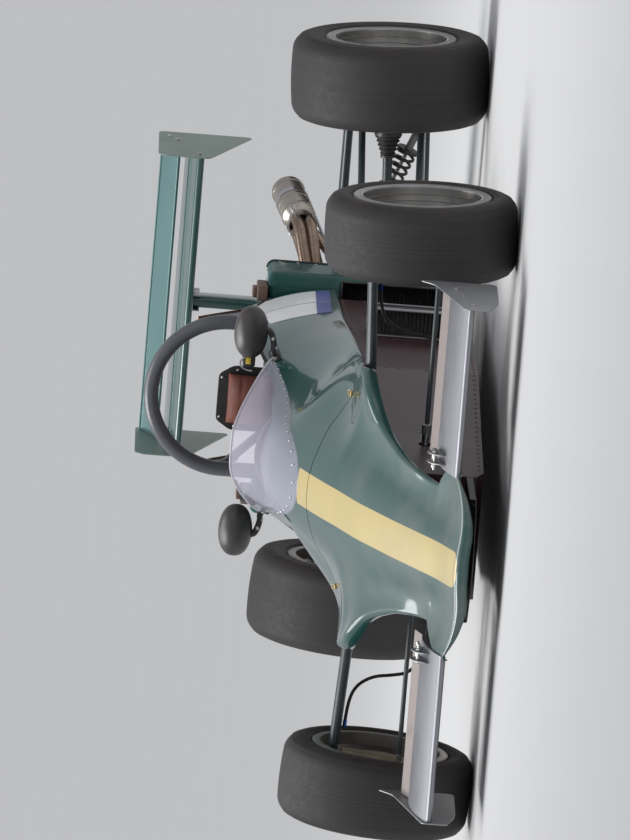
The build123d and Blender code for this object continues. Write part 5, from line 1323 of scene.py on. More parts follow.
tubes, ends, balls = [], [], []
for s, x in ((-0.15, 0.187), (0.25, 0.255)):
    inner = spot(x, s, 0.112)
    reach = unit(BALL_LOW - inner)
    inner = inner + reach * (0.021 if s < 0 else 0.036)
    tubes.append(faired(inner + reach * 0.03, BALL_LOW - reach * 0.018, 0.0235, 0.0175, slim=0.95))
    shells, pins = rod_end(inner, BALL_LOW, UP, 0.0115)
    ends += shells
    balls += pins
shell, pin = ball_joint(BALL_LOW, KINGPIN, *JOINT)
web = np.array([(-0.012, -0.012, 0), (-0.012, 0.012, 0), (-0.082, 0.0475, -0.004), (-0.09, -0.02, -0.004)])
tubes += shell + [plate(BALL_LOW + web, KINGPIN, 0.004)]
piece("front_wishbone_tubes", mirrored(tubes), ARM_PAINT, 35, ("front_wishbones",))
piece("front_joint_shells", mirrored(ends), PLATED, 30)
piece("front_joint_bolts", mirrored(bolts + balls + pin), GOLD_PIN, 30)

# Upright: box section web along the kingpin, hub carrier with ribs, steering arm
carrier = []
low, high = BALL_LOW + KINGPIN * 0.0185, BALL_TOP - KINGPIN * 0.022
t = np.linspace(0, 1, 15)
centre = low + (high - low) * t[:, None]
wide = 0.038 + 0.026 * np.exp(-((t - 0.45) / 0.22) ** 2)
deep = 0.02 + 0.006 * np.exp(-((t - 0.45) / 0.22) ** 2)
sections = slot_profile(1, 1, 0.22)
wide[[0, -1]] -= 0.003
carrier.append(carried(centre, sections, across=FORE, scale=np.stack([wide, deep], -1)))
carrier.append(lathe([(-0.0685, AXIS_R), (-0.0685, 0.026), (-0.066, 0.034), (-0.06, 0.0362),
                      (-0.049, 0.0362), (-0.0465, 0.033), (-0.0465, 0.0175), (-0.045, 0.0165),
                      (-0.03, 0.015), (0.048, 0.015), (0.05, 0.013), (0.05, AXIS_R)], FRONT_HUB, 48,
                     ring=False))
for a in np.arange(6) * np.pi / 3 + 0.5:
    rib = [(x, r * np.cos(a), r * np.sin(a)) for x, r in ((-0.0695, 0.01), (-0.0665, 0.033))]
    carrier.append(bar(*move(rib, FRONT_HUB), 0.0032, count=8))
arm_root = BALL_LOW + KINGPIN * ((0.214 - 0.142) / KINGPIN[2])
steer = arm_root + np.array([(0, 0.006, 0.005), (0.002, -0.03, 0.005), (0, -0.058, 0.005),
                             (0, -0.072, 0.005)])
carrier.append(carried(through(steer, 12), slot_profile(0.0215, 0.0095, 0.003), across=ACROSS,
                       scale=np.stack([np.linspace(1.0, 0.72, 12), np.ones(12)], -1)))
tip = arm_root + np.array([0, -0.08, 0.005])
carrier.append(lathe([(-0.0049, 0.0105), (-0.004, 0.0118), (0.004, 0.0118), (0.0049, 0.0105), (0.0049, 0.005),
                      (-0.0049, 0.005)], place_at(tip, UP, FORE), 28))
pins = [bar(tip - UP * 0.017, tip + UP * 0.0075, 0.0039, count=14)]
pins += studs([tip + UP * 0.005], [UP], fastener(0.0078, 0.0062))
pins += [bar(BALL_LOW - KINGPIN * 0.0115, BALL_LOW + KINGPIN * 0.02, 0.0072, count=16),
         bar(BALL_TOP - KINGPIN * 0.024, BALL_TOP + KINGPIN * 0.0115, 0.0072, count=16)]
pins += around_ring(0.029, -0.0682, 5, 0.2, fastener(0.0048, 0.004), FRONT_HUB, -1.0)
side_pieces("knuckle_*", ("upright_*_casting", carrier, "cast_alloy", CAST_GOLD, 35, "upright_*"),
            ("upright_*_pins", pins, "arm_steel", PLATED, 30, None))

# Steering rack: bar, bellows, track rods and their ends
RACK_S, RACK_Z, RACK_X = -0.08, 0.203, 0.238
RACK_FEET = (-0.15, 0.12)


def on_rack(x):
    """Point of the rack's line at a side distance."""
    return spot(x, RACK_S, RACK_Z)


rack = [bar(on_rack(-RACK_X), on_rack(RACK_X), 0.0102, count=20)]
track = [faired(on_rack(RACK_X), on_rack(tip[0] - 0.034), 0.0175, 0.0125)]
eyes, cores = rod_end(on_rack(tip[0]), on_rack(0.2), UP, 0.0135)
inner_eye = lathe([(-0.012, 0.006), (-0.012, 0.0125), (0.012, 0.0125), (0.014, 0.0105), (0.014, 0.006)],
                  place_at(on_rack(0.236), ACROSS), 8)
piece("rack_bar", rack, BRIGHT, 30, ("steering_rack",), body="steering_rack")
piece("track_rods", mirrored(track), ARM_PAINT, body="steering_rack")
piece("track_rod_ends", mirrored(eyes + cores + [inner_eye]), PLATED, 30, body="steering_rack")
tube = [lathe([(-0.19, 0.0128), (-0.19, 0.0175), (-0.186, 0.018), (-0.06, 0.018), (-0.056, 0.0165),
               (0.15, 0.0165), (0.154, 0.018), (0.186, 0.018), (0.19, 0.0175), (0.19, 0.0128)],
              place_at(on_rack(0), ACROSS), 40)]
RAKE = np.radians(20)
COLUMN = np.array([0, np.cos(RAKE), np.sin(RAKE)])
WHEEL_AT = spot(0, 0.69, 0.498)
column_low = WHEEL_AT - COLUMN * (0.732 / np.cos(RAKE))
tube.append(lathe([(0, 0.011), (0, 0.0175), (0.004, 0.0188), (0.03, 0.0188), (0.036, 0.0165),
                   (0.055, 0.0165), (0.055, AXIS_R)], place_at(column_low - COLUMN * 0.0005, -COLUMN), 36,
                  ring=False))
tube += [block(on_rack(x), (0.026, 0.04, 0.04), 0.004) for x in RACK_FEET]
clamps = studs(spot(np.repeat(RACK_FEET, 2), np.tile((RACK_S - 0.012, RACK_S + 0.012), 2), RACK_Z + 0.0198),
               UP, fastener(0.0055, 0.0045))
piece("rack_tube", tube, CAST_GREY, 35, ("rack_housing",))
piece("rack_clamp_bolts", clamps, PLATED)

# Brake hoses: free cords on a NURBS spline from the tub's union out to the arm's end
HOSE = np.array([(217, 66, 146), (282, 60, 147), (350, 58, 150), (408, 60, 158), (452, 62, 188),
                 (462, 62, 235), (468, 60, 285), (496, 50, 330), (548, 32, 348), (600, 6, 351)]) / 1000
HOSE_R = 0.0046


def spline_points(name, controls, per_span=14):
    """Points of the smooth NURBS spline whose control points are given."""
    curve = bpy.data.curves.new(name, "CURVE")
    curve.dimensions, curve.resolution_u = "3D", per_span
    spline = curve.splines.new("NURBS")
    spline.points.add(len(controls) - 1)
    spline.points.foreach_set("co", np.column_stack([controls, np.ones(len(controls))]).ravel())
    spline.order_u, spline.use_endpoint_u = 3, True
    carrier = bpy.data.objects.new(name, curve)
    mesh = bpy.data.meshes.new_from_object(carrier)
    points = np.array([v.co[:] for v in mesh.vertices])
    for owner, data in ((bpy.data.objects, carrier), (bpy.data.curves, curve), (bpy.data.meshes, mesh)):
        owner.remove(data)
    return points


for side, sign in (("left", 1), ("right", -1)):
    line = spline_points(f"hose_route_{side}", spot(HOSE[:, 0] * sign, HOSE[:, 1], HOSE[:, 2]))
    length = np.linalg.norm(np.diff(line, axis=0), axis=1).sum()
    hose = piece(f"brake_hose_{side}", [carried(line, circle(HOSE_R, 12))], HOSE_RUBBER,
                 replaces=("brake_hoses",))
    low_end, far_end = unit(line[1] - line[0]), unit(line[-1] - line[-2])
    unions = [bar(line[0] - low_end * 0.001, line[0] + low_end * 0.02, 0.0062, count=6),
              bar(line[-1] - far_end * 0.02, line[-1] + far_end * 0.001, 0.0062, count=6)]
    tips = piece(f"brake_unions_{side}", unions, BLUE_ANODISED)
    tuple(line[0])
    [tuple(p) for p in line]


def box_part(x0, x1, s0, s1, z0, z1, radius=0.003):
    """Rounded block between two side distances, stations and heights."""
    return block(spot((x0 + x1) / 2, (s0 + s1) / 2, (z0 + z1) / 2), (x1 - x0, s1 - s0, z1 - z0), radius)


def upright_ring(x, s, z, width, height, radius):
    """Rounded rectangle standing across the car at a station."""
    flat = slot_profile(width, height, radius, 7)
    return spot(x + flat[:, 0], s, z + flat[:, 1])


def round_part(outline, centre, direction, count=32):
    """Solid of revolution standing at a place, closed at the axis."""
    return lathe(outline, place_at(centre, direction), count, ring=False)


# Engine: ribbed block, finned sump, head and cam cover
E0, E1 = 1.4806, 1.9602  # stations of its front and rear faces
PORTS = 1.5766 + 0.096 * np.arange(4)
PORT_Z, HEAD_X = 0.47, 0.0843
BOTH = np.array([-1, 1])


def boxes(*rows):
    """Rounded blocks from rows of side distances, stations, heights and corner radius."""
    return [box_part(*row) for row in rows]


case = boxes((-0.09, 0.09, E0, E1, 0.132, 0.398, 0.006),
             (-0.0975, 0.0975, E0, E0 + 0.016, 0.131, 0.399, 0.004),
             (-0.0975, 0.0975, E1 - 0.018, E1, 0.131, 0.399, 0.004),
             (-0.0975, 0.0975, E0, E1, 0.13, 0.146, 0.004), (-0.0975, 0.0975, E0, E1, 0.384, 0.3995, 0.004),
             (-0.07, 0.07, E0 + 0.026, E1 - 0.026, 0.0745, 0.131, 0.008),
             (-0.083, 0.083, E0 + 0.026, E1 - 0.026, 0.4, 0.519, 0.006),
             (-0.0845, 0.0845, E0 + 0.024, E1 - 0.024, 0.4, 0.408, 0.002),
             (-0.0845, 0.0845, E0 + 0.024, E1 - 0.024, 0.511, 0.5195, 0.002))
# Ribs and bosses by rows: side distance, half width, half length, heights, corner, inset of the ends, count
for x, half_x, half_s, z0, z1, corner, ends, count in ((0.0925, 0.0035, 0.003, 0.14, 0.39, 0.002,
                                                        (0.06, 0.062), 9),
                                                       (0, 0.0715, 0.0022, 0.0745, 0.122, 0.0015,
                                                        (0.05, 0.05), 14),
                                                       (0.0815, 0.004, 0.034, 0.444, 0.496, 0.003,
                                                        (0.096, 0.0956), 4)):
    for s in np.linspace(E0 + ends[0], E1 - ends[1], count):
        case += [box_part(side - half_x, side + half_x, s - half_s, s + half_s, z0, z1, corner)
                 for side in ((-x, x) if x else (0,))]
for s in np.linspace(E0 + 0.105, E1 - 0.105, 4):
    case += [round_part([(0, 0.0195), (0.004, 0.0195), (0.004, 0.015), (0.002, 0.0135), (0.002, AXIS_R)],
                        spot(0.089 * way, s, 0.335), (way, 0, 0), 28) for way in BOTH]
piece("engine_case", case, CAST_DARK, 35, ("engine",))
flat = slot_profile(0.13, 0.064, 0.024, 7)
flat[:, 1] = np.maximum(flat[:, 1], -0.0315)
cover = [rings_solid([spot(flat[:, 0] * k, s, 0.552 + flat[:, 1] * k) for s, k in
                      ((E0 + 0.026, 0.955), (E0 + 0.03, 1.0), (E1 - 0.03, 1.0), (E1 - 0.026, 0.955))])]
cover += [bar(spot(x, E0 + 0.05, 0.5842), spot(x, E1 - 0.05, 0.5842), 0.0025, count=8)
          for x in np.linspace(-0.03, 0.03, 5)]
cover.append(box_part(-0.0665, 0.0665, E0 + 0.0245, E1 - 0.0245, 0.5195, 0.5265, 0.002))
piece("cam_cover", cover, CRACKLE, 30)
screws = []
for s in np.linspace(E0 + 0.045, E1 - 0.045, 8):
    screws += studs(spot(0.0715 * BOTH, s, 0.5265), UP, fastener(0.0042, 0.006))
for s in np.linspace(E0 + 0.04, E1 - 0.04, 12):
    screws += studs(spot(0.0845 * BOTH, s, 0.404), (-ACROSS, ACROSS), fastener(0.0038, 0.005))
    screws += studs(spot(0.083 * BOTH, s, 0.1325), -UP, fastener(0.0042, 0.006))
cap = round_part([(0, 0.021), (0.003, 0.021), (0.004, 0.0225), (0.013, 0.0225), (0.015, 0.02),
                  (0.015, AXIS_R)], spot(0.022, E0 + 0.1, 0.582), UP, 12)
piece("engine_screws", screws, PLATED)
piece("oil_filler_cap", [cap], BLUE_ANODISED, 25)

# Plug caps on a rigid coil rail, oil filter, starter and water pipes
caps = [bar(spot(0.07, s, 0.546), spot(0.0705, s, 0.52), 0.0085, 0.006, 16) for s in PORTS]
caps.append(box_part(0.06, 0.0805, PORTS[0] - 0.0146, PORTS[-1] + 0.0144, 0.544, 0.556, 0.003))
caps.append(round_part([(0, 0.02), (0.02, 0.02), (0.023, 0.017), (0.023, AXIS_R)],
                       spot(-0.04, E1 - 0.052, 0.566), UP, 24))
piece("coil_rail", caps, CRACKLE, 30)
canister = [(0, 0.034), (0.006, 0.037), (0.085, 0.037), (0.092, 0.03), (0.095, 0.02), (0.095, AXIS_R)]
piece("oil_filter", [round_part(canister, spot(-0.094, 1.6, 0.205), (-1.0, 0, -0.15), 36)],
      coated("filter_white", (0.5, 0.5, 0.48), rough=0.35), 30)
starter = [bar(spot(x, s0, z), spot(x, s1, z), r, count=count) for x, z, s0, s1, r,
           count in ((0.13, 0.2, 1.79, 1.955, 0.034, 28), (0.13, 0.2, 1.775, 1.79, 0.024, 24),
                     (0.155, 0.246, 1.85, 1.95, 0.019, 20))]
piece("starter_motor", starter + boxes((0.09, 0.135, 1.8, 1.83, 0.175, 0.225, 0.004)),
      CAST_GREY, 30)
WATER = (((0.083, 1.69, 0.5), (0.15, 1.64, 0.52), (0.185, 1.6, 0.53), (0.225, 1.59, 0.51),
          (0.262, 1.605, 0.49)), ((0.093, 1.52, 0.24), (0.14, 1.535, 0.225), (0.19, 1.565, 0.205),
                                  (0.245, 1.605, 0.2)))
pipes, couplers, clips = [], [], []
for route in WATER:
    for flip in (1, -1):
        curve = through(spot(*(np.array(route) * (flip, 1, 1)).T), 44)
        pipes.append(carried(curve, circle(0.0145, 18)))
        couplers += [carried(curve[ends], circle(0.0168, 18)) for ends in (slice(0, 9), slice(-10, -1))]
        for k in (2, 7, -8, -3):
            along = unit(curve[k + 1] - curve[k])
            clips.append(bar(curve[k] - along * 0.004, curve[k] + along * 0.004, 0.0182, count=20))
            clips.append(block(curve[k] + unit(np.cross(along, UP)) * 0.0195, (0.008, 0.012, 0.007), 0.0015))
piece("water_pipes", pipes, SHEET_ALLOY)
piece("water_couplers", couplers, HOSE_RUBBER)
piece("water_clips", clips, BRIGHT, 30)

# Intake: throttle bodies, fuel rail and four flared trumpets
HORN = [(0.052, 0.0242), (0.086, 0.024), (0.104, 0.0262), (0.12, 0.0315), (0.13, 0.035), (0.1345, 0.0358),
        (0.1362, 0.0345), (0.1345, 0.0325), (0.12, 0.029), (0.104, 0.0238), (0.086, 0.0215), (0.052, 0.0215)]
THROTTLE = [(0, 0.0295), (0.011, 0.0295), (0.013, 0.0255), (0.05, 0.0255), (0.054, 0.0275), (0.06, 0.0275),
            (0.06, 0.0215), (0, 0.0215)]
places = [place_at(spot(-HEAD_X, s, PORT_Z), unit((-1.0, 0, 0.25))) for s in PORTS]
horns = [lathe(HORN, place, 48) for place in places]
bodies = [lathe(THROTTLE, place, 40) for place in places]
bodies += [lathe([(0.044, 0.0215), (0.046, 0.0215), (0.046, AXIS_R)], place, 24, ring=False)
           for place in places]
rail = [bar(spot(-0.118, PORTS[0] - 0.0316, 0.507), spot(-0.118, PORTS[-1] + 0.0304, 0.507), 0.0082,
            count=14)]
for s in PORTS:
    rail.append(bar(spot(-0.118, s, 0.505), spot(-0.104, s, 0.487), 0.0062, 0.005, 12))
    rail.append(bar(spot(-0.13, s - 0.03, PORT_Z), spot(-0.13, s + 0.03, PORT_Z), 0.0038, count=8))
piece("intake_trumpets", horns, CRACKLE, 30, ("intake",))
piece("throttle_bodies", bodies, CAST_GREY, 30)
piece("fuel_rail", rail, RED_ANODISED, 30)

# Exhaust: four primaries into a collector, then the silencer with its rings, springs and tail
PIPE_R, CAN_R = 0.0176, 0.0452
COLLECT, TAIL = spot(0.388, 2.0503, 0.506), spot(0.456, 2.2223, 0.55)
CAN = unit(TAIL - COLLECT)
CAN_L = np.linalg.norm(TAIL - COLLECT)
side_dir = unit(np.cross(CAN, UP))
lift_dir = np.cross(side_dir, CAN)
pipes, flanges = [], []
for i, s in enumerate(PORTS):
    port = spot(HEAD_X, s, PORT_Z)
    bend_at = port + (0.074 + 0.018 * i, 0, 0)
    merge = spot(0.24, 1.9463 - 0.01 * i, 0.44 + 0.012 * i)
    into = COLLECT - CAN * 0.03 + side_dir * 0.0165 * (1 if i % 2 else -1) + lift_dir * 0.0165 * (1 if i > 1
                                                                                                  else -1)
    route = [port, port + (0.035, 0, 0), bend_at + (0.006, 0.024, -0.001),
             0.45 * bend_at + 0.55 * merge + (0.004, 0, 0), merge + (0.004, 0.01, 0),
             0.55 * merge + 0.45 * into, into, into + CAN * 0.034]
    pipes.append(carried(through(route, 90), circle(PIPE_R, 22)))
    flanges.append(box_part(HEAD_X, HEAD_X + 0.006, s - 0.036, s + 0.036, 0.449, 0.491, 0.003))
    flanges += studs(spot(HEAD_X + 0.006, s + 0.029 * BOTH, PORT_Z), ACROSS, fastener(0.0055, 0.006))
place = place_at(COLLECT, CAN)
pipes.append(lathe([(-0.006, 0.0385), (0.004, 0.0385), (0.014, 0.0335), (0.024, 0.03), (0.024, 0.0275),
                    (-0.006, 0.036)], place, 48))
can = [lathe([(0.018, 0.0305), (0.03, 0.031), (0.042, 0.043), (0.046, CAN_R), (CAN_L - 0.012, CAN_R),
              (CAN_L - 0.004, 0.0445), (CAN_L, 0.042), (CAN_L, 0.0405), (CAN_L - 0.006, 0.04),
              (CAN_L - 0.04, 0.0395), (CAN_L - 0.04, AXIS_R), (0.018, AXIS_R)], place, 64, ring=False)]
can += [lathe([(x - 0.004, 0.045), (x - 0.003, 0.0468), (x + 0.003, 0.0468), (x + 0.004, 0.045)], place, 64)
        for x in (0.052, 0.098, 0.104, CAN_L - 0.018)]
can.append(lathe([(0.012, 0.029), (0.012, 0.0345), (0.026, 0.0345), (0.028, 0.0315), (0.028, 0.029)], place,
                 48))
springs = []
for a in (0.6, 2.4, 4.4):
    out = side_dir * np.cos(a) + lift_dir * np.sin(a)
    q = np.linspace(0, 1, 90)[:, None]
    turns = 2 * np.pi * 11 * q
    springs.append(carried(COLLECT + out * 0.043 + CAN * 0.046 * q + 0.0042
                           * (np.cos(turns) * out + np.sin(turns) * np.cross(CAN, out)), circle(0.0009, 5)))
    springs.append(bar(COLLECT + out * 0.034 - CAN * 0.002, COLLECT + out * 0.044 - CAN * 0.002, 0.0016,
                       count=6))
bypass = through([*spot((0.236, 0.262, 0.312, 0.346), (1.9, 1.945, 1.985, 2.02), (0.404, 0.4, 0.418, 0.448)),
                  COLLECT - CAN * 0.004 - UP * 0.02], 50)
third = [carried(bypass, circle(0.0135, 16)), round_part([(0, 0.0165), (0.01, 0.0165), (0.012, 0.014),
                                                          (0.012, AXIS_R)], spot(0.236, 1.896, 0.4042),
                                                         (-0.5, -0.85, 0.05), 20)]
strap = [lathe([(0.112, 0.047), (0.128, 0.047), (0.128, 0.0455), (0.112, 0.0455)], place, 64),
         bar(COLLECT + CAN * 0.12 - lift_dir * 0.045, spot(0.212, 2.19, 0.38), 0.006, count=12)]
piece("exhaust_primaries", pipes + third, HEAT_STEEL, 35, ("exhaust",))
piece("exhaust_flanges", flanges, PLATED, 30)
piece("silencer_can", can,
      bare_metal("silencer_steel", (0.46, 0.42, 0.38), 0.3, (1, 1, 1), 70, 0.35), 35)
piece("exhaust_springs", springs + strap, BRIGHT, 35)

# Gearbox: bell housing, ribbed case, final drive covers, cross members and rod brackets
G0, G1 = 1.9608, 2.729  # stations of its front and rear faces
COVER_Z = 0.2505


def bell_ring(q):
    """Section of the bell housing: its width and height fall on a half cosine from engine to gears."""
    fall = 0.5 - 0.5 * np.cos(np.pi * q)
    return upright_ring(0, G0 + 0.0125 + 0.1375 * q, 0.27 - 0.008 * q, 0.284 - 0.104 * fall,
                        0.274 - 0.064 * fall, 0.055 - 0.015 * q)


bell = [upright_ring(0, G0, 0.27, 0.3, 0.29, 0.06), upright_ring(0, G0 + 0.012, 0.27, 0.3, 0.29, 0.06)]
bell += [bell_ring(q) for q in (0, *np.linspace(0.1, 1, 9))]
gears = [rings_solid(bell), *boxes(
    (-0.078, 0.078, 2.106, 2.718, 0.165, 0.36, 0.016), (-0.084, 0.084, 2.108, 2.122, 0.16, 0.366, 0.006),
    (-0.084, 0.084, 2.58, 2.596, 0.16, 0.366, 0.006), (-0.084, 0.084, 2.704, G1, 0.16, 0.366, 0.008),
    (-0.214, 0.214, 2.502, 2.598, 0.3665, 0.3995, 0.006), (-0.15, 0.15, 2.502, 2.598, 0.1185, 0.16, 0.008))]
gears += [box_part(-0.0835, 0.0835, s - 0.0035, s + 0.0035, 0.162, 0.364, 0.002)
          for s in (2.17, 2.23, 2.29, 2.35, 2.64, 2.67)]
gears += [box_part(-0.0835, 0.0835, 2.11, 2.72, z - 0.0035, z + 0.0035, 0.002) for z in (0.215, 0.31)]
gears += [box_part(-0.16, 0.16, 1.9757, 1.9955, z - 0.015, z + 0.015, 0.004) for z in (0.18, 0.33)]
a = np.arange(10) * 2 * np.pi / 10 + 0.2
bolts = []
for flip in (1, -1):
    gears.append(round_part([(0, 0.085), (0.004, 0.086), (0.01, 0.084), (0.013, 0.074), (0.026, 0.06),
                             (0.03, 0.044), (0.04, 0.036), (0.042, 0.029), (0.047, 0.028), (0.047, AXIS_R)],
                            spot(0.076 * flip, WHEELBASE, COVER_Z), (flip, 0, 0), 56))
    bolts += studs(spot(0.0865 * flip, WHEELBASE + 0.079 * np.cos(a), COVER_Z + 0.079 * np.sin(a)),
                   (flip, 0, 0), fastener(0.0048, 0.006))
a = np.arange(14) * 2 * np.pi / 14 + 0.22
corner = np.stack([np.sign(c) * np.abs(c) ** 0.6 for c in (np.cos(a), np.sin(a))])
bolts += studs(spot(0.068 * corner[0], G1, 0.263 + 0.092 * corner[1]), FORE, fastener(0.0048, 0.005))
bolts += studs(spot((-0.132, 0.132, -0.132, 0.132), G0 + 0.012, (0.175, 0.175, 0.365, 0.365)), FORE,
               fastener(0.006, 0.007))
piece("gearbox_case", gears, CAST_GOLD, 35, ("gearbox",))
piece("gearbox_bolts", bolts, PLATED)

# Half shafts with their bellows, which turn with the rear wheels
REAR_AXIS = np.asarray(REAR_HUB)[:3, 0]
SHAFT_IN = -(0.75 - 0.118) / np.cos(CAMBER)
BOOT_OUT, BOOT_L, BOOT_R = -0.163, 0.066, 0.0392


def rear_point(x, y, z):
    """Car point from a place in the rear hub's own axes."""
    return move(np.array([(x, y, z)]), REAR_HUB)[0]


grow = []
for start, way in ((BOOT_OUT, -1), (SHAFT_IN + 0.006, 1)):
    q = np.linspace(0, 1, 49)
    folds = 0.0385 - 0.0205 * q - 0.0042 * (0.5 + 0.5 * np.cos(2 * np.pi * 5.5 * q))
    end = start + way * BOOT_L
    grow.append(lathe([(start, AXIS_R), *np.stack([start + way * BOOT_L * q, folds], -1), (end, AXIS_R)],
                      REAR_HUB, 40, ring=False))
shaft = [bar(rear_point(SHAFT_IN + 0.06, 0, 0), rear_point(-0.06, 0, 0), 0.0135, count=24),
         lathe([(SHAFT_IN, AXIS_R), (SHAFT_IN, 0.0455), (SHAFT_IN + 0.0055, 0.0455),
                (SHAFT_IN + 0.006, 0.036), (SHAFT_IN + 0.008, AXIS_R)], REAR_HUB, 40, ring=False),
         lathe([(BOOT_OUT - 0.001, AXIS_R), (BOOT_OUT - 0.001, 0.0368), (-0.122, 0.0368), (-0.112, 0.0335),
                (-0.096, 0.02), (-0.088, 0.015), (0.029, 0.015), (0.03, AXIS_R)], REAR_HUB, 40, ring=False)]
ties = [lathe([(x - 0.0035, 0.0155), (x - 0.0035, r), (x + 0.0035, r), (x + 0.0035, 0.0155)], REAR_HUB, 32)
        for x, r in ((BOOT_OUT + 0.002, BOOT_R), (BOOT_OUT - BOOT_L + 0.004, 0.0205),
                     (SHAFT_IN + 0.0085, BOOT_R), (SHAFT_IN + BOOT_L + 0.002, 0.0205))]
ties += around_ring(0.0385, SHAFT_IN + 0.0055, 6, 0.3, fastener(0.0045, 0.005), REAR_HUB)
side_pieces("wheel_rear_*", ("half_shaft_*_bar", shaft, "shaft_steel", ARM_PAINT, 30, "half_shaft_*"),
            ("half_shaft_*_bellows", grow, "soft_rubber", HOSE_RUBBER, 60, None),
            ("half_shaft_*_clips", ties, "shaft_steel", SATIN_BLACK, 30, None))

# Rear uprights: a hub ring between two waisted webs, with a foot at each end
UP_X = -0.072
WEB_X = UP_X + 0.013


def waist(z, half, draw=0.013):
    """Half width of the upright at a height: drawn in by a bell curve about 85 mm from the axle."""
    return half - draw * np.exp(-((np.abs(z) - 0.085) / 0.03) ** 2)


casting = [lathe([(UP_X, 0.0225), (UP_X, 0.04), (UP_X + 0.004, 0.0438), (UP_X + 0.022, 0.0438),
                  (UP_X + 0.0258, 0.04), (UP_X + 0.0258, 0.0225)], REAR_HUB, 48)]
z = np.linspace(-0.122, 0.126, 25)
casting += [carried(move(np.stack([np.full(25, WEB_X), flip * waist(z, 0.03), z], -1), REAR_HUB),
                    slot_profile(0.026, 0.009, 0.003), across=REAR_AXIS) for flip in (1, -1)]
for low, high in ((-0.12, -0.046), (0.046, 0.124)):
    z = np.linspace(low, high, 9)
    outline = np.concatenate([np.stack([np.full(9, WEB_X), waist(z, 0.029), z], -1),
                              np.stack([np.full(9, WEB_X), -waist(z, 0.029), z], -1)[::-1]])
    casting.append(plate(move(outline, REAR_HUB), REAR_AXIS, 0.007))
casting += placed([block((WEB_X, 0, z), (0.026, 0.064, 0.013), 0.004) for z in (-0.118, 0.12)], REAR_HUB)
piece("rear_upright_castings", mirrored(casting), CAST_GOLD, 35, ("rear_uprights",))
bearing = [lathe([(UP_X - 0.001, 0.0215), (UP_X - 0.001, 0.03), (UP_X + 0.004, 0.03), (UP_X + 0.004, 0.0215)],
                 REAR_HUB, 32)]
bearing += around_ring(0.0365, UP_X, 6, 0.0, fastener(0.0042, 0.005), REAR_HUB, -1.0)

# Rear links and radius rods, with a rod end at both ends of each
arms, eyes, cores = [], [], []


def rod_pair(start, end, axis, size, eyes, cores):
    """Rod ends at both ends of a link, each facing the other, added to the shells and the balls."""
    for point, other in ((start, end), (end, start)):
        shells, pins = rod_end(point, other, axis, size)
        eyes += shells
        cores += pins


upper_in, upper_out = spot(0.2146, 2.53, 0.383), rear_point(UP_X + 0.001, 0, 0.108)
reach = unit(upper_out - upper_in)
arms.append(faired(upper_in + reach * 0.03, upper_out - reach * 0.03, 0.049, 0.0285, slim=0.95))
rod_pair(upper_in + reach * 0.012, upper_out - reach * 0.012, UP, 0.012, eyes, cores)
for s, y in ((2.516, -0.018), (2.57, 0.018)):
    start, end = spot(0.1633, s, 0.139), rear_point(UP_X - 0.0133, y, -0.108)
    inset = unit(end - start) * 0.032
    arms.append(faired(start + inset, end - inset, 0.0225, 0.0175))
    rod_pair(start, end, UP, 0.0122, eyes, cores)
for z_in, z_out in ((0.18, -0.092), (0.33, 0.076)):
    start, end = spot(0.1733, 1.9856, z_in), rear_point(WEB_X, -0.0463, z_out)
    inset = unit(end - start) * 0.034
    arms.append(bar(start + inset, end - inset, 0.0098, count=20))
    rod_pair(start, end, UP, 0.0122, eyes, cores)
piece("rear_arm_tubes", mirrored(arms), ARM_PAINT, 35, ("rear_links", "radius_rods"))
piece("rear_rod_ends", mirrored(eyes + bearing), PLATED, 30)
piece("rear_joint_balls", mirrored(cores), BRIGHT, 40)

# Spring units: coil = low + way * height + R * (cos, sin) of eight turns, closer wound at the ends
low, top = spot(0.6, WHEELBASE + 0.027, 0.1875), spot(0.19, 2.575, 0.3517)
way = unit(top - low)
length = np.linalg.norm(top - low)
place = place_at(low, way)
damper = [lathe([(0.012, AXIS_R), (0.012, 0.011), (0.06, 0.011), (0.06, 0.0055), (0.245, 0.0055),
                 (0.245, AXIS_R)], place, 24, ring=False),
          lathe([(0.24, AXIS_R), (0.24, 0.0205), (0.244, 0.022), (0.34, 0.022), (0.348, 0.019),
                 (0.352, 0.0115), (length - 0.012, 0.011), (length - 0.012, AXIS_R)], place, 36, ring=False)]
seats = [lathe([(x, 0.0056), (x, 0.031), (x + 0.004, 0.0318), (x + 0.008, 0.031), (x + 0.008, 0.0056)], place,
               36) for x in (0.06, 0.244)]
seats += [lathe([(0.254, 0.0222), (0.254, 0.0275), (0.262, 0.0275), (0.262, 0.0222)], place, 12)]
q = np.linspace(0, 1, 420)[:, None]
turns = 2 * np.pi * 8 * q + 0.3 * np.sin(2 * np.pi * q)
side, other = place[:3, 1], place[:3, 2]
line = low + way * (0.068 + 0.172 * q) + 0.0262 * (np.cos(turns) * side + np.sin(turns) * other)
eyes, cores = [], []
rod_pair(low, top, np.cross(way, UP), 0.0128, eyes, cores)
piece("damper_bodies", mirrored(damper + eyes), CAST_GREY, 30, ("rear_dampers",))
piece("damper_springs", mirrored([carried(line, circle(0.0045, 12))]), SPRING_PAINT, 60)
piece("damper_seats", mirrored(seats), SATIN_BLACK, 30)
piece("damper_balls", mirrored(cores), BRIGHT, 40)

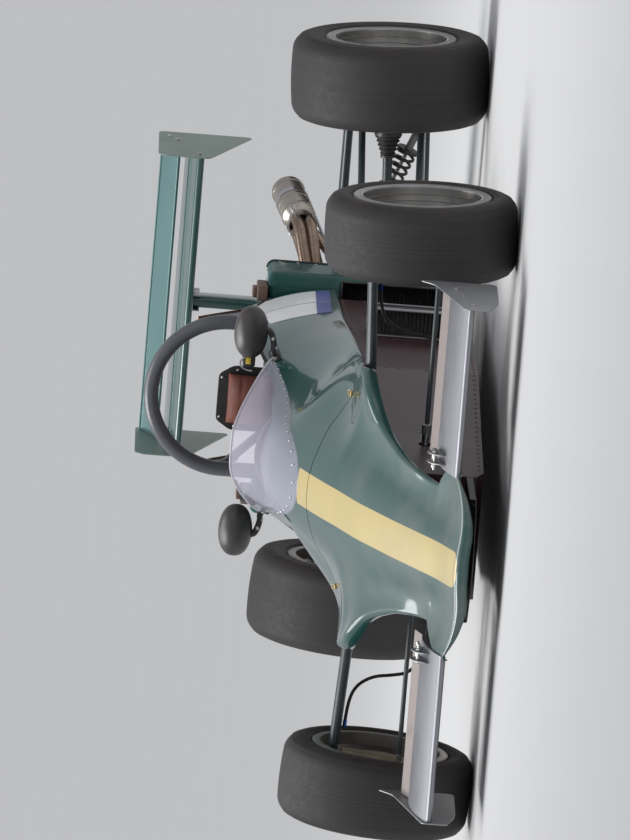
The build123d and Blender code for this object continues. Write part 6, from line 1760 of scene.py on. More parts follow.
# Wing post, rain light and rear jacking bar
POST_W, POST_FOOT_Z = 0.037, 0.3664
profile = slot_profile(1, 1, 0.3, 7)
heights = np.array([POST_FOOT_Z, 0.372, 0.4, 0.46, 0.52, 0.56, 0.6, 0.7, 0.775, 0.79])
front = np.interp(heights, (0.3663, 0.6, 0.83), (2.612, 2.866, 2.866))
back = np.interp(heights, (0.3663, 0.54, 0.83), (2.708, 2.95, 2.95))
post = rings_solid([spot(profile[:, 0] * POST_W, (f + b) / 2 + profile[:, 1] * (b - f), z)
                    for f, b, z in zip(front, back, heights)])
foot = boxes((-0.03, 0.03, 2.604, 2.716, POST_FOOT_Z, 0.3725, 0.002),
             *((x - 0.002, x + 0.002, 2.85, 2.968, 0.752, 0.788, 0.0015) for x in (-0.0215, 0.0215)))
piece("wing_post_blade", [post], PLAIN_PAINT, 35, ("wing_post",))
piece("wing_post_foot", foot, SHEET_ALLOY)
pins = studs(spot((-0.025, 0.025, -0.025, 0.025), (2.612, 2.612, 2.708, 2.708), 0.3725), UP,
             fastener(0.0045, 0.005))
for flip in (1, -1):
    pins += studs(spot(0.0235 * flip, (2.885, 2.935), 0.77), ACROSS * flip, fastener(0.006, 0.005))
piece("wing_post_bolts", pins, PLATED)
L0 = 2.7306
for name, width, height, corner, steps, finish, node in (("rain_light_housing", 0.12, 0.07, 0.01,
                                                          ((0, 0.001), (0.002, 0), (0.024, 0),
                                                           (0.026, 0.002)), CRACKLE, ("rain_light",)),
                                                         ("rain_light_lens", 0.11, 0.06, 0.008,
                                                          ((0.024, 0), (0.03, 0), (0.0325, 0.002),
                                                           (0.0338, 0.006)), LIGHT_RED, ())):
    rings = [upright_ring(0, L0 + depth, 0.305, width - 2 * cut, height - 2 * cut, corner) for depth,
             cut in steps]
    piece(name, [rings_solid(rings)], finish, 35, node)
JACK_S, JACK_Z, LUG_R = 2.8003, 0.205, 0.0184
jack = [bar(spot(-0.11, JACK_S, JACK_Z), spot(0.11, JACK_S, JACK_Z), 0.0124, count=24, bevel=0.3)]
a = np.linspace(np.pi / 2, -np.pi / 2, 15)
lug = [(L0, 0.186), (L0, 0.224), *np.stack([JACK_S + LUG_R * np.cos(a), JACK_Z + LUG_R * np.sin(a)], -1)]
for x in (-0.05, 0.05):
    jack.append(side_plate(x, lug, 0.0005, 0.006))
    jack.append(box_part(x - 0.014, x + 0.014, L0, L0 + 0.004, 0.183, 0.227, 0.0015))
piece("jack_bar_tube", jack, ARM_PAINT, 35, ("jack_bar",))

# Roll hoop, its braces, holed gusset plates and feet
HOOP_S, HOOP_X, HOOP_R = 1.455, 0.205, 0.0206
LEG_TOP = 0.922 - 0.021 - HOOP_X
a = np.linspace(np.pi, 0, 61)
hoop_line = np.concatenate([spot(-HOOP_X, HOOP_S, np.linspace(0.5304, LEG_TOP, 8))[:-1],
                            spot(HOOP_X * np.cos(a), HOOP_S, LEG_TOP + HOOP_X * np.sin(a)),
                            spot(HOOP_X, HOOP_S, np.linspace(LEG_TOP, 0.5304, 8))[1:]])
hoop = [carried(hoop_line, circle(HOOP_R, 32), across=FORE)]
stay_low = spot(0.066, 2.33, 0.366)
stay_top = spot(HOOP_X, HOOP_S, 0.7)
down = unit(stay_low - stay_top)
struts = [bar(stay_top + down * 0.01, stay_low - down * 0.02, 0.0127, count=24),
          lathe([(0.016, 0.013), (0.02, 0.0165), (0.026, 0.017), (0.03, 0.0135)],
                place_at(stay_top, down), 28), box_part(0.04, 0.098, 2.296, 2.352, 0.3664, 0.3715, 0.002)]


def holed_plate(x, outline, hole, thickness):
    """Upright plate with a hole: faces between the outline and an oval, both read at equal angles."""
    middle = hole.mean(0)
    angle = np.arctan2(hole[:, 1] - middle[1], hole[:, 0] - middle[0])
    dense = through_flat(outline)
    around = np.arctan2(dense[:, 1] - middle[1], dense[:, 0] - middle[0])
    order = np.argsort(around)
    reach = np.hypot(*(dense - middle).T)[order]
    out = np.interp(angle, around[order], reach, period=2 * np.pi)
    outer = middle + out[:, None] * np.stack([np.cos(angle), np.sin(angle)], -1)
    near, far = x - thickness / 2, x + thickness / 2
    rings = [spot(at, *line.T) for at, line in ((near, outer), (near, hole), (far, hole), (far, outer))]
    return (np.concatenate(rings), quads(4, len(hole), ring_rows=True, ring_cols=True))


def through_flat(outline, count=30):
    """Points along a closed flat outline."""
    outline = np.asarray(outline, float)
    t = np.linspace(0, 1, count, endpoint=False)[:, None]
    return np.concatenate([p * (1 - t) + q * t for p, q in zip(outline, np.roll(outline, -1, 0))])


gusset = np.array([(1.46, 0.786), (1.474, 0.79), (1.54, 0.742), (1.64, 0.664), (1.64, 0.64),
                   (1.6, 0.644), (1.46, 0.7035)])
a = np.linspace(0, 2 * np.pi, 41)[:-1]
oval = np.stack([1.512 + 0.02 * np.cos(a), 0.727 + 0.019 * np.sin(a) - 0.5 * 0.02 * np.cos(a)], -1)
webs = [holed_plate(HOOP_X, gusset, oval, 0.003)]
lip_line = np.array([(1.472, 0.79), (1.54, 0.7415), (1.64, 0.664)])
lips = [carried(through(spot(HOOP_X, *lip_line.T), 20), slot_profile(0.012, 0.0035, 0.0012), across=ACROSS)]
rim_line = np.concatenate([oval, oval[:1]])
lips.append(carried(spot(HOOP_X, *rim_line.T), circle(0.0024, 8), ends=False))
feet = [box_part(0.17, 0.24, 1.4305, 1.4795, 0.5303, 0.5365, 0.002)]
feet_bolts = studs(spot((0.178, 0.232, 0.178, 0.232), (1.438, 1.438, 1.472, 1.472),
                        0.5365), UP, fastener(0.0065, 0.006))
feet_bolts += studs(spot((0.048, 0.09, 0.048, 0.09), (2.303, 2.303, 2.345, 2.345),
                         0.3715), UP, fastener(0.0055, 0.006))
HOOP_STEEL = coated("hoop_steel_paint", (0.095, 0.099, 0.112), rough=0.24, grain=500, wear=0.3, dust=0.12)
piece("hoop_tube", hoop + mirrored(struts), HOOP_STEEL, 35, ("roll_hoop",))
piece("hoop_gussets", mirrored(webs + feet), HOOP_STEEL, 30)
piece("hoop_gusset_edges", mirrored(lips),
      bare_metal("copper_edge", (0.36, 0.2, 0.14), 0.4, (1, 1, 1), 120, 0.4))
piece("hoop_bolts", mirrored(feet_bolts), PLATED)

# Headrest: a pad blown up as cloth, on a riveted plate


def swell(obj, voxel, pressure, cap, back_y):
    """Cloth under pressure on a remeshed copy; no point moves further than the cap or behind the plate."""
    remesh = obj.modifiers.new("remesh", "REMESH")
    remesh.mode, remesh.voxel_size = "VOXEL", voxel
    deps = bpy.context.evaluated_depsgraph_get()
    mesh = bpy.data.meshes.new_from_object(obj.evaluated_get(deps))
    obj.modifiers.clear()
    material = obj.data.materials[0]
    obj.data = mesh
    if not mesh.materials:
        mesh.materials.append(material)
    start = np.empty(len(mesh.vertices) * 3, np.float32)
    mesh.vertices.foreach_get("co", start)
    start = start.reshape(-1, 3)
    cloth = obj.modifiers.new("cloth", "CLOTH")
    cloth.settings.use_pressure = True
    cloth.settings.uniform_pressure_force = pressure
    cloth.settings.effector_weights.gravity = 0
    scene = bpy.context.scene
    for step in range(1, 21):
        scene.frame_set(step)
    done = obj.evaluated_get(bpy.context.evaluated_depsgraph_get()).to_mesh()
    moved = np.empty(len(done.vertices) * 3, np.float32)
    done.vertices.foreach_get("co", moved)
    shift = moved.reshape(-1, 3) - start
    length = np.linalg.norm(shift, axis=1, keepdims=True)
    shift = shift * np.minimum(1, cap / np.maximum(length, 1e-9))
    shift -= shift.mean(0)
    result = start + shift
    result[:, 1] = np.minimum(result[:, 1], back_y)
    obj.modifiers.clear()
    scene.frame_set(1)
    mesh.vertices.foreach_set("co", result.astype(np.float32).ravel())
    mesh.update()


HEAD_S = 1.43
u, v = np.meshgrid(np.linspace(-1, 1, 29), np.linspace(-1, 1, 27), indexing="ij")
pull = 1 - 0.045 * (1 - np.abs(u) ** 3) * np.abs(v) ** 6 - 0.035 * (1 - np.abs(v) ** 3) * np.abs(u) ** 6
crown = (1 - np.abs(u) ** 3.2) ** 0.45 * (1 - np.abs(v) ** 3.2) ** 0.45
seam = np.exp(-(np.abs(v) - 0.36) ** 2 / 0.0018) * 0.1 * crown
pad = spot(0.073 * u * pull, HEAD_S - 0.006 - 0.042 * np.maximum(crown - seam, 0.02),
           0.63 + 0.066 * v * pull)
back = pad.copy()
back[..., 1] = FRONT_AXLE_Y + HEAD_S - 0.0015
cushion = piece("headrest_pad", [two_walls(pad, back)], HEADREST_HIDE, 180, ("headrest",))
swell(cushion, 0.0045, 4.0, 0.007, FRONT_AXLE_Y + HEAD_S - 0.0008)
cushion.data.shade_smooth()
smoothing = cushion.modifiers.new("smooth", "SUBSURF")
smoothing.levels = smoothing.render_levels = 1
back_plate = rounded([(-0.09, 0.5305), (0.09, 0.5305), (0.09, 0.68), (0.064, 0.72), (-0.064, 0.72),
                      (-0.09, 0.68)], 0.012)
plates = [plate(spot(back_plate[:, 0], HEAD_S + 0.002, back_plate[:, 1]), FORE, 0.004),
          box_part(-0.09, 0.09, HEAD_S, HEAD_S + 0.022, 0.5304, 0.5342, 0.0015)]
for x in (-0.06, 0.06):
    plates.append(side_plate(x, [(HEAD_S + 0.003, 0.534), (HEAD_S + 0.021, 0.534), (HEAD_S + 0.003, 0.6)],
                             0.002, 0.003))
piece("headrest_back", plates, SATIN_BLACK, 30, ("headrest_plate",))
marks = studs(spot((-0.078, 0.078, -0.078, 0.078, -0.055, 0.055), HEAD_S - 0.0001,
                   (0.55, 0.55, 0.668, 0.668, 0.71, 0.71)), -FORE,
              fastener(0.0045, 0.003, 10, dome=1))
marks += studs(spot((-0.075, 0.0, 0.075), HEAD_S + 0.013, 0.5342), UP, fastener(0.0055, 0.005))
piece("headrest_rivets", marks, PLATED)
BLOCK_RED = hide("block_red_brown", (0.3, 0.075, 0.055), grain=300)
piece("hoop_side_pads", [box_part(0.128, 0.176, 1.436, 1.47, 0.5305, 0.56, 0.006)], BLOCK_RED)

# Seat shell with raised sides and belts over it
line = through([(0, 0.722, 0.152), (0, 0.748, 0.11), (0, 0.79, 0.0882), (0, 0.9, 0.0865),
                (0, 1.02, 0.0875), (0, 1.085, 0.1), (0, 1.14, 0.14), (0, 1.26, 0.27),
                (0, 1.37, 0.41), (0, 1.4255, 0.4835)], 60)
x = np.linspace(-0.204, 0.204, 45)
edge = np.clip((np.abs(x) - 0.135) / 0.069, 0, 1) ** 2
across = np.gradient(line, axis=0)
normal_s, normal_z = -unit(across)[:, 2], unit(across)[:, 1]
lift = edge[None] * (0.06 * np.sin(np.pi * np.linspace(0.06, 0.94, 60)) ** 0.6)[:, None]
shell = spot(x[None], line[:, 1][:, None] + normal_s[:, None] * lift,
             line[:, 2][:, None] + normal_z[:, None] * lift)
piece("seat_shell_tray", [slab(shell, 0.005, (0, FRONT_AXLE_Y + 1.25, 0.0))], SEAT_SHELL, 50,
      ("seat",))


def strap(points, width, side, count=60):
    """Flat webbing along a line."""
    return carried(through(points, count), slot_profile(width, 0.0022, 0.001, 3), across=side)


SHOULDER = np.array([(0.06, 1.428, 0.536), (0.062, 1.405, 0.52), (0.062, 1.37, 0.432), (0.06, 1.25, 0.274),
                     (0.048, 1.15, 0.166), (0.03, 1.08, 0.115), (0.012, 1.04, 0.104)]).T
LAP = np.array([(0.196, 1.118, 0.19), (0.17, 1.1, 0.15), (0.12, 1.074, 0.112), (0.06, 1.05, 0.103),
                (0.012, 1.036, 0.104)]).T
belts = [strap(spot(flip * x, s, z), 0.046, side)
         for flip in (1, -1) for (x, s, z), side in ((SHOULDER, ACROSS), (LAP, FORE))]
belts.append(strap(spot(0, (0.93, 0.98, 1.02, 1.04), (0.09, 0.0905, 0.1, 0.106)), 0.044, ACROSS, 20))
hub = [round_part([(0, 0.03), (0.01, 0.031), (0.013, 0.028), (0.013, 0.018), (0.016, 0.016),
                   (0.016, AXIS_R)], spot(0, 1.038, 0.104), UP, 32)]
piece("belt_webbing", belts, STRAP_RED, 50)
piece("belt_buckle", hub, BRIGHT, 30)

# Steering wheel, column, dash and gauges
WHEEL = place_at(WHEEL_AT, COLUMN)
a = np.linspace(0, 2 * np.pi, 97)[:-1]
swellings = 1 + 0.09 * (np.exp(-(np.cos(a) - 0.92) ** 2 / 0.02) + np.exp(-(np.cos(a) + 0.92) ** 2 / 0.02))
tube_a = np.linspace(0, 2 * np.pi, 18, endpoint=False)
tube_r = 0.0112 * swellings[:, None]
r = 0.128 + tube_r * np.cos(tube_a)
grip = np.stack([tube_r * np.sin(tube_a), r * np.cos(a)[:, None], r * np.sin(a)[:, None]], -1)
grip = move(grip.reshape(-1, 3), WHEEL)
piece("wheel_grip", [(grip, quads(96, 18, ring_rows=True, ring_cols=True))], GRIP_HIDE, 60,
      ("steering_wheel",), body="steering_wheel")
spokes, screws = [], []
for angle in np.radians([0, 180, 270]):
    r = np.linspace(0.026, 0.119, 12)
    width = 0.032 - 0.012 * np.sin(np.pi * (r - 0.026) / 0.093)
    centre = np.stack([np.full(12, -0.006) - 0.004 * np.sin(np.pi * (r - 0.026) / 0.093), r * np.cos(angle),
                       r * np.sin(angle)], -1)
    across = np.array([0, -np.sin(angle), np.cos(angle)])
    grid = centre[:, None] + across * (np.linspace(-0.5, 0.5, 5)[None, :, None] * width[:, None, None])
    points, *faces = slab(grid, 0.0035, ACROSS)
    spokes.append((move(points, WHEEL), *faces))
    for radius in (0.05, 0.072, 0.094):
        spot_at = move(np.array([(-0.0035, radius * np.cos(angle), radius * np.sin(angle))]), WHEEL)
        screws += studs(spot_at, [COLUMN], fastener(0.005, 0.0012, 16))
boss = [lathe([(-0.017, AXIS_R), (-0.017, 0.022), (-0.012, 0.029), (-0.003, 0.03), (0.0, 0.028),
               (0.002, 0.024), (0.002, AXIS_R)], WHEEL, 36, ring=False)]
for k in np.arange(6) * np.pi / 3 + 0.26:
    screws += studs(move(np.array([(-0.001, 0.0215 * np.cos(k), 0.0215 * np.sin(k))]), WHEEL), [COLUMN],
                    fastener(0.0032, 0.003))
screws += studs([WHEEL_AT + COLUMN * 0.002], [COLUMN], fastener(0.011, 0.006))
piece("wheel_spokes", spokes, DASH_ALLOY, 30, body="steering_wheel")
piece("wheel_boss", boss, RED_ANODISED, 30, body="steering_wheel")
piece("wheel_screws", screws, PLATED, body="steering_wheel")
column = [bar(WHEEL_AT - COLUMN * 0.0175, column_low, 0.0096, count=24)]
column.append(lathe([(0.018, 0.0098), (0.018, 0.016), (0.034, 0.016), (0.036, 0.0135), (0.036, 0.0098)],
                    place_at(WHEEL_AT, -COLUMN), 24))
piece("column_shaft", column, PLATED, 30, ("steering_column",), body="steering_wheel")

DASH = 0.5935
gauges, faces_white, needles, knobs = [], [], [], []


def gauge(x, z, radius):
    """Dial: rolled bezel, recessed face, tick marks and a needle, facing the driver."""
    place = place_at(spot(x, DASH, z), FORE)
    gauges.append(lathe([(0, radius), (0.01, radius), (0.012, radius - 0.002), (0.012, radius - 0.004),
                         (0.006, radius - 0.005), (0, radius - 0.005)], place, 48))
    faces_white.append(lathe([(0.0005, radius - 0.0052), (0.004, radius - 0.0052), (0.004, AXIS_R)], place,
                             40, ring=False))
    for k in np.radians(np.linspace(-130, 130, 14)):
        tick = np.array([(0.0043, (radius - 0.0075) * np.sin(k), (radius - 0.0075) * np.cos(k)),
                         (0.0043, (radius - 0.0115) * np.sin(k), (radius - 0.0115) * np.cos(k))])
        needles.append(bar(*move(tick, place), 0.0004, count=4))
    k = np.radians(-100)
    hand = np.array([(0.0052, -0.004 * np.sin(k), -0.004 * np.cos(k)),
                     (0.0052, (radius - 0.01) * np.sin(k), (radius - 0.01) * np.cos(k))])
    needles.append(bar(*move(hand, place), 0.0009, 0.0004, 6))
    needles.append(lathe([(0.004, 0.0035), (0.0062, 0.003), (0.0062, AXIS_R)], place, 12, ring=False))


gauge(0.0, 0.566, 0.034)
for x, z in ((-0.07, 0.535), (0.07, 0.535), (-0.112, 0.5), (0.112, 0.5)):
    gauge(x, z, 0.0215)
for x in (-0.15, 0.15):
    place = place_at(spot(x, DASH, 0.47), FORE)
    knobs.append(lathe([(0, 0.008), (0.003, 0.008), (0.003, 0.0045), (0.01, 0.004), (0.02, 0.003),
                        (0.021, AXIS_R)], place, 16, ring=False))
knobs += studs(spot((-0.185, 0.185, -0.165, 0.165), DASH - 0.0001, (0.4344, 0.4344, 0.5112, 0.5112)), FORE,
               fastener(0.004, 0.003, 12, dome=1))
piece("gauge_bezels", gauges, CRACKLE, 30)
piece("gauge_faces", faces_white, coated("dial_black", (0.012, 0.012, 0.013), rough=0.3,
                                                        wear=0.0, dust=0.05), 30)
piece("gauge_needles", needles, coated("dial_marks", (0.75, 0.73, 0.66), rough=0.4, wear=0.0,
                                                      dust=0.05), 30)
piece("dash_switches", knobs, PLATED)

# Mirrors: egg shaped shells cut flat behind, glass, brackets with bolts on the skin
MIRROR = spot(0.274, 0.95, 0.655)
q = np.linspace(-np.pi / 2, np.pi / 2, 33)
outline = np.stack([0.071 * np.sin(q), 0.046 * np.cos(q) ** 0.82 + 0.0001], -1)
points, faces = lathe(outline, place_at(MIRROR, ACROSS), 48, ring=False)
cut = FRONT_AXLE_Y + 0.97
points[:, 1] = np.minimum(points[:, 1], cut)
shells = [(points, faces)]
t = np.linspace(0, 2 * np.pi, 49)[:-1]
glass_ring = spot(0.274 + 0.063 * np.sign(np.cos(t)) * np.abs(np.cos(t)) ** 0.92, 0.9702,
                  0.655 + 0.0385 * np.sin(t))
lips = [carried(np.concatenate([glass_ring, glass_ring[:1]]), circle(0.0024, 8), ends=False)]
panes = [plate(glass_ring - (0, 0.0004, 0), FORE, 0.0012, 0.0002)]
foot, way = on_skin(0.213, 0.946)
stem = MIRROR + np.array([(0.01, 0, -0.036), (0.004, 0, -0.052), (-0.03, -0.003, -0.064)])
arms = [carried(through([*stem, foot + way * 0.014, foot + way * 0.003], 28),
                slot_profile(0.03, 0.016, 0.006), across=FORE)]
base_plate = rounded([(-0.045, -0.016), (0.045, -0.016), (0.045, 0.016), (-0.045, 0.016)], 0.01)
along = unit(FORE - way * way[1])
other = unit(np.cross(way, along))
arms.append(plate(foot + way * 0.0026 + base_plate[:, :1] * along + base_plate[:, 1:] * other, way, 0.004))
mount_bolts = studs([foot + way * 0.0046 + along * d for d in (-0.033, 0.033)], way, fastener(0.0055, 0.005))
mount_bolts += studs(MIRROR + np.array([(-0.012, -0.015, -0.0595), (-0.038, -0.015, -0.068)]), -FORE,
                     fastener(0.0055, 0.004))
piece("mirror_shells", mirrored(shells), MIRROR_BLACK, 50, ("mirrors",))
piece("mirror_lips", mirrored(lips), HOSE_RUBBER)
piece("mirror_panes", mirrored(panes), MIRROR_GLASS, 30)
piece("mirror_brackets", mirrored(arms), SATIN_BLACK, 35)
piece("mirror_bolts", mirrored(mount_bolts), PLATED)
tag_at, _ = on_skin(0.196, 0.99)
housing = [block(tag_at + np.array([-0.004, 0, 0.02]), (0.03, 0.085, 0.034), 0.006)]
tag = [block(tag_at + np.array([0.0, -0.0425, 0.022]), (0.022, 0.004, 0.014), 0.0015)]
a = np.linspace(0, np.pi, 21)
arch = [carried(spot(0.188 + 0.02 * np.cos(a), 0.946, tag_at[2] + 0.01 + 0.034 * np.sin(a)),
                circle(0.0022, 8))]
piece("rim_switch_housing", housing, CRACKLE, 35)
piece("rim_switch_tag", tag, TRIM_YELLOW)
piece("rim_switch_loop", arch, BRIGHT)

# Number panels: skin patches a millimetre proud, blank
s = np.linspace(1.2045, 1.4765, 33)
top_z = np.interp(s, (1.2045, 1.212, 1.444, 1.4765), (0.59, 0.5985, 0.632, 0.607))
low_z = np.interp(s, (1.2045, 1.48), (0.4325, 0.4345))
w_line = np.linspace(1, 2, 80)
panel = np.empty((33, 22, 3))
for i, (one, high, low) in enumerate(zip(s, top_z, low_z)):
    _, z_all, _ = section(one, w_line)
    z = np.linspace(high, low, 22)
    w = np.interp(-z, -z_all, w_line)
    panel[i] = skin_points(one, w, -0.0016)
piece("number_patches", mirrored([slab(panel, 0.0012, (0, FRONT_AXLE_Y + 1.3, 0.3))]),
      PANEL_WHITE, 30, ("number_panels",))
fold = [carried(panel[16] + unit(panel[16] - spot(0, 1.34, 0.3)) * 0.0003, circle(0.0009, 6))]
piece("number_patch_fold", mirrored(fold), SHEET_ALLOY)

# Radiator cowls: rounded shells open behind, each with a lipped mouth, a core and its tanks inside
COWL_IN, COWL_OUT, COWL_FRONT, COWL_BACK, COWL_R = 0.2335, 0.3405, 1.5095, 1.715, 0.0445
COWL_TOP = 0.603
MOUTH_X, MOUTH_Z = (0.262, 0.328), (0.11, 0.4)
turn_in = np.arccos(1 - (MOUTH_X[0] - COWL_IN) / COWL_R)
turn_out = np.arcsin((MOUTH_X[1] - COWL_OUT + COWL_R) / COWL_R)
first, second = (np.sort(np.append(np.linspace(0, np.pi / 2, 12), value)) for value in (turn_in, turn_out))
side_s = np.linspace(COWL_BACK, COWL_FRONT + COWL_R, 9)[:-1]
plan = np.concatenate([np.stack([np.full(8, COWL_IN), side_s], -1),
                       np.stack([COWL_IN + COWL_R * (1 - np.cos(first)),
                                 COWL_FRONT + COWL_R * (1 - np.sin(first))], -1),
                       np.stack([COWL_OUT - COWL_R * (1 - np.sin(second)),
                                 COWL_FRONT + COWL_R * (1 - np.cos(second))], -1),
                       np.stack([np.full(8, COWL_OUT), side_s[::-1]], -1)])
inward = np.concatenate([np.tile((1.0, 0), (8, 1)), np.stack([np.cos(first), np.sin(first)], -1),
                         np.stack([-np.sin(second), np.cos(second)], -1), np.tile((-1.0, 0), (8, 1))])
crown_r = 0.02
b = np.linspace(0, np.pi / 2, 8)
heights = np.concatenate([np.linspace(0.093, MOUTH_Z[0], 3)[:-1], np.linspace(*MOUTH_Z, 14),
                          np.linspace(MOUTH_Z[1], COWL_TOP - crown_r, 9)[1:],
                          COWL_TOP - crown_r + crown_r * np.sin(b[1:])])
inset = np.concatenate([np.zeros(2 + 14 + 8), crown_r * (1 - np.cos(b[1:]))])
flat = plan[:, None] + inward[:, None] * inset[None, :, None]
wall = spot(flat[..., 0], flat[..., 1], heights)
column = np.arange(len(plan) - 1)
mouth_end = 8 + len(first) + np.searchsorted(second, turn_out)
in_mouth = (column >= 8 + np.searchsorted(first, turn_in)) & (column < mouth_end)
in_height = (heights[:-1] >= MOUTH_Z[0] - 1e-6) & (heights[1:] <= MOUTH_Z[1] + 1e-6)
closed = ~(in_mouth[:, None] & in_height)
skin_faces = quads(*wall.shape[:2])[closed.ravel()]
crown = plate(wall[:, -1] - (0, 0, 0.001), UP, 0.002, 0.0004)
cowl = piece("cowl_shells", mirrored([(wall.reshape(-1, 3), skin_faces)]), COWL_PAINT, 40,
             ("radiator_cowls",))
thick = cowl.modifiers.new("wall", "SOLIDIFY")
thick.thickness, thick.offset, thick.use_even_offset = 0.002, -1, True
piece("cowl_crowns", mirrored([crown]), COWL_PAINT, 30)
span = np.flatnonzero(in_mouth)
columns = wall[span[0]:span[-1] + 2]
low_row, top_row = 2, 15
loop = np.concatenate([columns[:, low_row], columns[-1, low_row:top_row + 1], columns[::-1, top_row],
                       columns[0, low_row:top_row + 1][::-1]])
mouth_lips = [carried(loop, circle(0.0032, 10), ends=False)]
edge_beads = [carried(wall[k], slot_profile(0.0065, 0.0065, 0.0025), across=ACROSS) for k in (0, -1)]
piece("cowl_lips", mirrored(mouth_lips + edge_beads), HOSE_RUBBER)
spots = np.concatenate([spot(x, np.arange(1.56, 1.71, 0.035), COWL_TOP)
                        for x in (COWL_IN + 0.03, COWL_OUT - 0.03)])
rivets = studs(spots, UP, RIVET)
spots = np.concatenate([spot(COWL_OUT, 1.7, np.arange(0.12, 0.58, 0.05)),
                        spot(COWL_OUT, np.arange(1.57, 1.7, 0.04), 0.104)])
rivets += studs(spots, ACROSS, RIVET)
piece("cowl_rivets", mirrored(rivets), SHEET_ALLOY)

C0, C1 = 1.6005, 1.6495
T0, T1 = 0.2368, 0.3372
tanks = boxes((T0, T1, C0, C1, 0.508, 0.5395, 0.01), (T0, T1, C0, C1, 0.1005, 0.13, 0.01),
              (T0, 0.24, C0 + 0.004, C1 - 0.004, 0.125, 0.512, 0.001),
              (0.334, T1, C0 + 0.004, C1 - 0.004, 0.125, 0.512, 0.001))
tubes = boxes(*((0.24, 0.334, C0 + 0.005, C1 - 0.005, z - 0.0012, z + 0.0012, 0.001)
                for z in np.arange(0.138, 0.506, 0.0105)))
core_box = box_part(0.2405, 0.3335, C0 + 0.012, C1 - 0.012, 0.128, 0.51, 0.001)
piece("radiator_tanks", mirrored(tanks), SHEET_ALLOY, 30, ("radiators",))
piece("radiator_tubes", mirrored(tubes), SATIN_BLACK, 30)
piece("radiator_cores", mirrored([core_box]), CORE_DARK, 30)
X0, X1, S0, S1, Z0, Z1 = 0.0985, 0.2315, 1.6262, 1.6418, 0.1802, 0.2098
arms = boxes((X0, X1, S0, S0 + 0.002, Z0, Z1, 0.0006), (X0, X1, S0, S1, Z0, Z0 + 0.002, 0.0006),
             (X0, X0 + 0.0025, S0, S1, Z0, Z1, 0.0006), (X1 - 0.0025, X1, S0, S1, Z0, Z1, 0.0006))
tips = studs(spot((0.229, 0.101), 1.636, 0.196), (-ACROSS, ACROSS), fastener(0.0055, 0.005))
piece("cowl_bracket_angles", mirrored(arms), SATIN_BLACK, 30, ("cowl_brackets",))
piece("cowl_bracket_bolts", mirrored(tips), PLATED)
hood = boxes((0.264, 0.306, 1.485, 1.59, 0.6032, 0.632, 0.004), (0.27, 0.296, 1.5, 1.56, 0.63, 0.644, 0.003))
piece("cowl_top_boxes", mirrored(hood), hide("duct_brown", (0.13, 0.075, 0.055), grain=240))

# Oil coolers on the tub's sides: alloy frame, finned core set back in it, unions and hard lines
ring = []
for quarter, (x, z, r) in enumerate(((0.3525, 0.3305, 0.0105), (0.2935, 0.3385, 0.0025),
                                     (0.2935, 0.1355, 0.0025), (0.3525, 0.1435, 0.0105))):
    a = np.radians(np.linspace(90 * quarter, 90 * quarter + 90, 9))
    ring.append(np.stack([x + r * np.cos(a), z + r * np.sin(a)], -1))
x, z = np.concatenate(ring + [ring[0][:1]]).T
frame_bars = [carried(spot(x, s, z), slot_profile(deep, 0.0045, 0.0012), across=FORE, ends=False)
              for s, deep in ((0.9635, 0.0245), (1.036, 0.006))]
cooler_case = [box_part(0.289, 0.3605, 0.973, 1.0385, 0.133, 0.341, 0.009)]
cooler_tubes = [box_part(0.293, 0.358, 0.9672, 0.974, z - 0.0016, z + 0.0016, 0.0012)
                for z in np.arange(0.15, 0.332, 0.0112)]
PORT_X, PORT_LEVELS = 0.325, (0.17, 0.305)
unions = [bar(spot(PORT_X, start, z), spot(PORT_X, start + 0.008, z), r, count=6, bevel=0.1)
          for z in PORT_LEVELS for start, r in ((1.0385, 0.0115), (1.0465, 0.0095))]
lines = [carried(through(spot((PORT_X, PORT_X, 0.318, 0.304, 0.2885), (1.0545, 1.068, 1.08, 1.085, 1.085), z),
                         24), circle(0.0065, 14)) for z in PORT_LEVELS]
piece("oil_cooler_frames", mirrored(frame_bars), SHEET_ALLOY, 35, ("oil_coolers",))
piece("oil_cooler_cases", mirrored(cooler_case), CORE_DARK, 35)
piece("oil_cooler_tubes", mirrored(cooler_tubes), SATIN_BLACK, 30)
piece("oil_cooler_unions", mirrored(unions), BLUE_ANODISED, 30)
piece("oil_cooler_lines", mirrored(lines), SHEET_ALLOY)

# Nose frame: folded tray, rails, spar and stays, all kept under the pods
tray_line = [(0.024, -0.772), (0.06, -0.756), (0.15, -0.69), (0.165, -0.64), (0.165, -0.331)]
tray_line = np.array(tray_line + [(-x, s) for x, s in tray_line[::-1]])
bars = [plate(spot(tray_line[:, 0], tray_line[:, 1], 0.0822), UP, 0.003)]
for flip in (1, -1):
    bars.append(carried(spot(flip * 0.1635, np.linspace(-0.637, -0.333, 6), 0.0905),
                        slot_profile(0.002, 0.016, 0.0006), across=ACROSS))
    bars.append(bar(spot(flip * 0.08, -0.331, 0.128), spot(flip * 0.08, -0.64, 0.128), 0.0118, count=20))
    bars.append(box_part(flip * 0.08 - 0.011, flip * 0.08 + 0.011, -0.5995, -0.5965, 0.084, 0.129, 0.001))
bars.append(bar(spot(-0.2365, -0.64, 0.1345), spot(0.2365, -0.64, 0.1345), 0.0092, count=20))
piece("nose_frame_members", bars, SATIN_BLACK, 30, ("nose_frame",))
tips = studs(spot(np.tile((-0.14, -0.05, 0.05, 0.14), 3), np.repeat((-0.6, -0.48, -0.36), 4), 0.0837),
             UP, fastener(0.0045, 0.002, 10, dome=1))
piece("nose_frame_rivets", tips, PLATED)

# Tub details: rivet rows along its sides and doubler plates
TUB_X, TUB_S = (0.165, 0.205, 0.288, 0.288), (-0.33, 0, 0.5, 1.48)
RIVET_PITCH = 0.036


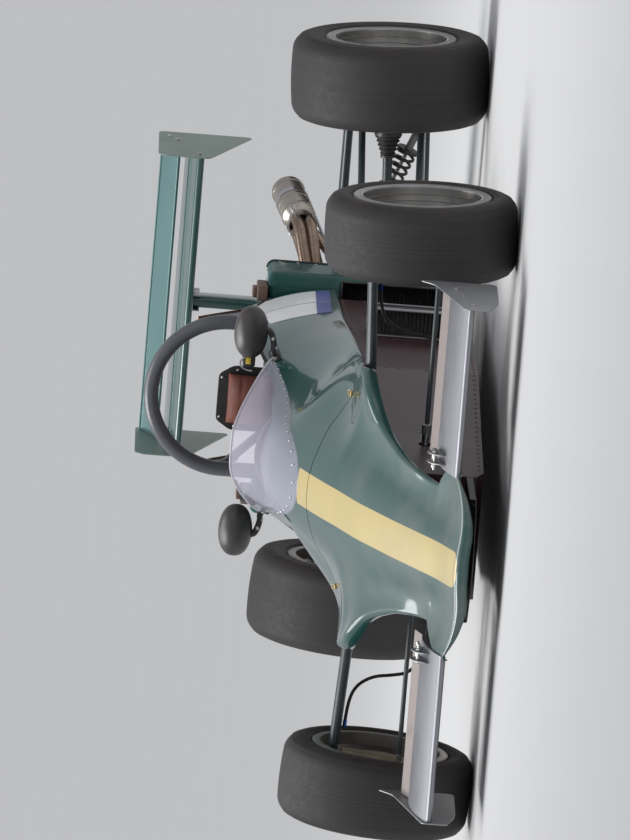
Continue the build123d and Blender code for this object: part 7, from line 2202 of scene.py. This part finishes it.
def tub_x(s):
    """Half width of the tub at a station."""
    return np.interp(s, TUB_S, TUB_X)


# Rows along a side: first and last station, then the height at the stations that follow
spots, ways = [], []
for start, end, knots, levels in ((-0.27, 1.47, (0, 1), (0.064, 0.064)),
                                  (-0.31, 0.3, (-0.33, 0, 0.3), (0.222, 0.308, 0.332)),
                                  (0.32, 1.47, (0.32, 1.47), (0.352, 0.398)),
                                  (0.18, 0.93, (0, 1), (0.15, 0.15))):
    s = np.arange(start, end, RIVET_PITCH)
    spots.append(spot(tub_x(s), s, np.interp(s, knots, levels)))
    slope = (tub_x(s + 0.002) - tub_x(s - 0.002)) / 0.004
    ways.append(unit(np.stack([np.ones(len(s)), -slope, np.zeros(len(s))], -1)))
for s in (0.5, 0.92, 1.11, 1.465):
    z = np.arange(0.085, 0.35, RIVET_PITCH)
    spots.append(spot(TUB_X[-1], s, z))
    ways.append(np.tile(ACROSS, (len(z), 1)))
piece("tub_rivets", mirrored(studs(np.concatenate(spots), np.concatenate(ways),
                                   fastener(0.004, 0.0016, 8, dome=1))),
      coated("rivet_maroon", (0.085, 0.03, 0.034), rough=0.3, dust=0.3))
sheets = boxes((0.288, 0.2892, 1.12, 1.455, 0.075, 0.34, 0.0005),
               (0.288, 0.2892, 0.51, 0.91, 0.075, 0.13, 0.0005))
piece("tub_doublers", mirrored(sheets), TUB_PAINT, 30)

# Cockpit rim: rubber edging on the opening
rim = surround[:, 0]
rim = rim[rim[:, 1] > FRONT_AXLE_Y + 0.935]
piece("cockpit_edging", mirrored([carried(rim, slot_profile(0.009, 0.008, 0.003), across=UP)]),
      HOSE_RUBBER)

# Finishes of the CAD parts themselves
PLAIN = {"tub": TUB_PAINT, "nose_frame": TUB_PAINT, "nose_shell": BODY_PAINT, "cockpit_surround": PLAIN_PAINT,
         "dash_panel": DASH_ALLOY}
for name, obj in frame["nodes"].items():
    finish = PLAIN.get(name, SATIN_BLACK)
    obj.data.materials.clear()
    obj.data.materials.append(finish)
